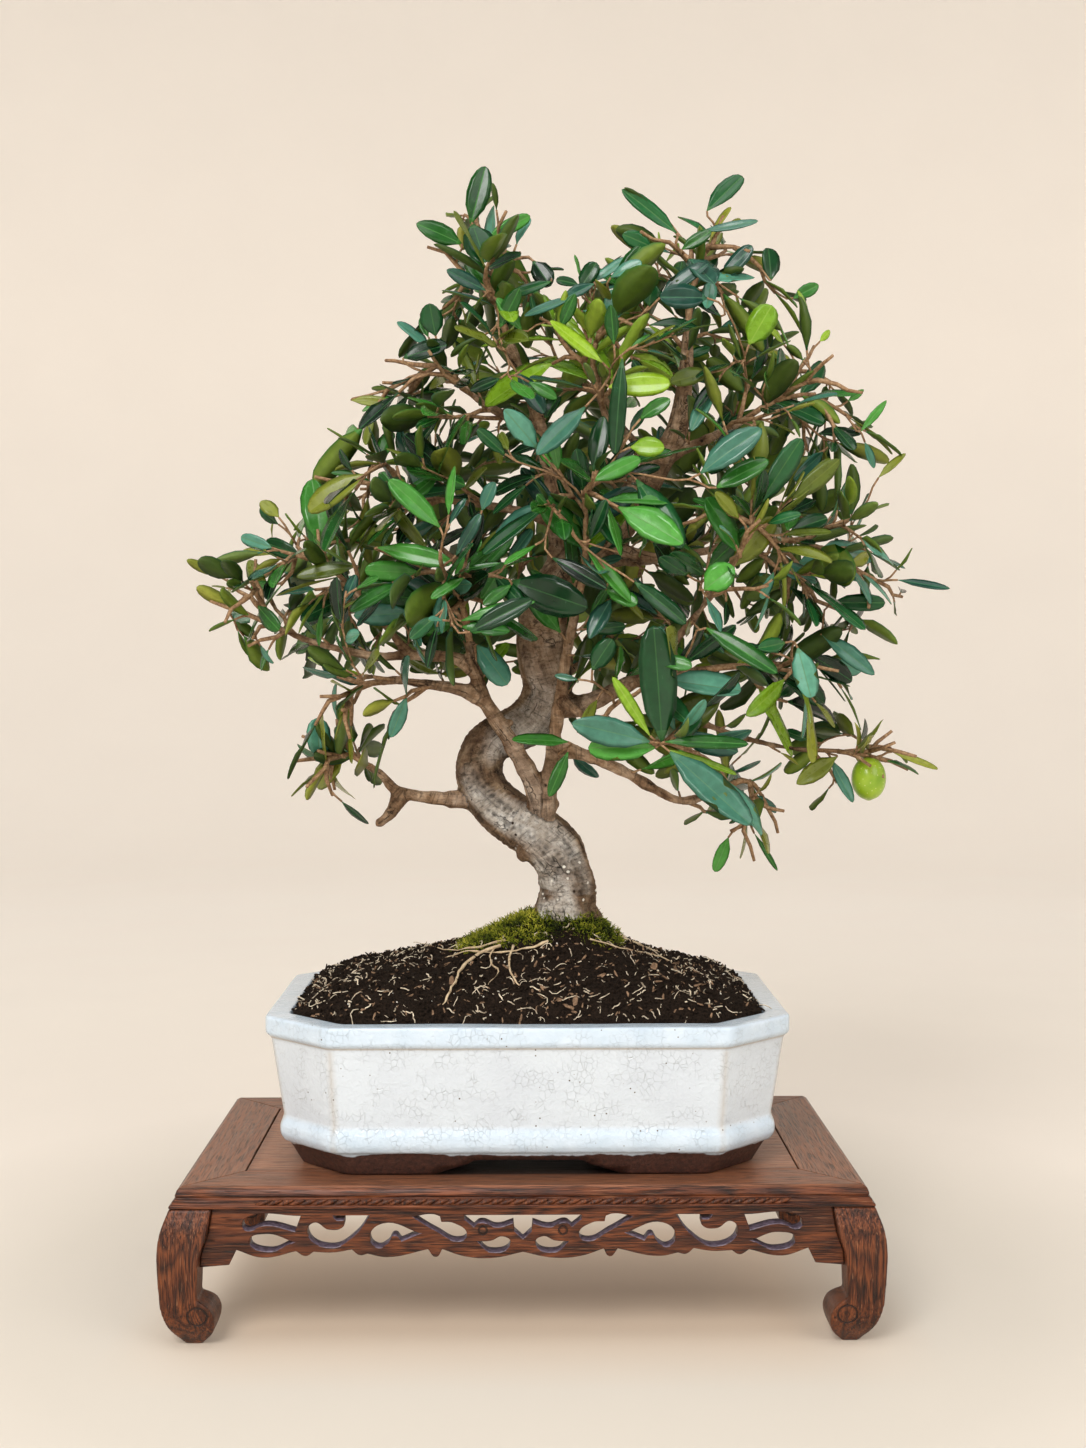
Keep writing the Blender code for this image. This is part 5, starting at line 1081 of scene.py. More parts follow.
def make_bark(limbs):
    """Trunk and boughs in one skin: swollen forks, flutes along the limbs, wrinkles in the bends and pits."""
    spots = []
    faces = []
    for name, (path, girth) in limbs.items():
        sides, flare = 14, 0.35
        if name == "trunk":  # it goes on down into the soil, a little wider
            sides, flare = 24, 0.0
            path = [path[0] + Vector((0.0, 0.0, drop)) for drop in (-0.014, -0.007)] + path
            girth = [girth[0] * 1.22, girth[0] * 1.12] + girth
        add_part(spots, faces, limb_skin(path, girth, sides, flare))
    for (x, y, z), radius, stretch in KNOTS:
        ball = bmesh.new()
        bmesh.ops.create_icosphere(ball, subdivisions=2, radius=radius * MM)
        bmesh.ops.scale(ball, verts=ball.verts, vec=stretch)
        bmesh.ops.translate(ball, verts=ball.verts, vec=at(x, y, z))
        add_part(spots, faces, ([vert.co.copy() for vert in ball.verts],
                                [[vert.index for vert in face.verts] for face in ball.faces]))
        ball.free()
    skin = helper(from_arrays("skin", spots, faces))
    mesh = settled(skin, REMESH={"mode": "VOXEL", "voxel_size": BARK_VOXEL * MM, "use_smooth_shade": True})
    capsules = limb_capsules(limbs)
    chosen, outward = nearest_limb(places_of(mesh), capsules)
    radii = capsules[2][chosen]
    eased(mesh, BARK_ROUNDS, np.clip(radii / 0.006, 0.15, 0.6))
    places = places_of(mesh)
    starts, ends, _, owners = capsules
    ways = (ends - starts)[chosen]
    ways /= np.linalg.norm(ways, axis=1)[:, None]
    chain = np.arange(len(starts)) * BARK_STEP * MM
    run = chain[chosen] + ((places - starts[chosen]) * ways).sum(axis=1)
    from_heart = np.maximum(np.linalg.norm(outward, axis=1), 1e-6)
    around = outward / from_heart[:, None] * radii[:, None]
    warped = around + np.outer(run, (0.16, 0.0, 0.0))
    flutes = noises(warped, 95.0, 1)
    ribs = noises(warped, 260.0, 2)
    lumps = noises(places, 60.0, 3)
    grit = noises(places, 420.0, 4)
    folds = np.sin(run / 0.0042 * math.tau + 9.0 * noises(places, 90.0, 5)) * noises(places, 130.0, 7)
    turning = np.zeros(len(starts))
    for k in range(1, len(starts)):
        if owners[k] == owners[k - 1]:
            before, after = (run / np.linalg.norm(run) for run in (ends - starts)[k - 1 : k + 1])
            turning[k] = np.linalg.norm(after - before)
    bent = np.clip(np.convolve(turning, np.ones(5) / 5.0, "same")[chosen] / 0.16, 0.0, 1.0) ** 2
    thick = np.clip((radii - 0.004) / 0.010, 0.0, 1.0)
    lift = radii * (0.09 * flutes + 0.05 * lumps) + thick * 0.0006 * ribs
    lift += (0.00016 + 0.00022 * thick) * grit + bent * thick * 0.0005 * folds
    put_places(mesh, places + places_of(mesh, "normal") * lift[:, None])
    # relief follows the same noises that shape the skin; the finish darkens its hollows as painted shade
    relief = 0.5 + 0.5 * (0.5 * flutes + 0.35 * ribs * thick + 0.35 * grit + 0.4 * bent * thick * folds)
    # The bark's silver share is partly random panels and partly painted light: bark that faces front or back
    # is painted more silver, and the flanks browner as painted shade.
    facing = np.abs(outward[:, 1]) / from_heart
    panel = 0.5 + 0.6 * noises(around + np.outer(run, (0.35, 0.0, 0.0)), 55.0, 12)
    put_values(mesh, "panel", np.clip(panel + 0.8 * (facing - 0.66), 0.0, 1.0))
    put_values(mesh, "relief", np.clip(relief, 0.0, 1.0))
    put_values(mesh, "girth", radii)
    put_vectors(mesh, "along", warped)
    put_vectors(mesh, "around", around * 0.25 + np.outer(run, (0.0, 0.0, 1.0)))
    names = ["trunk"] + [bough[0] for bough in BOUGHS]
    return finish_piece("bark", mesh, [bark_finish()], names)


# ---------------------------------------------------------------- twigs and leaves
def bend(start, heading, end, step):
    """Points of a twig that leaves along the heading and curves to its end."""
    span = (end - start).length
    knee = start + heading * span * TWIG_KNEE
    steps = max(2, round(span / (step * MM)))
    points = []
    for k in range(steps + 1):
        points.append(bowed(start, knee, end, k / steps))
    return points


def fork_cost(fork, target):
    """How far a fork is from a target, with turning back counted as farther."""
    place, heading = fork[:2]
    run = target - place
    return run.length * (TURNING_COST - heading.dot(run.normalized()))


def places_along(points, spacing):
    """Places along a line of points, the given distance apart, with the heading there."""
    places = []
    for first, second in zip(points[:-1], points[1:]):
        run = second - first
        steps = max(1, round(run.length / spacing))
        places += [(first + run * (k + 1) / steps, run.normalized()) for k in range(steps)]
    return places


def egg_spot(middle, reach, height, turn, share):
    """A place in an egg-shaped space by its height and turn, the given share of the way out."""
    ring = math.sqrt(max(0.0, 1.0 - height * height))
    return at(middle[0] + reach[0] * ring * math.cos(turn) * share,
              middle[1] + reach[1] * ring * math.sin(turn) * share,
              middle[2] + reach[2] * height * share)


def seeded_tips(rng, middle, reach, count):
    """Tips spread over the outer part of a mass's egg-shaped space, inside the crown."""
    tips = []
    for k in range(count):
        height = 1.0 - 2.0 * (k + rng.random()) / count
        turn = k * math.pi * (3.0 - math.sqrt(5.0)) + rng.uniform(-0.3, 0.3)
        tips.append(egg_spot(middle, reach, height, turn, rng.uniform(*TIP_SHARE)))
    rng.shuffle(tips)
    return [tip for tip in tips if crown_holds(tip)]


def crown_holds(place):
    """Whether a place lies inside the crown's outline, drawn in for its depth."""
    heart = at(*CROWN_HEART)
    depth = (place.y - heart.y) / (CROWN_DEPTH * MM)
    if abs(depth) >= 1.0:
        return False
    share = math.sqrt(1.0 - depth * depth)
    x = CROWN_HEART[0] + (place.x - heart.x) / share / MM
    z = CROWN_HEART[2] + (place.z - heart.z) / share / MM
    inside = False
    for (x1, z1), (x2, z2) in zip(CROWN_OUTLINE, CROWN_OUTLINE[1:] + CROWN_OUTLINE[:1]):
        if (z1 > z) != (z2 > z) and x < x1 + (x2 - x1) * (z - z1) / (z2 - z1):
            inside = not inside
    return inside


def blade_across(rng, root, direction):
    """The way across a blade that turns its face out of the crown and up."""
    facing = (root - at(*CROWN_HEART)).normalized() + Vector((0.0, 0.0, LEAF_LIFT))
    return Quaternion(direction, rng.gauss(0.0, LEAF_ROLL)) @ facing.cross(direction).normalized()


def stem_course(start, heading, middle, overshoot):
    """A mass's stem: straight out of its limb's tip, then on through the middle of the mass."""
    knee = start + heading * STEM_LENGTH * MM
    onward = at(*middle) - knee
    if onward.length < STEM_LENGTH * MM:
        return [start, knee]
    return [start] + bend(knee, heading, knee + onward * (1.0 + overshoot), TWIG_STEP)


class Growth:
    """The twigs and leaves of one mass, grown one twig at a time inside the crown."""

    def __init__(self, mass, home, capsules, crowd):
        self.mass = mass
        self.rng = random.Random(GROWTH_SEED + home)
        self.capsules = capsules
        self.scale = MM * (SMALL_LEAVES if sum(mass[3]) / 3.0 < SMALL_MASS else 1.0)
        self.crowd = crowd
        self.twigs = []
        self.leaves = []
        self.forks = []
        self.counted = 0

    def leaf(self, root, heading, length):
        """A leaf that has room: not through a limb, and not on top of its neighbours."""
        across = blade_across(self.rng, root, heading)
        breadth = length * self.rng.uniform(*LEAF_SLIMNESS)
        middle = root + heading * length * 0.55
        points = np.array([root + heading * length * share for share in (0.3, 0.6, 1.0)])
        if not self.crowd.has_room(middle) or self.crowd.screens(middle):
            return False
        if limb_clearance(points, self.capsules) < LEAF_CLEARANCE:
            return False
        self.crowd.add(middle)
        self.leaves.append((root, heading, across, length, breadth))
        return True

    def dress(self, points, end_length, bare=0.0):
        """An end leaf, and opposite pairs behind it, each pair turned across the last."""
        heading = (points[-1] - points[-2]).normalized()
        spin = self.rng.uniform(0.0, math.pi)
        grown = self.leaf(points[-1], heading, end_length)
        course = list(reversed(places_along(points, PAIR_SPACING * MM)))
        for pair, (place, way) in enumerate(course[1:]):
            if pair >= PAIRS_PER_TWIG or (place - points[0]).length < bare:
                break
            outward = way.orthogonal().normalized()
            for side in (0.0, math.pi):
                if self.rng.random() < MISSING_LEAF:
                    continue
                turn = spin + pair * PAIR_TURN + side + self.rng.uniform(-0.25, 0.25)
                leaving = Quaternion(way, turn) @ outward
                angle = math.radians(self.rng.uniform(*LEAF_OPENING))
                direction = (way * math.cos(angle) + leaving * math.sin(angle)).normalized()
                length = self.rng.uniform(*LEAF_LENGTH) * self.scale * (1.0 if pair else 0.85)
                if crown_holds(place + direction * length):
                    grown = self.leaf(place, direction, length) or grown
        return grown

    def grow_twig(self, points, radii, end_length, is_stem=False, skipped=None):
        """Adds a twig with its leaves, and its forks for those that follow."""
        places = np.array([place for place, _ in places_along(points, TWIG_CHECK * MM)])
        places = places[1:] if len(places) > 2 else places
        if limb_clearance(places, self.capsules, skipped) < TWIG_CLEARANCE:
            return False
        if not self.dress(points, end_length, BARE_TWIG) and not is_stem:
            return False
        self.twigs.append((points, radii))
        self.add_forks(points, radii)
        return True

    def add_forks(self, points, radii):
        """Forks along a twig, each with its place, its heading and the girth there."""
        course = places_along(points, FORK_STEP * MM)
        for k, (place, way) in enumerate(course[:-1]):
            girth = radii[0] + (radii[1] - radii[0]) * (k + 1) / len(course)
            self.forks.append((place, way, girth, None))

    def use_up(self, fork):
        """Takes a fork that has its twig off the free ones."""
        self.forks.remove(fork)
        self.counted = 0

    def bud_limb(self, path):
        """Forks along the outer part of the mass's own limb."""
        for k in range(int(len(path) * BARE_LIMB), len(path) - 1, 2):
            way = (path[k + 1] - path[k]).normalized()
            lean = Quaternion(way, self.rng.uniform(0.0, math.tau)) @ way.orthogonal().normalized()
            self.forks.append((path[k], (way + lean * 0.8).normalized(), LIMB_TWIG * MM, self.mass[1]))

    def handiest(self, target):
        """The free fork from which a twig to the target is shortest and turns least."""
        if not self.forks:
            return None
        if len(self.forks) != self.counted:
            self.fork_places = np.array([fork[0] for fork in self.forks])
            self.fork_ways = np.array([fork[1] for fork in self.forks])
            self.counted = len(self.forks)
        runs = np.array(target) - self.fork_places
        lengths = np.linalg.norm(runs, axis=1)
        turning = (self.fork_ways * runs).sum(axis=1) / np.maximum(lengths, 1e-6)
        return self.forks[int((lengths * (TURNING_COST - turning)).argmin())]

    def reach_for(self, target, farthest=FARTHEST_TWIG):
        """Grows a twig from the handiest fork, with the end leaf's point on the target."""
        fork = self.handiest(target)
        if fork is None:
            return
        run = target - fork[0]
        length = min(self.rng.uniform(*LEAF_LENGTH) * self.scale, run.length - SHORTEST_TWIG * MM)
        if length < 0.5 * LEAF_LENGTH[0] * MM or run.length > farthest:
            return
        end = target - run.normalized() * length
        points = bend(fork[0], (fork[1] + run.normalized()).normalized(), end, TWIG_STEP)
        root = max(FORK_THINNING * fork[2], TWIG_RADIUS[1] * MM)
        if self.grow_twig(points, (root, TWIG_RADIUS[1] * MM), length, False, fork[3]):
            self.use_up(fork)

    def frame_out(self):
        """Bare side branches through the mass's space, which carry most of its twigs."""
        middle, reach = self.mass[2:4]
        for k in range(FRAME_TWIGS):
            height = 1.0 - 2.0 * (k + self.rng.random()) / FRAME_TWIGS
            turn = k * 2.4 + self.rng.uniform(-0.4, 0.4)
            target = egg_spot(middle, reach, height, turn, self.rng.uniform(*FRAME_SHARE))
            fork = self.handiest(target)
            run = target - fork[0]
            if not crown_holds(target) or not FRAME_RUN[0] < run.length < FRAME_RUN[1]:
                continue
            points = bend(fork[0], (fork[1] + run.normalized()).normalized(), target, TWIG_STEP)
            jog = self.rng.uniform(0.0, math.tau)
            for n in range(1, len(points) - 1):
                kink = (math.cos(jog + 2.1 * n), math.sin(jog + 1.7 * n), math.sin(jog + n))
                points[n] += Vector(kink) * FRAME_KINK
            places = np.array([place for place, _ in places_along(points, TWIG_CHECK * MM)])
            if limb_clearance(places, self.capsules, fork[3]) < LEAF_CLEARANCE:
                continue
            radii = (min(FRAME_RADIUS[0] * MM, 0.9 * fork[2] + 0.0004), FRAME_RADIUS[1] * MM)
            self.twigs.append((points, radii))
            length = self.rng.uniform(*LEAF_LENGTH) * self.scale
            if crown_holds(target + (points[-1] - points[-2]).normalized() * length):
                self.dress(points, length, 0.6 * run.length)
            self.add_forks(points, radii)
            self.use_up(fork)

    def show(self, root, tip, breadth):
        """Grows a bare twig to a leaf that has its own place."""
        fork = self.handiest(root)
        run = root - fork[0]
        way = (tip - root).normalized()
        knee = fork[0] + (fork[1] + run.normalized()).normalized() * run.length * TWIG_KNEE
        bow = root - way * run.length * 0.3
        steps = max(3, round(run.length / (TWIG_STEP * MM)))
        points = []
        for k in range(steps + 1):
            t = k / steps
            points.append(fork[0] * (1 - t) ** 3 + knee * 3 * t * (1 - t) ** 2
                          + bow * 3 * t * t * (1 - t) + root * t**3)
        facing = Vector((self.rng.uniform(-0.25, 0.25), -1.0, self.rng.uniform(0.1, 0.6)))
        across = facing.cross(way).normalized()
        self.twigs.append((points, (max(FORK_THINNING * fork[2], TWIG_RADIUS[1] * MM),
                                    TWIG_RADIUS[1] * MM)))
        for place, heading in places_along(points, FORK_STEP * MM)[:-2]:
            self.forks.append((place, heading, TWIG_RADIUS[1] * 1.2 * MM, None))
        self.use_up(fork)
        for share in (0.55, 0.25, 0.85):
            self.crowd.add(root.lerp(tip, share))
        return (root, way, across, (tip - root).length, breadth)


class Crowd:
    """Where leaves already are, on a grid, so that a new one can be kept off them."""

    def __init__(self, spacing):
        self.spacing = spacing
        self.grid = {}
        self.shown = []

    def screens(self, place):
        """Whether a leaf there would hang in front of one that has its own place."""
        for start, end in self.shown:
            if place.y > max(start.y, end.y):
                continue
            flat = Vector((place.x, place.z))
            a, b = Vector((start.x, start.z)), Vector((end.x, end.z))
            t = min(1.0, max(0.0, (flat - a).dot(b - a) / (b - a).length_squared))
            if (flat - a.lerp(b, t)).length < SCREEN_ROOM * MM:
                return True
        return any(
            place.y < at(0, y, 0).y and math.hypot(place.x - at(x, 0, 0).x, place.z - z * MM) < reach * MM
            for x, y, z, reach in WINDOWS
        )

    def key(self, place):
        return tuple(int(math.floor(value / self.spacing)) for value in place)

    def has_room(self, place, room=None):
        room = room or self.spacing
        span = range(-math.ceil(room / self.spacing), math.ceil(room / self.spacing) + 1)
        i, j, k = self.key(place)
        return all(
            (other - place).length >= room
            for a, b, c in itertools.product(span, repeat=3)
            for other in self.grid.get((i + a, j + b, k + c), ())
        )

    def add(self, place):
        self.grid.setdefault(self.key(place), []).append(place)


def sprout(mass, home, limbs, capsules, crowd):
    """A mass's stem, from its limb's tip on through the middle of the mass."""
    growth = Growth(mass, home, capsules, crowd)
    path, girth = limbs[mass[1]]
    heading = (path[-1] - path[-2]).normalized()
    start = path[-1] - heading * 0.002
    radii = (min(STEM_RADIUS[0] * MM, 0.95 * girth[-1]), STEM_RADIUS[1] * MM)
    for overshoot in STEM_OVERSHOOTS:
        course = stem_course(start, heading, mass[2], overshoot)
        if growth.grow_twig(course, radii, LEAF_LENGTH[0] * growth.scale, True, mass[1]):
            break
    growth.bud_limb(path)
    growth.frame_out()
    return growth


def branch_out(growth):
    """Forks a mass's stem toward the tips to be reached and then toward seeded ones."""
    mass = growth.mass
    start = growth.twigs[0][0][0]
    for target in sorted([at(*tip) for tip in mass[5]], key=lambda tip: (tip - start).length):
        growth.reach_for(target)
    wanted = LEAVES_PER_COUNT * mass[4] * FULLNESS.get(mass[0], 1.0)
    for target in seeded_tips(growth.rng, mass[2], mass[3], TWIGS_TRIED * mass[4]):
        if len(growth.leaves) < wanted:
            growth.reach_for(target)


def in_opening(place):
    """Whether a place lies in one of the openings through the crown."""
    return any(
        math.hypot(place.x - at(x, 0, z).x, place.z - z * MM) < reach * MM for x, z, reach in OPENINGS
    )


def fill_gaps(growths, crowd):
    """Grows a twig toward each empty part of the crown, from whichever mass has the handiest fork."""
    rng = random.Random(GROWTH_SEED + 100)
    heart = at(*CROWN_HEART)
    targets = []
    for cell in itertools.product(*GAP_CELLS):
        jitter = Vector([rng.uniform(-0.4, 0.4) for _ in range(3)])
        targets.append(heart + (Vector(cell) + jitter) * GAP_STEP * MM)
    targets = [target for target in targets if crown_holds(target)]
    rng.shuffle(targets)
    for target in targets:
        if crown_holds(heart + (target - heart) * DEEP_SHARE) and rng.random() > DEEP_KEPT:
            continue
        if target.z < AIRY_BELOW * MM and rng.random() > AIRY_KEPT:
            continue
        if not crown_holds(heart + (target - heart) * EDGE_SHARE) and rng.random() > EDGE_KEPT:
            continue
        if in_opening(target) or not crowd.has_room(target, GAP_SIZE * MM):
            continue
        options = []
        for growth in growths:
            fork = growth.handiest(target)
            if fork is not None:
                options.append((fork_cost(fork, target), growth))
        if options:
            min(options, key=lambda option: option[0])[1].reach_for(target, FILL_REACH * MM)


# One blade: shares of its length, and its half breadth there when it is slim and when it is round.
BLADE_STATIONS = [
    (0.0, 0.06, 0.07), (0.10, 0.26, 0.36), (0.28, 0.78, 0.86), (0.50, 1.0, 1.0), (0.72, 0.88, 0.98),
    (0.88, 0.54, 0.78), (0.965, 0.24, 0.46),
]
SHADE_HEART = PLANT + Vector((0.0, 0.0, 0.47))  # leaves near it are darker
RIB_HALF = 0.00035
BLADE_THICK = 0.00035


def blade_places(root, heading, across, length, breadth, round_share, fold, droop, twist, wave):
    """The points of one leaf: seven rings of seven round its flat section, then its tip."""
    up = heading.cross(across).normalized()
    spots = []
    for share, slim, full in BLADE_STATIONS:
        half = (slim + (full - slim) * round_share) * breadth / 2.0
        turn = Quaternion(heading, twist * share)
        side = turn @ across
        rise = turn @ up
        sag = -droop * length * share * share
        heart = root + heading * length * (share - 0.12 * droop * share**3) + up * sag
        rib = min(RIB_HALF, half * 0.5)
        lift = fold * half
        ripple = wave * half * math.sin(9.0 * share)
        for offset, raised in (
            (-half, lift + ripple), (-half * 0.55, 0.6 * (lift + ripple) + half * 0.03),
            (-rib, 0.0), (rib, 0.0),
            (half * 0.55, 0.6 * (lift - ripple) + half * 0.03), (half, lift - ripple),
            (0.0, -BLADE_THICK - rib * 0.6),
        ):
            spots.append(heart + side * offset + rise * raised)
    spots.append(root + heading * length * (1.0 - 0.12 * droop) - up * droop * length)
    return spots


def blade_faces():
    """Faces of one leaf and their finish: 0 upper face, 1 under face, 2 rib."""
    kinds = (0, 0, 2, 0, 0, 1, 1)
    last = len(BLADE_STATIONS) - 1
    faces = []
    slots = []
    for k in range(last):
        for s in range(7):
            t = (s + 1) % 7
            faces.append((k * 7 + s, (k + 1) * 7 + s, (k + 1) * 7 + t, k * 7 + t))
            slots.append(kinds[s] if k > 0 else 2)
    for s in range(7):
        faces.append((last * 7 + s, (last + 1) * 7, last * 7 + (s + 1) % 7))
        slots.append(kinds[s])
    faces.append(tuple(range(7)))
    slots.append(2)
    return faces, slots


def leaf_mesh(name, leaves, seed):
    """All the leaves of one tint as one mesh."""
    rng = random.Random(seed)
    pattern, pattern_slots = blade_faces()
    spots = []
    faces = []
    slots = []
    tones = []
    rims = []
    for root, heading, across, length, breadth in leaves:
        round_share = rng.random()
        fold = rng.uniform(0.05, 0.34)
        droop = rng.uniform(-0.02, 0.16)
        twist = rng.uniform(-0.5, 0.5)
        wave = rng.uniform(-0.12, 0.12)
        base = len(spots)
        blade = blade_places(root, heading, across, length, breadth, round_share, fold, droop, twist, wave)
        add_part(spots, faces, (blade, pattern))
        slots += pattern_slots
        # leaves toward the crown's heart get a lower tone: painted shade inside the crown
        inner = spots[base] - SHADE_HEART
        outward = math.sqrt((inner.x / 0.20) ** 2 + (inner.y / 0.125) ** 2 + (inner.z / 0.20) ** 2)
        tones += [rng.random() ** 1.2 * (0.3 + 0.75 * min(1.0, outward ** 1.5))] * (len(spots) - base)
        rims += [1.0, 0.0, 0.0, 0.0, 0.0, 1.0, 0.0] * len(BLADE_STATIONS) + [1.0]
    mesh = from_arrays(name, spots, faces, True, slots)
    put_values(mesh, "tone", tones)
    put_values(mesh, "rim", rims)
    return mesh


def twig_mesh(twigs):
    """All the twigs as one mesh of five-sided tubes that thin out to their tips."""
    spots = []
    faces = []
    for points, radii in twigs:
        steps = len(points) - 1
        girth = [radii[0] + (radii[1] - radii[0]) * k / steps for k in range(steps + 1)]
        add_part(spots, faces, tube_rings(points, girth, 5, 0.3))
    return from_arrays("twigs", spots, faces)


def spray_tint(place, rng):
    """The tint of a spray by where it grows: young green here and there, olive brown low down."""
    for (x, y, z), reach, name, share in TINTED_PLACES:
        if (place - at(x, y, z)).length < reach * MM and rng.random() < share:
            return name
    return rng.choices(list(TINT_SHARES), weights=list(TINT_SHARES.values()))[0]


def make_foliage(limbs):
    """The twigs and the leaves: the masses' stems, the set leaves, the masses' twigs, then the gaps."""
    capsules = limb_capsules(limbs)
    crowd = Crowd(LEAF_ROOM * MM)
    rng = random.Random(GROWTH_SEED)
    twigs = []
    sprays = {name: [] for name in LEAF_TINTS}
    growths = [sprout(mass, home, limbs, capsules, crowd) for home, mass in enumerate(MASSES)]
    crowd.shown = [(at(*root), at(*tip)) for root, tip, _, _ in SHOWN_LEAVES]
    for root, tip, breadth, name in SHOWN_LEAVES:
        target = at(*root)
        growth = min(growths, key=lambda option: fork_cost(option.handiest(target), target))
        sprays[name].append(growth.show(target, at(*tip), breadth * MM))
    for growth in growths:
        branch_out(growth)
    fill_gaps(growths, crowd)
    for growth in growths:
        twigs += growth.twigs
        by_patch = {}
        for leaf in growth.leaves:
            key = tuple(int(value / TINT_PATCH) for value in leaf[0])
            if key not in by_patch:
                by_patch[key] = spray_tint(leaf[0], rng)
            name = by_patch[key] if rng.random() < TINT_SHARED else spray_tint(leaf[0], rng)
            sprays[name].append(leaf)
    masses = ["foliage_" + mass[0] for mass in MASSES]
    for seed, (name, (upper, under, rib, gloss)) in enumerate(LEAF_TINTS.items()):
        finishes = [
            leaf_finish("leaf_" + name, *upper, rib[0], gloss, 0.12),
            leaf_finish("leaf_" + name + "_under", *under, rib[0], 0.5),
            leaf_finish("leaf_" + name + "_rib", *rib, rib[1], 0.4),
        ]
        mesh = leaf_mesh("leaves_" + name, sprays[name], seed)
        replaced = masses if seed == 0 else ()
        finish_piece("leaves_" + name, mesh, finishes, replaced)
    wood = Finish("twig_bark", roughness=0.7)
    grain = wood.noise(wood.place(), 500.0, 4.0, 0.6)
    colour = wood.ramp(grain, [(0.3, (104, 74, 48)), (0.5, (146, 112, 78)), (0.7, (178, 148, 112))])
    wood.done(colour, None, wood.bump(grain, 0.0003, 0.7))
    finish_piece("twigs", twig_mesh(twigs), [wood.material])


def make_fruit():
    """The one olive on its stalk, pointed a little at its foot, with a small calyx on top."""
    top = at(*FRUIT_HANG)
    rows = 18
    sides = 24
    spots = []
    for k in range(rows + 1):
        t = 0.02 + 0.96 * k / rows
        angle = math.pi * t
        depth = FRUIT_STALK + FRUIT_SIZE[1] * (1.0 - math.cos(angle)) / 2.0
        radius = FRUIT_SIZE[0] / 2.0 * math.sin(angle) ** 0.9
        if k == rows:
            depth += 0.5
        for s in range(sides):
            turn = math.tau * s / sides
            spots.append(top + Vector((math.cos(turn) * radius, math.sin(turn) * radius, -depth)) * MM)
    body = outward(from_arrays("fruit", spots, ring_faces(rows + 1, sides)))
    skin = Finish("fruit_skin", roughness=0.3, Coat_Weight=0.2)
    where = skin.place()
    cloud = skin.noise(where, 90.0, 3.0)
    colour = skin.ramp(cloud, [(0.3, (118, 156, 20)), (0.7, (160, 190, 44))])
    specks = skin.ramp(skin.cells(where, 420.0), [(0.10, 1.0), (0.2, 0.0)])
    colour = skin.mix(skin.times(specks, 0.55), colour, tint(218, 222, 150))
    skin.done(colour, None, skin.bump(specks, 0.0001, 0.4))
    finish_piece("fruit", body, [skin.material])
    stalk_top = top + Vector((-1.0, 0.0, 5.0)) * MM
    path = [stalk_top, top + Vector((-0.4, 0.0, 1.5)) * MM, top + Vector((0.0, 0.0, -FRUIT_STALK)) * MM]
    stalk = from_arrays("stalk", *tube_rings(path, [0.0012, 0.0011, 0.0019], 8))
    stem = Finish("stalk_green", roughness=0.6)
    tone = stem.noise(stem.place(), 500.0, 3.0)
    stem.done(stem.ramp(tone, [(0.3, (92, 92, 48)), (0.7, (124, 118, 66))]), None,
              stem.bump(tone, 0.0002, 0.6))
    finish_piece("fruit_stalk", stalk, [stem.material])


# ---------------------------------------------------------------- pot
CORNER_ROUND = 4.0
LIP_ROUND = 1.6
WALL_STEP = 6.0  # the rings round the wall lie about this far apart
CREASE_REACH = 3.0


def pot_outline(long_half, cut, height):
    """A ring round the pot: a rectangle with cut corners whose eight bends are eased."""
    deep_half = long_half - POT_SLIMNESS
    corners = [
        Vector((long_half, cut - deep_half)), Vector((long_half, deep_half - cut)),
        Vector((long_half - cut, deep_half)), Vector((cut - long_half, deep_half)),
        Vector((-long_half, deep_half - cut)), Vector((-long_half, cut - deep_half)),
        Vector((cut - long_half, -deep_half)), Vector((long_half - cut, -deep_half)),
    ]
    counts = [14, 6, 24, 6, 14, 6, 24, 6]
    ring = []
    for k in range(8):
        before, corner, after = corners[k - 1], corners[k], corners[(k + 1) % 8]
        start = corner + (before - corner).normalized() * CORNER_ROUND
        end = corner + (after - corner).normalized() * CORNER_ROUND
        for step in range(5):
            ring.append(bowed(start, corner, end, step / 4.0))
        onward = after + (corner - after).normalized() * CORNER_ROUND
        for step in range(1, counts[k]):
            ring.append(end.lerp(onward, step / counts[k]))
    return [at(POT_CENTRE[0] + spot.x, POT_CENTRE[1] + spot.y, height) for spot in ring]


def eased_sections(sections, reach):
    """Sections of the pot with each corner of the profile rounded over a short reach."""
    eased_list = [sections[0]]
    for before, here, after in zip(sections[:-2], sections[1:-1], sections[2:]):
        run_in = math.dist((before[0], before[2]), (here[0], here[2]))
        run_out = math.dist((after[0], after[2]), (here[0], here[2]))
        a = min(reach / run_in, 0.45)
        b = min(reach / run_out, 0.45)
        start = [here[i] + (before[i] - here[i]) * a for i in range(3)]
        end = [here[i] + (after[i] - here[i]) * b for i in range(3)]
        for t in (0.0, 0.33, 0.67, 1.0):
            eased_list.append(tuple(bowed(start[i], here[i], end[i], t) for i in range(3)))
    eased_list.append(sections[-1])
    filled = [eased_list[0]]
    for section in eased_list[1:]:
        gap = math.dist((filled[-1][0], filled[-1][2]), (section[0], section[2]))
        pieces = max(1, int(gap // WALL_STEP))
        last = filled[-1]
        for k in range(1, pieces + 1):
            filled.append(tuple(last[i] + (section[i] - last[i]) * k / pieces for i in range(3)))
    return filled


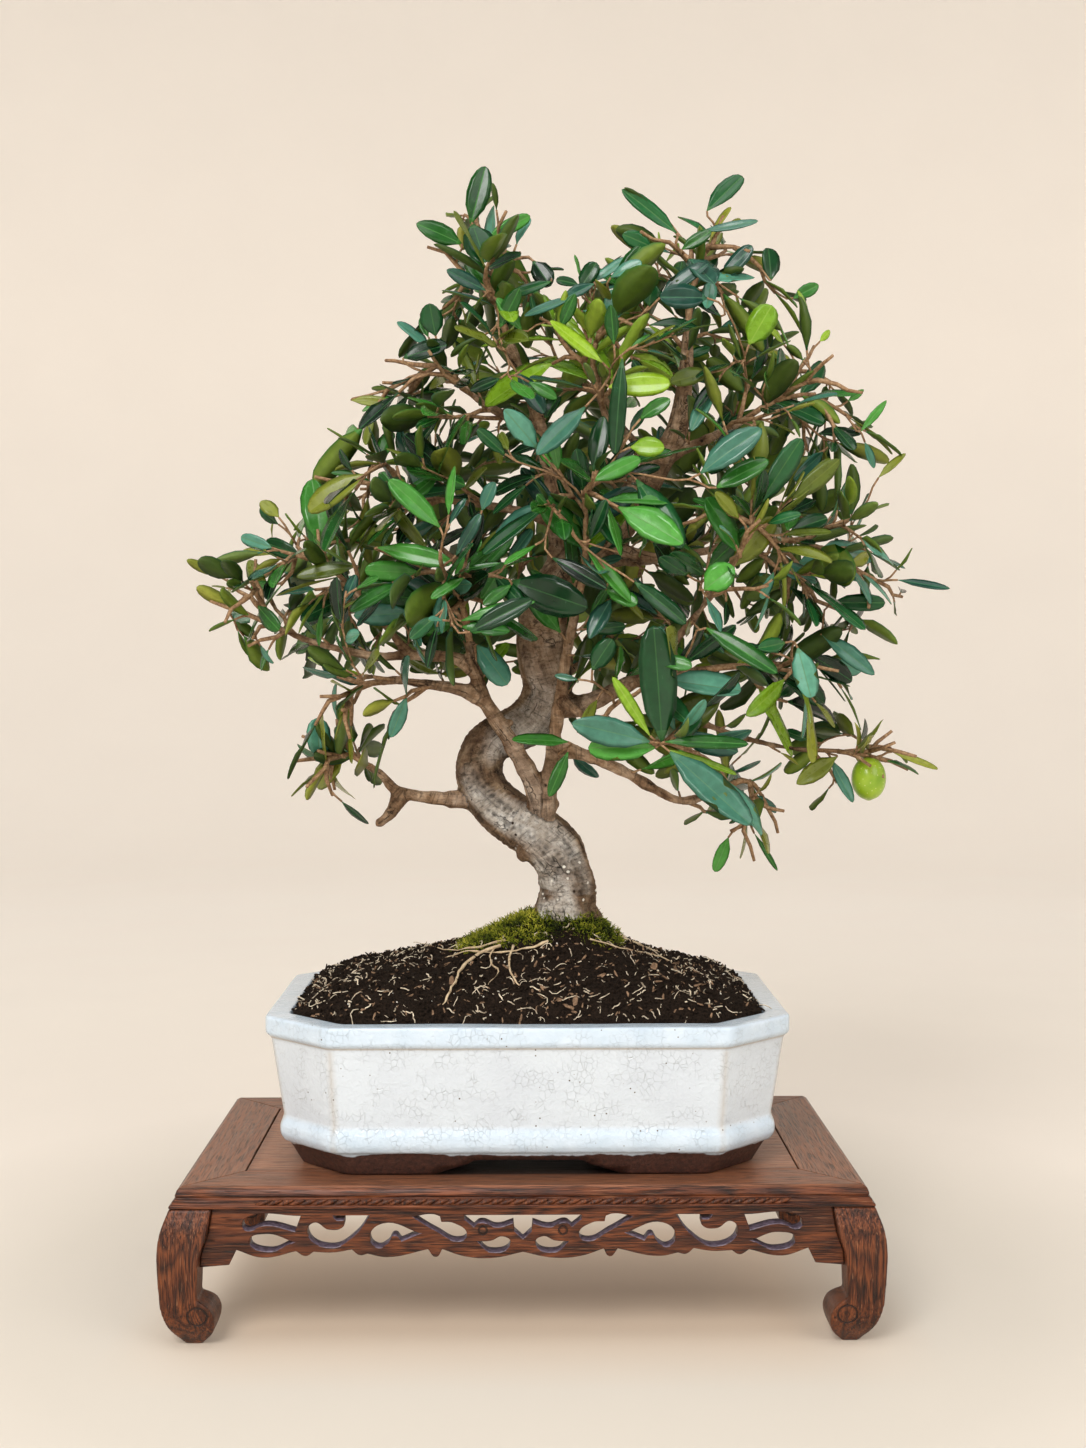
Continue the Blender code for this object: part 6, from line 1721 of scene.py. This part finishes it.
def foot_arch(half_widths, turn):
    """A wedge with an eased top that opens an arch through the foot."""
    wide, narrow = half_widths
    below = FOOT_BOTTOM - CUTTER_SPARE
    top = FOOT_BOTTOM + ARCH_HEIGHT
    outline = [(-wide, below), (-narrow - 5.0, top - 2.6), (-narrow - 2.0, top - 0.6), (-narrow + 2.0, top),
               (narrow - 2.0, top), (narrow + 2.0, top - 0.6), (narrow + 5.0, top - 2.6), (wide, below)]
    spin = Matrix.Rotation(turn, 3, "Z")
    spots = []
    for side in (-1.0, 1.0):
        for across, height in outline:
            spot = spin @ Vector((across, side * (RIM_HALF_LENGTH + CUTTER_SPARE), height))
            spots.append(at(POT_CENTRE[0] + spot.x, POT_CENTRE[1] + spot.y, spot.z))
    mesh = from_arrays("arch", spots, ring_faces(2, len(outline)), False)
    return outward(mesh)


def outward(mesh):
    """The mesh with all its faces turned outward."""
    bm = bmesh.new()
    bm.from_mesh(mesh)
    bmesh.ops.recalc_face_normals(bm, faces=bm.faces)
    bm.to_mesh(mesh)
    bm.free()
    mesh.update()
    return mesh


def crease_shares(places):
    """How near each place is to one of the eight upright bends of the wall, from 0 to 1."""
    shares = np.zeros(len(places))
    across = np.abs(places[:, 0] - SEAT.x) / MM
    deep = np.abs(places[:, 1] - SEAT.y) / MM
    halves, cuts, heights = zip(*POT_SECTIONS[7:10])
    level = np.clip(places[:, 2] / MM, heights[0], heights[-1])
    half = np.interp(level, heights, halves)
    cut = np.interp(level, heights, cuts)
    for bend_x, bend_y in ((half, half - POT_SLIMNESS - cut), (half - cut, half - POT_SLIMNESS)):
        away = np.hypot(across - bend_x, deep - bend_y)
        shares = np.maximum(shares, np.clip(1.0 - away / CREASE_REACH, 0.0, 1.0))
    return shares


def make_pot():
    """The glazed pot, with arches cut through its foot and a slightly uneven wall."""
    sections = eased_sections(POT_SECTIONS, LIP_ROUND)
    spots = []
    for half_length, chamfer, height in sections:
        spots += pot_outline(half_length, chamfer, height)
    count = len(spots) // len(sections)
    body = outward(from_arrays("body", spots, ring_faces(len(sections), count)))
    cutters = [helper(foot_arch(ARCH_LONG, 0.0)), helper(foot_arch(ARCH_SHORT, math.pi / 2.0))]
    mesh = settled(
        helper(body), BOOLEAN1={"object": cutters[0], "operation": "DIFFERENCE", "solver": "EXACT"},
        BOOLEAN2={"object": cutters[1], "operation": "DIFFERENCE", "solver": "EXACT"},
    )
    for cutter in cutters:
        bpy.data.objects.remove(cutter)
    places = places_of(mesh)
    swell = noises(places, 16.0, 6) * 0.0004 + noises(places, 60.0, 7) * 0.00012
    put_places(mesh, places + places_of(mesh, "normal") * swell[:, None])
    put_values(mesh, "crease", crease_shares(places))
    mesh.polygons.foreach_set("use_smooth", np.full(len(mesh.polygons), True))
    mesh = settled(helper(mesh), WEIGHTED_NORMAL={"keep_sharp": True})
    return finish_piece("glazed_pot", mesh, [white_glaze()], ["pot"])


# ---------------------------------------------------------------- soil, roots and moss
SOIL_STEPS = 52
SOIL_ROUND = 240
ROOT_SHIFTS = (3.7, 11.3, 23.9)  # so that a root strays each way by itself
EARTH_LUMPS = ((70.0, 0.0, 1.0), (220.0, 3.0, 0.7), (600.0, 5.0, 0.4))  # fineness, shift, height


def ground_height(x, y, share):
    """Height of the soil at a place that lies the given share of the way from the middle to the rim."""
    mound = SOIL_EDGE + SOIL_BANK * (1.0 - share**SOIL_ROUNDNESS) + SOIL_SLOPE * (1.0 - share)
    side = x - TRUNK[0][0]
    across = side / (COLLAR_REACH[0] if side < 0.0 else COLLAR_REACH[1])
    deep = (y - TRUNK[0][1]) / COLLAR_REACH[2]
    collar = COLLAR_RISE * math.exp(-(math.hypot(across, deep) ** COLLAR_ROUNDNESS))
    return min(mound + collar, GROUND_LEVEL - 0.3)


def ground_spot(turn, share):
    """A place on the soil by its turn round the pot and its share of the way out."""
    half_x = POT_SECTIONS[-2][0] - SOIL_INSET
    half_y = half_x - POT_SLIMNESS
    cut = POT_SECTIONS[-2][1]
    c, s = math.cos(turn), math.sin(turn)
    reach = min(half_x / max(abs(c), 1e-6), half_y / max(abs(s), 1e-6),
                (half_x + half_y - cut) / (abs(c) + abs(s)))
    drift = (1.0 - share) ** 3
    x = POT_CENTRE[0] + c * reach * share + (TRUNK[0][0] - POT_CENTRE[0]) * drift
    y = POT_CENTRE[1] + s * reach * share + (TRUNK[0][1] - POT_CENTRE[1]) * drift
    return at(x, y, ground_height(x, y, share))


def ground_mesh(shares, lift, roughness, seed, skirt):
    """Part of the ground as a rough closed mesh, from a skirt under its outer ring to its middle."""
    spots = []
    for row, share in enumerate([shares[0]] + list(shares)):
        drop = 0.0 if row else -skirt
        fall = min(1.0, (shares[0] - share) / 0.05)
        for k in range(SOIL_ROUND):
            spot = ground_spot(math.tau * k / SOIL_ROUND, share)
            rise = lift(share, spot) + roughness * fall * sum(
                noise.noise(spot * fineness + Vector((seed, shift, 0.0))) * height
                for fineness, shift, height in EARTH_LUMPS
            )
            spots.append(spot + Vector((0.0, 0.0, rise + drop)) * MM)
    return outward(from_arrays("ground", spots, ring_faces(len(shares) + 1, SOIL_ROUND)))


def upper_part(mesh, least):
    """The faces of a mesh that look up, for strewing things on."""
    bm = bmesh.new()
    bm.from_mesh(mesh)
    doomed = [face for face in bm.faces if face.normal.z < least]
    bmesh.ops.delete(bm, geom=doomed, context="FACES")
    part = bpy.data.meshes.new("upper")
    bm.to_mesh(part)
    bm.free()
    return part


def pebble(seed, stretch):
    """A small lumpy crumb, one millimetre across."""
    bm = bmesh.new()
    bmesh.ops.create_icosphere(bm, subdivisions=1, radius=0.5 * MM)
    for vert in bm.verts:
        vert.co *= 1.0 + 0.45 * noise.noise(vert.co * 1400.0 + Vector((seed, 0.0, 0.0)))
    bmesh.ops.scale(bm, verts=bm.verts, vec=stretch)
    mesh = bpy.data.meshes.new("crumb")
    bm.to_mesh(mesh)
    bm.free()
    return mesh


def fibre(seed, length, radius, curl):
    """A thin curling thread that lies on the ground."""
    rng = random.Random(seed)
    turn = rng.uniform(0.0, 6.0)
    place = Vector((0.0, 0.0, radius * 1.5)) * MM
    path = [place.copy()]
    steps = 5
    for k in range(steps):
        turn += rng.uniform(-curl, curl)
        rise = (0.22 if k < steps / 2 else -0.22) * rng.random()
        place = place + Vector((math.cos(turn), math.sin(turn), rise)) * length / steps * MM
        path.append(place.copy())
    middle = path[len(path) // 2].copy()
    middle.z = 0.0
    path = [spot - middle for spot in path]
    return from_arrays("fibre", *tube_rings(path, [radius * MM] * len(path), 4))


def make_soil():
    """The mound, and the crumbs, chips, fibres and white grains strewn over it."""
    shares = [0.998 - 0.948 * (k / SOIL_STEPS) for k in range(SOIL_STEPS + 1)]
    ground = ground_mesh(shares, lambda share, spot: -1.2 * min(1.0, (0.998 - share) / 0.04), 1.3, 3.0, 12.0)
    top = upper_part(ground, 0.2)
    peat = peat_finish("peat_dark", (2, 2, 1), (50, 39, 31), 700.0, 0.0026)
    chips = peat_finish("bark_chips", (52, 36, 26), (160, 130, 104), 400.0, 0.0006)
    threads = peat_finish("pale_fibres", (92, 70, 48), (252, 238, 212), 220.0, 0.0002)
    stones = peat_finish("perlite", (188, 182, 168), (236, 232, 222), 800.0, 0.0004)
    heaps = [
        (pebble(1.0, (3.0, 2.1, 1.7)), 80000, (0.5, 1.7), 1.4, 1, peat),
        (pebble(2.0, (6.0, 1.5, 0.9)), 62000, (0.5, 1.5), 1.0, 2, peat),
        (pebble(3.0, (8.0, 3.4, 1.1)), 1300, (0.5, 1.4), 0.6, 3, chips),
        (fibre(4, 4.6, 0.26, 1.1), 13000, (0.3, 1.7), 1.1, 4, threads),
        (fibre(5, 12.0, 0.24, 0.9), 3200, (0.5, 1.3), 0.5, 5, threads),
        (pebble(6.0, (6.0, 1.3, 0.7)), 16000, (0.5, 1.3), 0.9, 6, chips),
        (pebble(7.0, (1.7, 1.5, 1.3)), 1200, (0.5, 1.2), 1.2, 7, stones),
    ]
    litter = [strewn(top.copy(), shape, number, sizes, lean, seed, finish)
              for shape, number, sizes, lean, seed, finish in heaps]
    finish_piece("soil_mound", ground, [peat], ["soil"])
    finish_piece("peat_crumbs", joined(litter[:2]), [peat])
    finish_piece("chips", joined([litter[2], litter[5]]), [chips])
    finish_piece("fibres", joined(litter[3:5]), [threads])
    finish_piece("perlite", litter[6], [stones])


def drop_to_ground(x, y):
    """The soil's height under a place, in millimetres."""
    dx = x - POT_CENTRE[0]
    dy = y - POT_CENTRE[1]
    half_x = POT_SECTIONS[-2][0] - SOIL_INSET
    share = max(abs(dx) / half_x, abs(dy) / (half_x - POT_SLIMNESS))
    return ground_height(x, y, min(share, 0.98))


def make_roots():
    """Surface roots that run out from the trunk over the mound and down into the soil."""
    spots = []
    faces = []
    for thick, course in ROOTS:
        path = []
        girth = []
        for k, (x, y, lift) in enumerate(course):
            path.append(at(x, y, drop_to_ground(x, y) + lift))
            girth.append((thick * (1.0 - 0.6 * k / (len(course) - 1))) * MM)
        fine_path = []
        fine_girth = []
        for k in range(len(path) - 1):
            before = path[max(k - 1, 0)]
            after = path[min(k + 2, len(path) - 1)]
            for t in (step / 5.0 for step in range(5)):
                fine_path.append(curved(before, path[k], path[k + 1], after, t))
                fine_girth.append(girth[k] + (girth[k + 1] - girth[k]) * t)
        fine_path.append(path[-1])
        fine_girth.append(girth[-1])
        for k, spot in enumerate(fine_path):
            stray = [noise.noise(spot * 130.0 + Vector((shift, 0.0, 0.0))) for shift in ROOT_SHIFTS]
            spot += Vector((stray[0] * 2.6, stray[1] * 2.6, stray[2] * 0.9)) * min(1.0, k / 4.0) * MM
            fine_girth[k] *= 1.0 + 0.35 * noise.noise(spot * 400.0)
        add_part(spots, faces, tube_rings(fine_path, fine_girth, 8))
    mesh = from_arrays("roots", spots, faces)
    places = places_of(mesh)
    put_places(mesh, places + places_of(mesh, "normal") * (noises(places, 300.0, 8) * 0.0004)[:, None])
    root = peat_finish("root_skin", (150, 124, 94), (216, 196, 164), 300.0, 0.0004)
    finish_piece("surface_roots", mesh, [root])


def make_moss():
    """A cushion on the mound, made of lumps, with short fronds all over it."""
    shares = [0.37 - 0.31 * (k / 22) for k in range(23)]

    def cushion(share, spot):
        inward = max(0.0, (0.37 - share) / 0.33)
        x = (spot.x - PLANT.x) / MM
        reach = 1.0 + 0.55 * noise.noise(Vector((x * 0.03, (spot.y - PLANT.y) / MM * 0.03, 4.0)))
        body = 0.6 * (1.0 - (1.0 - min(1.0, inward * 1.6)) ** 2) * reach
        lumps = 1.8 * abs(noise.noise(spot * 95.0)) + 1.4 * noise.noise(spot * 240.0)
        ragged = (share - 0.30) / 0.11 + 1.6 * noise.noise(spot * 60.0) + 0.9 * noise.noise(spot * 190.0)
        front = max(0.0, 1.0 - abs(x - 38.0) / 46.0) * max(0.0, min(1.0, (0.32 - share) / 0.1))
        ragged -= 2.2 * front
        return body + lumps * min(1.0, inward * 4.0) + 1.8 * front - 2.0 - 7.0 * min(1.0, max(0.0, ragged))

    ground = ground_mesh(shares, cushion, 0.35, 9.0, 3.0)
    top = upper_part(ground, 0.1)
    green = moss_finish()
    put_values(ground, "tone", np.zeros(len(ground.vertices)))
    stem = [Vector(place) * MM for place in (
        (0.0, 0.0, -0.4), (0.7, 0.1, 1.6), (2.2, 0.3, 3.4), (3.9, 0.3, 4.2))]
    frond = from_arrays("frond", *tube_rings(stem, [0.3 * MM, 0.36 * MM, 0.3 * MM, 0.05 * MM], 3))
    put_values(frond, "tone", np.clip(places_of(frond)[:, 2] / 0.004, 0.0, 1.0))
    tufts = strewn(top, frond, 1050000, (0.4, 1.1), 1.25, 11, green)
    finish_piece("moss_cushion", ground, [green], ["moss"])
    finish_piece("moss_fronds", tufts, [green])


# ---------------------------------------------------------------- stand
def plate(outlines, thickness, smoothness, round_over=0.0):
    """A flat board lying in X and Z with eased edges: the first outline is its edge, the rest openings."""
    curve = bpy.data.curves.new("outline", "CURVE")
    curve.dimensions = "2D"
    curve.fill_mode = "BOTH"
    curve.extrude = (thickness / 2.0 - round_over) * MM
    curve.bevel_depth = round_over * MM
    curve.bevel_resolution = 1
    curve.offset = -round_over * MM
    curve.resolution_u = smoothness
    for outline in outlines:
        spline = curve.splines.new("BEZIER")
        spline.bezier_points.add(len(outline) - 1)
        spline.use_cyclic_u = True
        for point, (across, height, kind) in zip(spline.bezier_points, outline):
            handle = "AUTO" if kind == "s" else "VECTOR"
            point.co = (across * MM, height * MM, 0.0)
            point.handle_left_type = handle
            point.handle_right_type = handle
    mesh = settled(helper(curve))
    mesh.transform(Matrix.Rotation(math.pi / 2.0, 4, "X"))
    return mesh


def mirrored(half):
    """An outline's right half from its left one, in the order that goes on from it."""
    return [(-across, height, kind) for across, height, kind in reversed(half) if across < 0.0]


def apron_outline(half_length, edge):
    """The edge of an apron whose ends follow the insides of the legs."""
    end = [(-(half_length + out) + JOINT, height, "c") for out, height, kind in reversed(LEG_INNER)]
    foot = [(end[-1][0] + across, height, kind) for across, height, kind in EDGE_END]
    half = end[:-1] + foot + edge + EDGE_MIDDLE
    return half + mirrored(half)


SIDES = [
    ("front", STAND_LENGTH / 2.0, STAND_DEPTH / 2.0, 0), ("right", STAND_DEPTH / 2.0, STAND_LENGTH / 2.0, 1),
    ("back", STAND_LENGTH / 2.0, STAND_DEPTH / 2.0, 2), ("left", STAND_DEPTH / 2.0, STAND_LENGTH / 2.0, 3),
]


def make_aprons(woods):
    """Pierced scrollwork boards between the legs: the long pair carries more openings than the short."""
    centre = CENTRE_HALF + [CENTRE_POINT] + mirrored(CENTRE_HALF)
    lit_edge_wood = lit_edge()
    for name, half_run, half_reach, turn in SIDES:
        long_side = turn % 2 == 0
        openings = [SLOT, END_LEAF, SCROLL, COMMA, WING, LENS] if long_side else [SHORT_LEAF, WING, LENS]
        outlines = [apron_outline(half_run, EDGE_LONG if long_side else EDGE_SHORT), centre]
        outlines += openings + [mirrored(opening) for opening in openings]
        mesh = plate(outlines, APRON_THICKNESS, 8, 0.5)
        spin = Matrix.Rotation(turn * math.pi / 2.0, 4, "Z")
        seat = Matrix.Translation(Vector((0.0, -(half_reach + APRON_FACE - APRON_THICKNESS / 2.0), 0.0)) * MM)
        mesh.transform(Matrix.Translation(PLANT) @ spin @ seat)
        # faces low in the openings that look up take the pale finish, painted light on the cut edges
        for face in mesh.polygons:
            low = face.center.z < (JOINT_TOP - 3.0) * MM
            face.material_index = 1 if face.normal.z > 0.35 and low else 0
        finish_piece("carved_apron_" + name, mesh, [woods["X" if long_side else "Y"], lit_edge_wood],
                     ["apron_" + name])


def make_legs(woods):
    """Cabriole legs with a scroll foot: one outline from the front, crossed with it from the side."""
    outline = LEG_OUTER + LEG_SCROLL + LEG_INNER
    for (front, face), (hand, side) in itertools.product(
        (("front", -1), ("back", 1)), (("left", -1), ("right", 1))
    ):
        name = "leg_" + front + "_" + hand
        blanks = []
        for half_run in (STAND_LENGTH / 2.0, STAND_DEPTH / 2.0):
            shifted = [(half_run + out, height, kind) for out, height, kind in outline]
            blanks.append(plate([shifted], LEG_BLANK, 8))
        blanks[0].transform(Matrix.Translation(Vector((0.0, STAND_DEPTH / 2.0, 0.0)) * MM))
        blanks[1].transform(Matrix.Rotation(math.pi / 2.0, 4, "Z"))
        blanks[1].transform(Matrix.Translation(Vector((STAND_LENGTH / 2.0, 0.0, 0.0)) * MM))
        crossing = helper(blanks[1])
        mesh = settled(
            helper(blanks[0]),
            BOOLEAN={"object": crossing, "operation": "INTERSECT", "solver": "EXACT"},
            REMESH={"mode": "VOXEL", "voxel_size": 0.0009, "use_smooth_shade": True},
            SMOOTH={"factor": 0.5, "iterations": 3},
        )
        bpy.data.objects.remove(crossing)
        mesh.transform(Matrix.Translation(PLANT) @ Matrix.Diagonal((side, face, 1.0, 1.0)))
        if side * face < 0:
            mesh.flip_normals()
        finish_piece("carved_" + name, mesh, [woods["Z"]], [name])


def eased_copy(node, amount):
    """A copy of a frame solid, merged, with its edges eased."""
    solid = bpy.data.objects[node] if node in bpy.data.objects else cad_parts[node]
    mesh = solid.data.copy()
    bm = bmesh.new()
    bm.from_mesh(mesh)
    bmesh.ops.remove_doubles(bm, verts=bm.verts, dist=1e-6)
    bmesh.ops.dissolve_limit(bm, angle_limit=math.radians(0.5), verts=bm.verts, edges=bm.edges)
    bm.to_mesh(mesh)
    bm.free()
    return settled(helper(mesh), BEVEL={"width": amount * MM, "segments": 2, "limit_method": "ANGLE",
                                        "angle_limit": math.radians(25.0)})


def make_top(woods):
    """The panel and its mitred rails, with eased edges."""
    finish_piece("panel", eased_copy("stand_panel", 0.4), [woods["X"]], ["stand_panel"])
    for name, _, _, turn in SIDES:
        wood = woods["X" if turn % 2 == 0 else "Y"]
        finish_piece("moulded_rail_" + name, eased_copy("rail_" + name, 0.35), [wood],
                     ["rail_" + name])


ROPE_STOP = 42.0  # the rope ends this far short of the corners
STRAND_PITCH = 6.0
STRAND_RADII = (0.0003, 0.0008, 0.00115, 0.00115, 0.0008, 0.0003)  # in metres, from end to end


def rope_bead():
    """A carved rope under the edge of the top: slanting strands set side by side all round."""
    spots = []
    faces = []
    for _, half_run, half_reach, turn in SIDES:
        spin = Matrix.Rotation(turn * math.pi / 2.0, 3, "Z")
        run = half_run - ROPE_STOP
        count = round(2.0 * run / STRAND_PITCH)
        for k in range(count):
            middle = -run + (k + 0.5) * 2.0 * run / count
            path = []
            for t in (-1.0, -0.7, -0.3, 0.3, 0.7, 1.0):
                lean = Vector((middle + t * 5.2, -(half_reach + 4.3 + 0.9 * (1.0 - t * t)),
                               80.05 + 1.3 * math.sin(t * 1.5)))
                path.append(PLANT + spin @ lean * MM)
            add_part(spots, faces, tube_rings(path, STRAND_RADII, 6))
    return from_arrays("rope", spots, faces)


def make_stand():
    """The rosewood stand, with its grain along each board and leg."""
    woods = {"X": rosewood("rosewood_x", "X", [(22.0, 64.0, 2.2)]), "Y": rosewood("rosewood_y", "Y"),
             "Z": rosewood("rosewood_z", "Z", [(178.0, 18.6, 5.3)])}
    make_top(woods)
    make_aprons(woods)
    make_legs(woods)
    finish_piece("rope_bead", rope_bead(), [woods["Z"]])


# ---------------------------------------------------------------- floor, light and camera
CAMERA_PLACE = (-2.0, -1089.0, 369.0)
CAMERA_LENS = 44.75
CAMERA_TILT = 1.56  # degrees down
CAMERA_TURN = 0.76  # degrees to the right
FLOOR_FLAT = 2.4  # metres from the middle to where the floor starts to turn up
FLOOR_BEND = 1.2  # radius of that turn


def make_floor():
    """A seamless pale floor that turns up into a wall all round, which glows a little all over as painted
    light.
    """
    profile = [(0.4 * k, 0.0) for k in range(7)]
    for k in range(1, 13):
        angle = math.pi / 2.0 * k / 12.0
        profile.append((FLOOR_FLAT + FLOOR_BEND * math.sin(angle), FLOOR_BEND - FLOOR_BEND * math.cos(angle)))
    profile += [(FLOOR_FLAT + FLOOR_BEND, 2.2), (FLOOR_FLAT + FLOOR_BEND, 3.2)]
    count = 72
    spots = [Vector((PLANT.x, PLANT.y, 0.0))]
    for radius, height in profile[1:]:
        for k in range(count):
            turn = math.tau * k / count
            spots.append(Vector((PLANT.x + radius * math.cos(turn),
                                 PLANT.y + radius * math.sin(turn), height)))
    faces = [(0, 1 + k, 1 + (k + 1) % count) for k in range(count)]
    for row in range(len(profile) - 2):
        low = 1 + row * count
        for k in range(count):
            t = (k + 1) % count
            faces.append((low + k, low + count + k, low + count + t, low + t))
    mesh = from_arrays("floor", spots, faces)
    paper = Finish("cream_paper", roughness=0.9)
    tone = paper.noise(paper.place(), 6.0, 2.0)
    spot = paper.place((1.0, 1.0, 0.0), (-PLANT.x, -PLANT.y, 0.0))
    reach = paper.add("ShaderNodeVectorMath", {0: spot}, operation="LENGTH").outputs["Value"]
    # the paper is painted darker near the middle, where the lamps light it most, so that the floor looks even
    shade = paper.ramp(paper.times(reach, 0.5), [
        (0.15, (206, 198, 186)), (0.25, (223, 214, 203)), (0.475, (230, 222, 211)),
        (0.925, (240, 233, 224))])
    shade = paper.mix(1.0, shade, paper.ramp(tone, [(0.3, 0.985), (0.7, 1.0)]), "MULTIPLY")
    parts = paper.add("ShaderNodeSeparateXYZ", {0: spot})
    aside = paper.positive(parts.outputs["X"])
    back = paper.add("ShaderNodeSeparateXYZ", {0: paper.place(shift=(-PLANT.x, -PLANT.y, 0.0))}).outputs["Y"]
    # a warm painted shadow on the floor under the stand
    below = paper.times(paper.span(aside, 0.23, 0.15),
                        paper.span(paper.positive(back), 0.17, 0.08))
    shade = paper.mix(paper.times(below, 0.5), shade, tint(212, 180, 146))
    paper.feed(paper.shader.inputs["Emission Color"], shade)
    # painted glow: the floor behind the stand gives off more light where the stand's shadow falls
    painted_glow = paper.times(paper.span(aside, 0.24, 0.15), paper.span(back, -0.02, 0.16))
    painted_glow = paper.times(painted_glow, paper.span(back, 0.46, 0.3, 0.0, 0.5))
    power = paper.plus(paper.span(paper.height(), 0.1, 0.6, 0.215, 0.2), painted_glow)
    paper.feed(paper.shader.inputs["Emission Strength"], power)
    mesh.materials.append(paper.done(shade))
    floor = bpy.data.objects.new("floor", mesh)
    bpy.context.scene.collection.objects.link(floor)


def add_light(name, place, aim, size, power, colour):
    """A round soft light that is turned to what it lights."""
    lamp = bpy.data.lights.new(name, "AREA")
    lamp.shape = "DISK"
    lamp.size = size
    lamp.energy = power
    lamp.color = colour
    light = bpy.data.objects.new(name, lamp)
    light.location = place
    light.rotation_euler = (Vector(aim) - Vector(place)).to_track_quat("-Z", "Y").to_euler()
    bpy.context.scene.collection.objects.link(light)


def make_studio():
    make_floor()
    middle = PLANT + Vector((0.0, 0.0, 0.34))
    add_light("overhead", PLANT + Vector((-0.2, -0.3, 2.6)), middle, 2.0, 22.5, (1.0, 0.99, 0.98))
    add_light("key", PLANT + Vector((-0.8, -2.1, 1.9)), middle, 1.2, 46.5, (1.0, 0.99, 0.98))
    add_light("fill", PLANT + Vector((1.4, -1.7, 1.5)), middle, 1.6, 14.0, (0.96, 0.98, 1.0))
    world = bpy.data.worlds.new("studio")
    world.use_nodes = True
    sky = world.node_tree.nodes["Background"].inputs
    sky["Color"].default_value = (1.0, 0.96, 0.9, 1.0)
    sky["Strength"].default_value = 0.16
    scene = bpy.context.scene
    scene.world = world
    scene.view_settings.view_transform = "Standard"
    camera = bpy.data.cameras.new("camera")
    camera.lens = CAMERA_LENS
    camera.sensor_width = 36.0
    camera.clip_start = 0.05
    camera.clip_end = 20.0
    viewer = bpy.data.objects.new("camera", camera)
    viewer.location = at(*CAMERA_PLACE)
    viewer.rotation_euler = (math.radians(90.0 - CAMERA_TILT), 0.0, math.radians(-CAMERA_TURN))
    scene.collection.objects.link(viewer)
    scene.camera = viewer


# ---------------------------------------------------------------- the whole tree
SCATTERING = scattering("strewing")
LIMBS = limb_table()
make_studio()
make_stand()
make_pot()
make_soil()
make_roots()
make_moss()
make_bark(LIMBS)
make_foliage(LIMBS)
make_fruit()
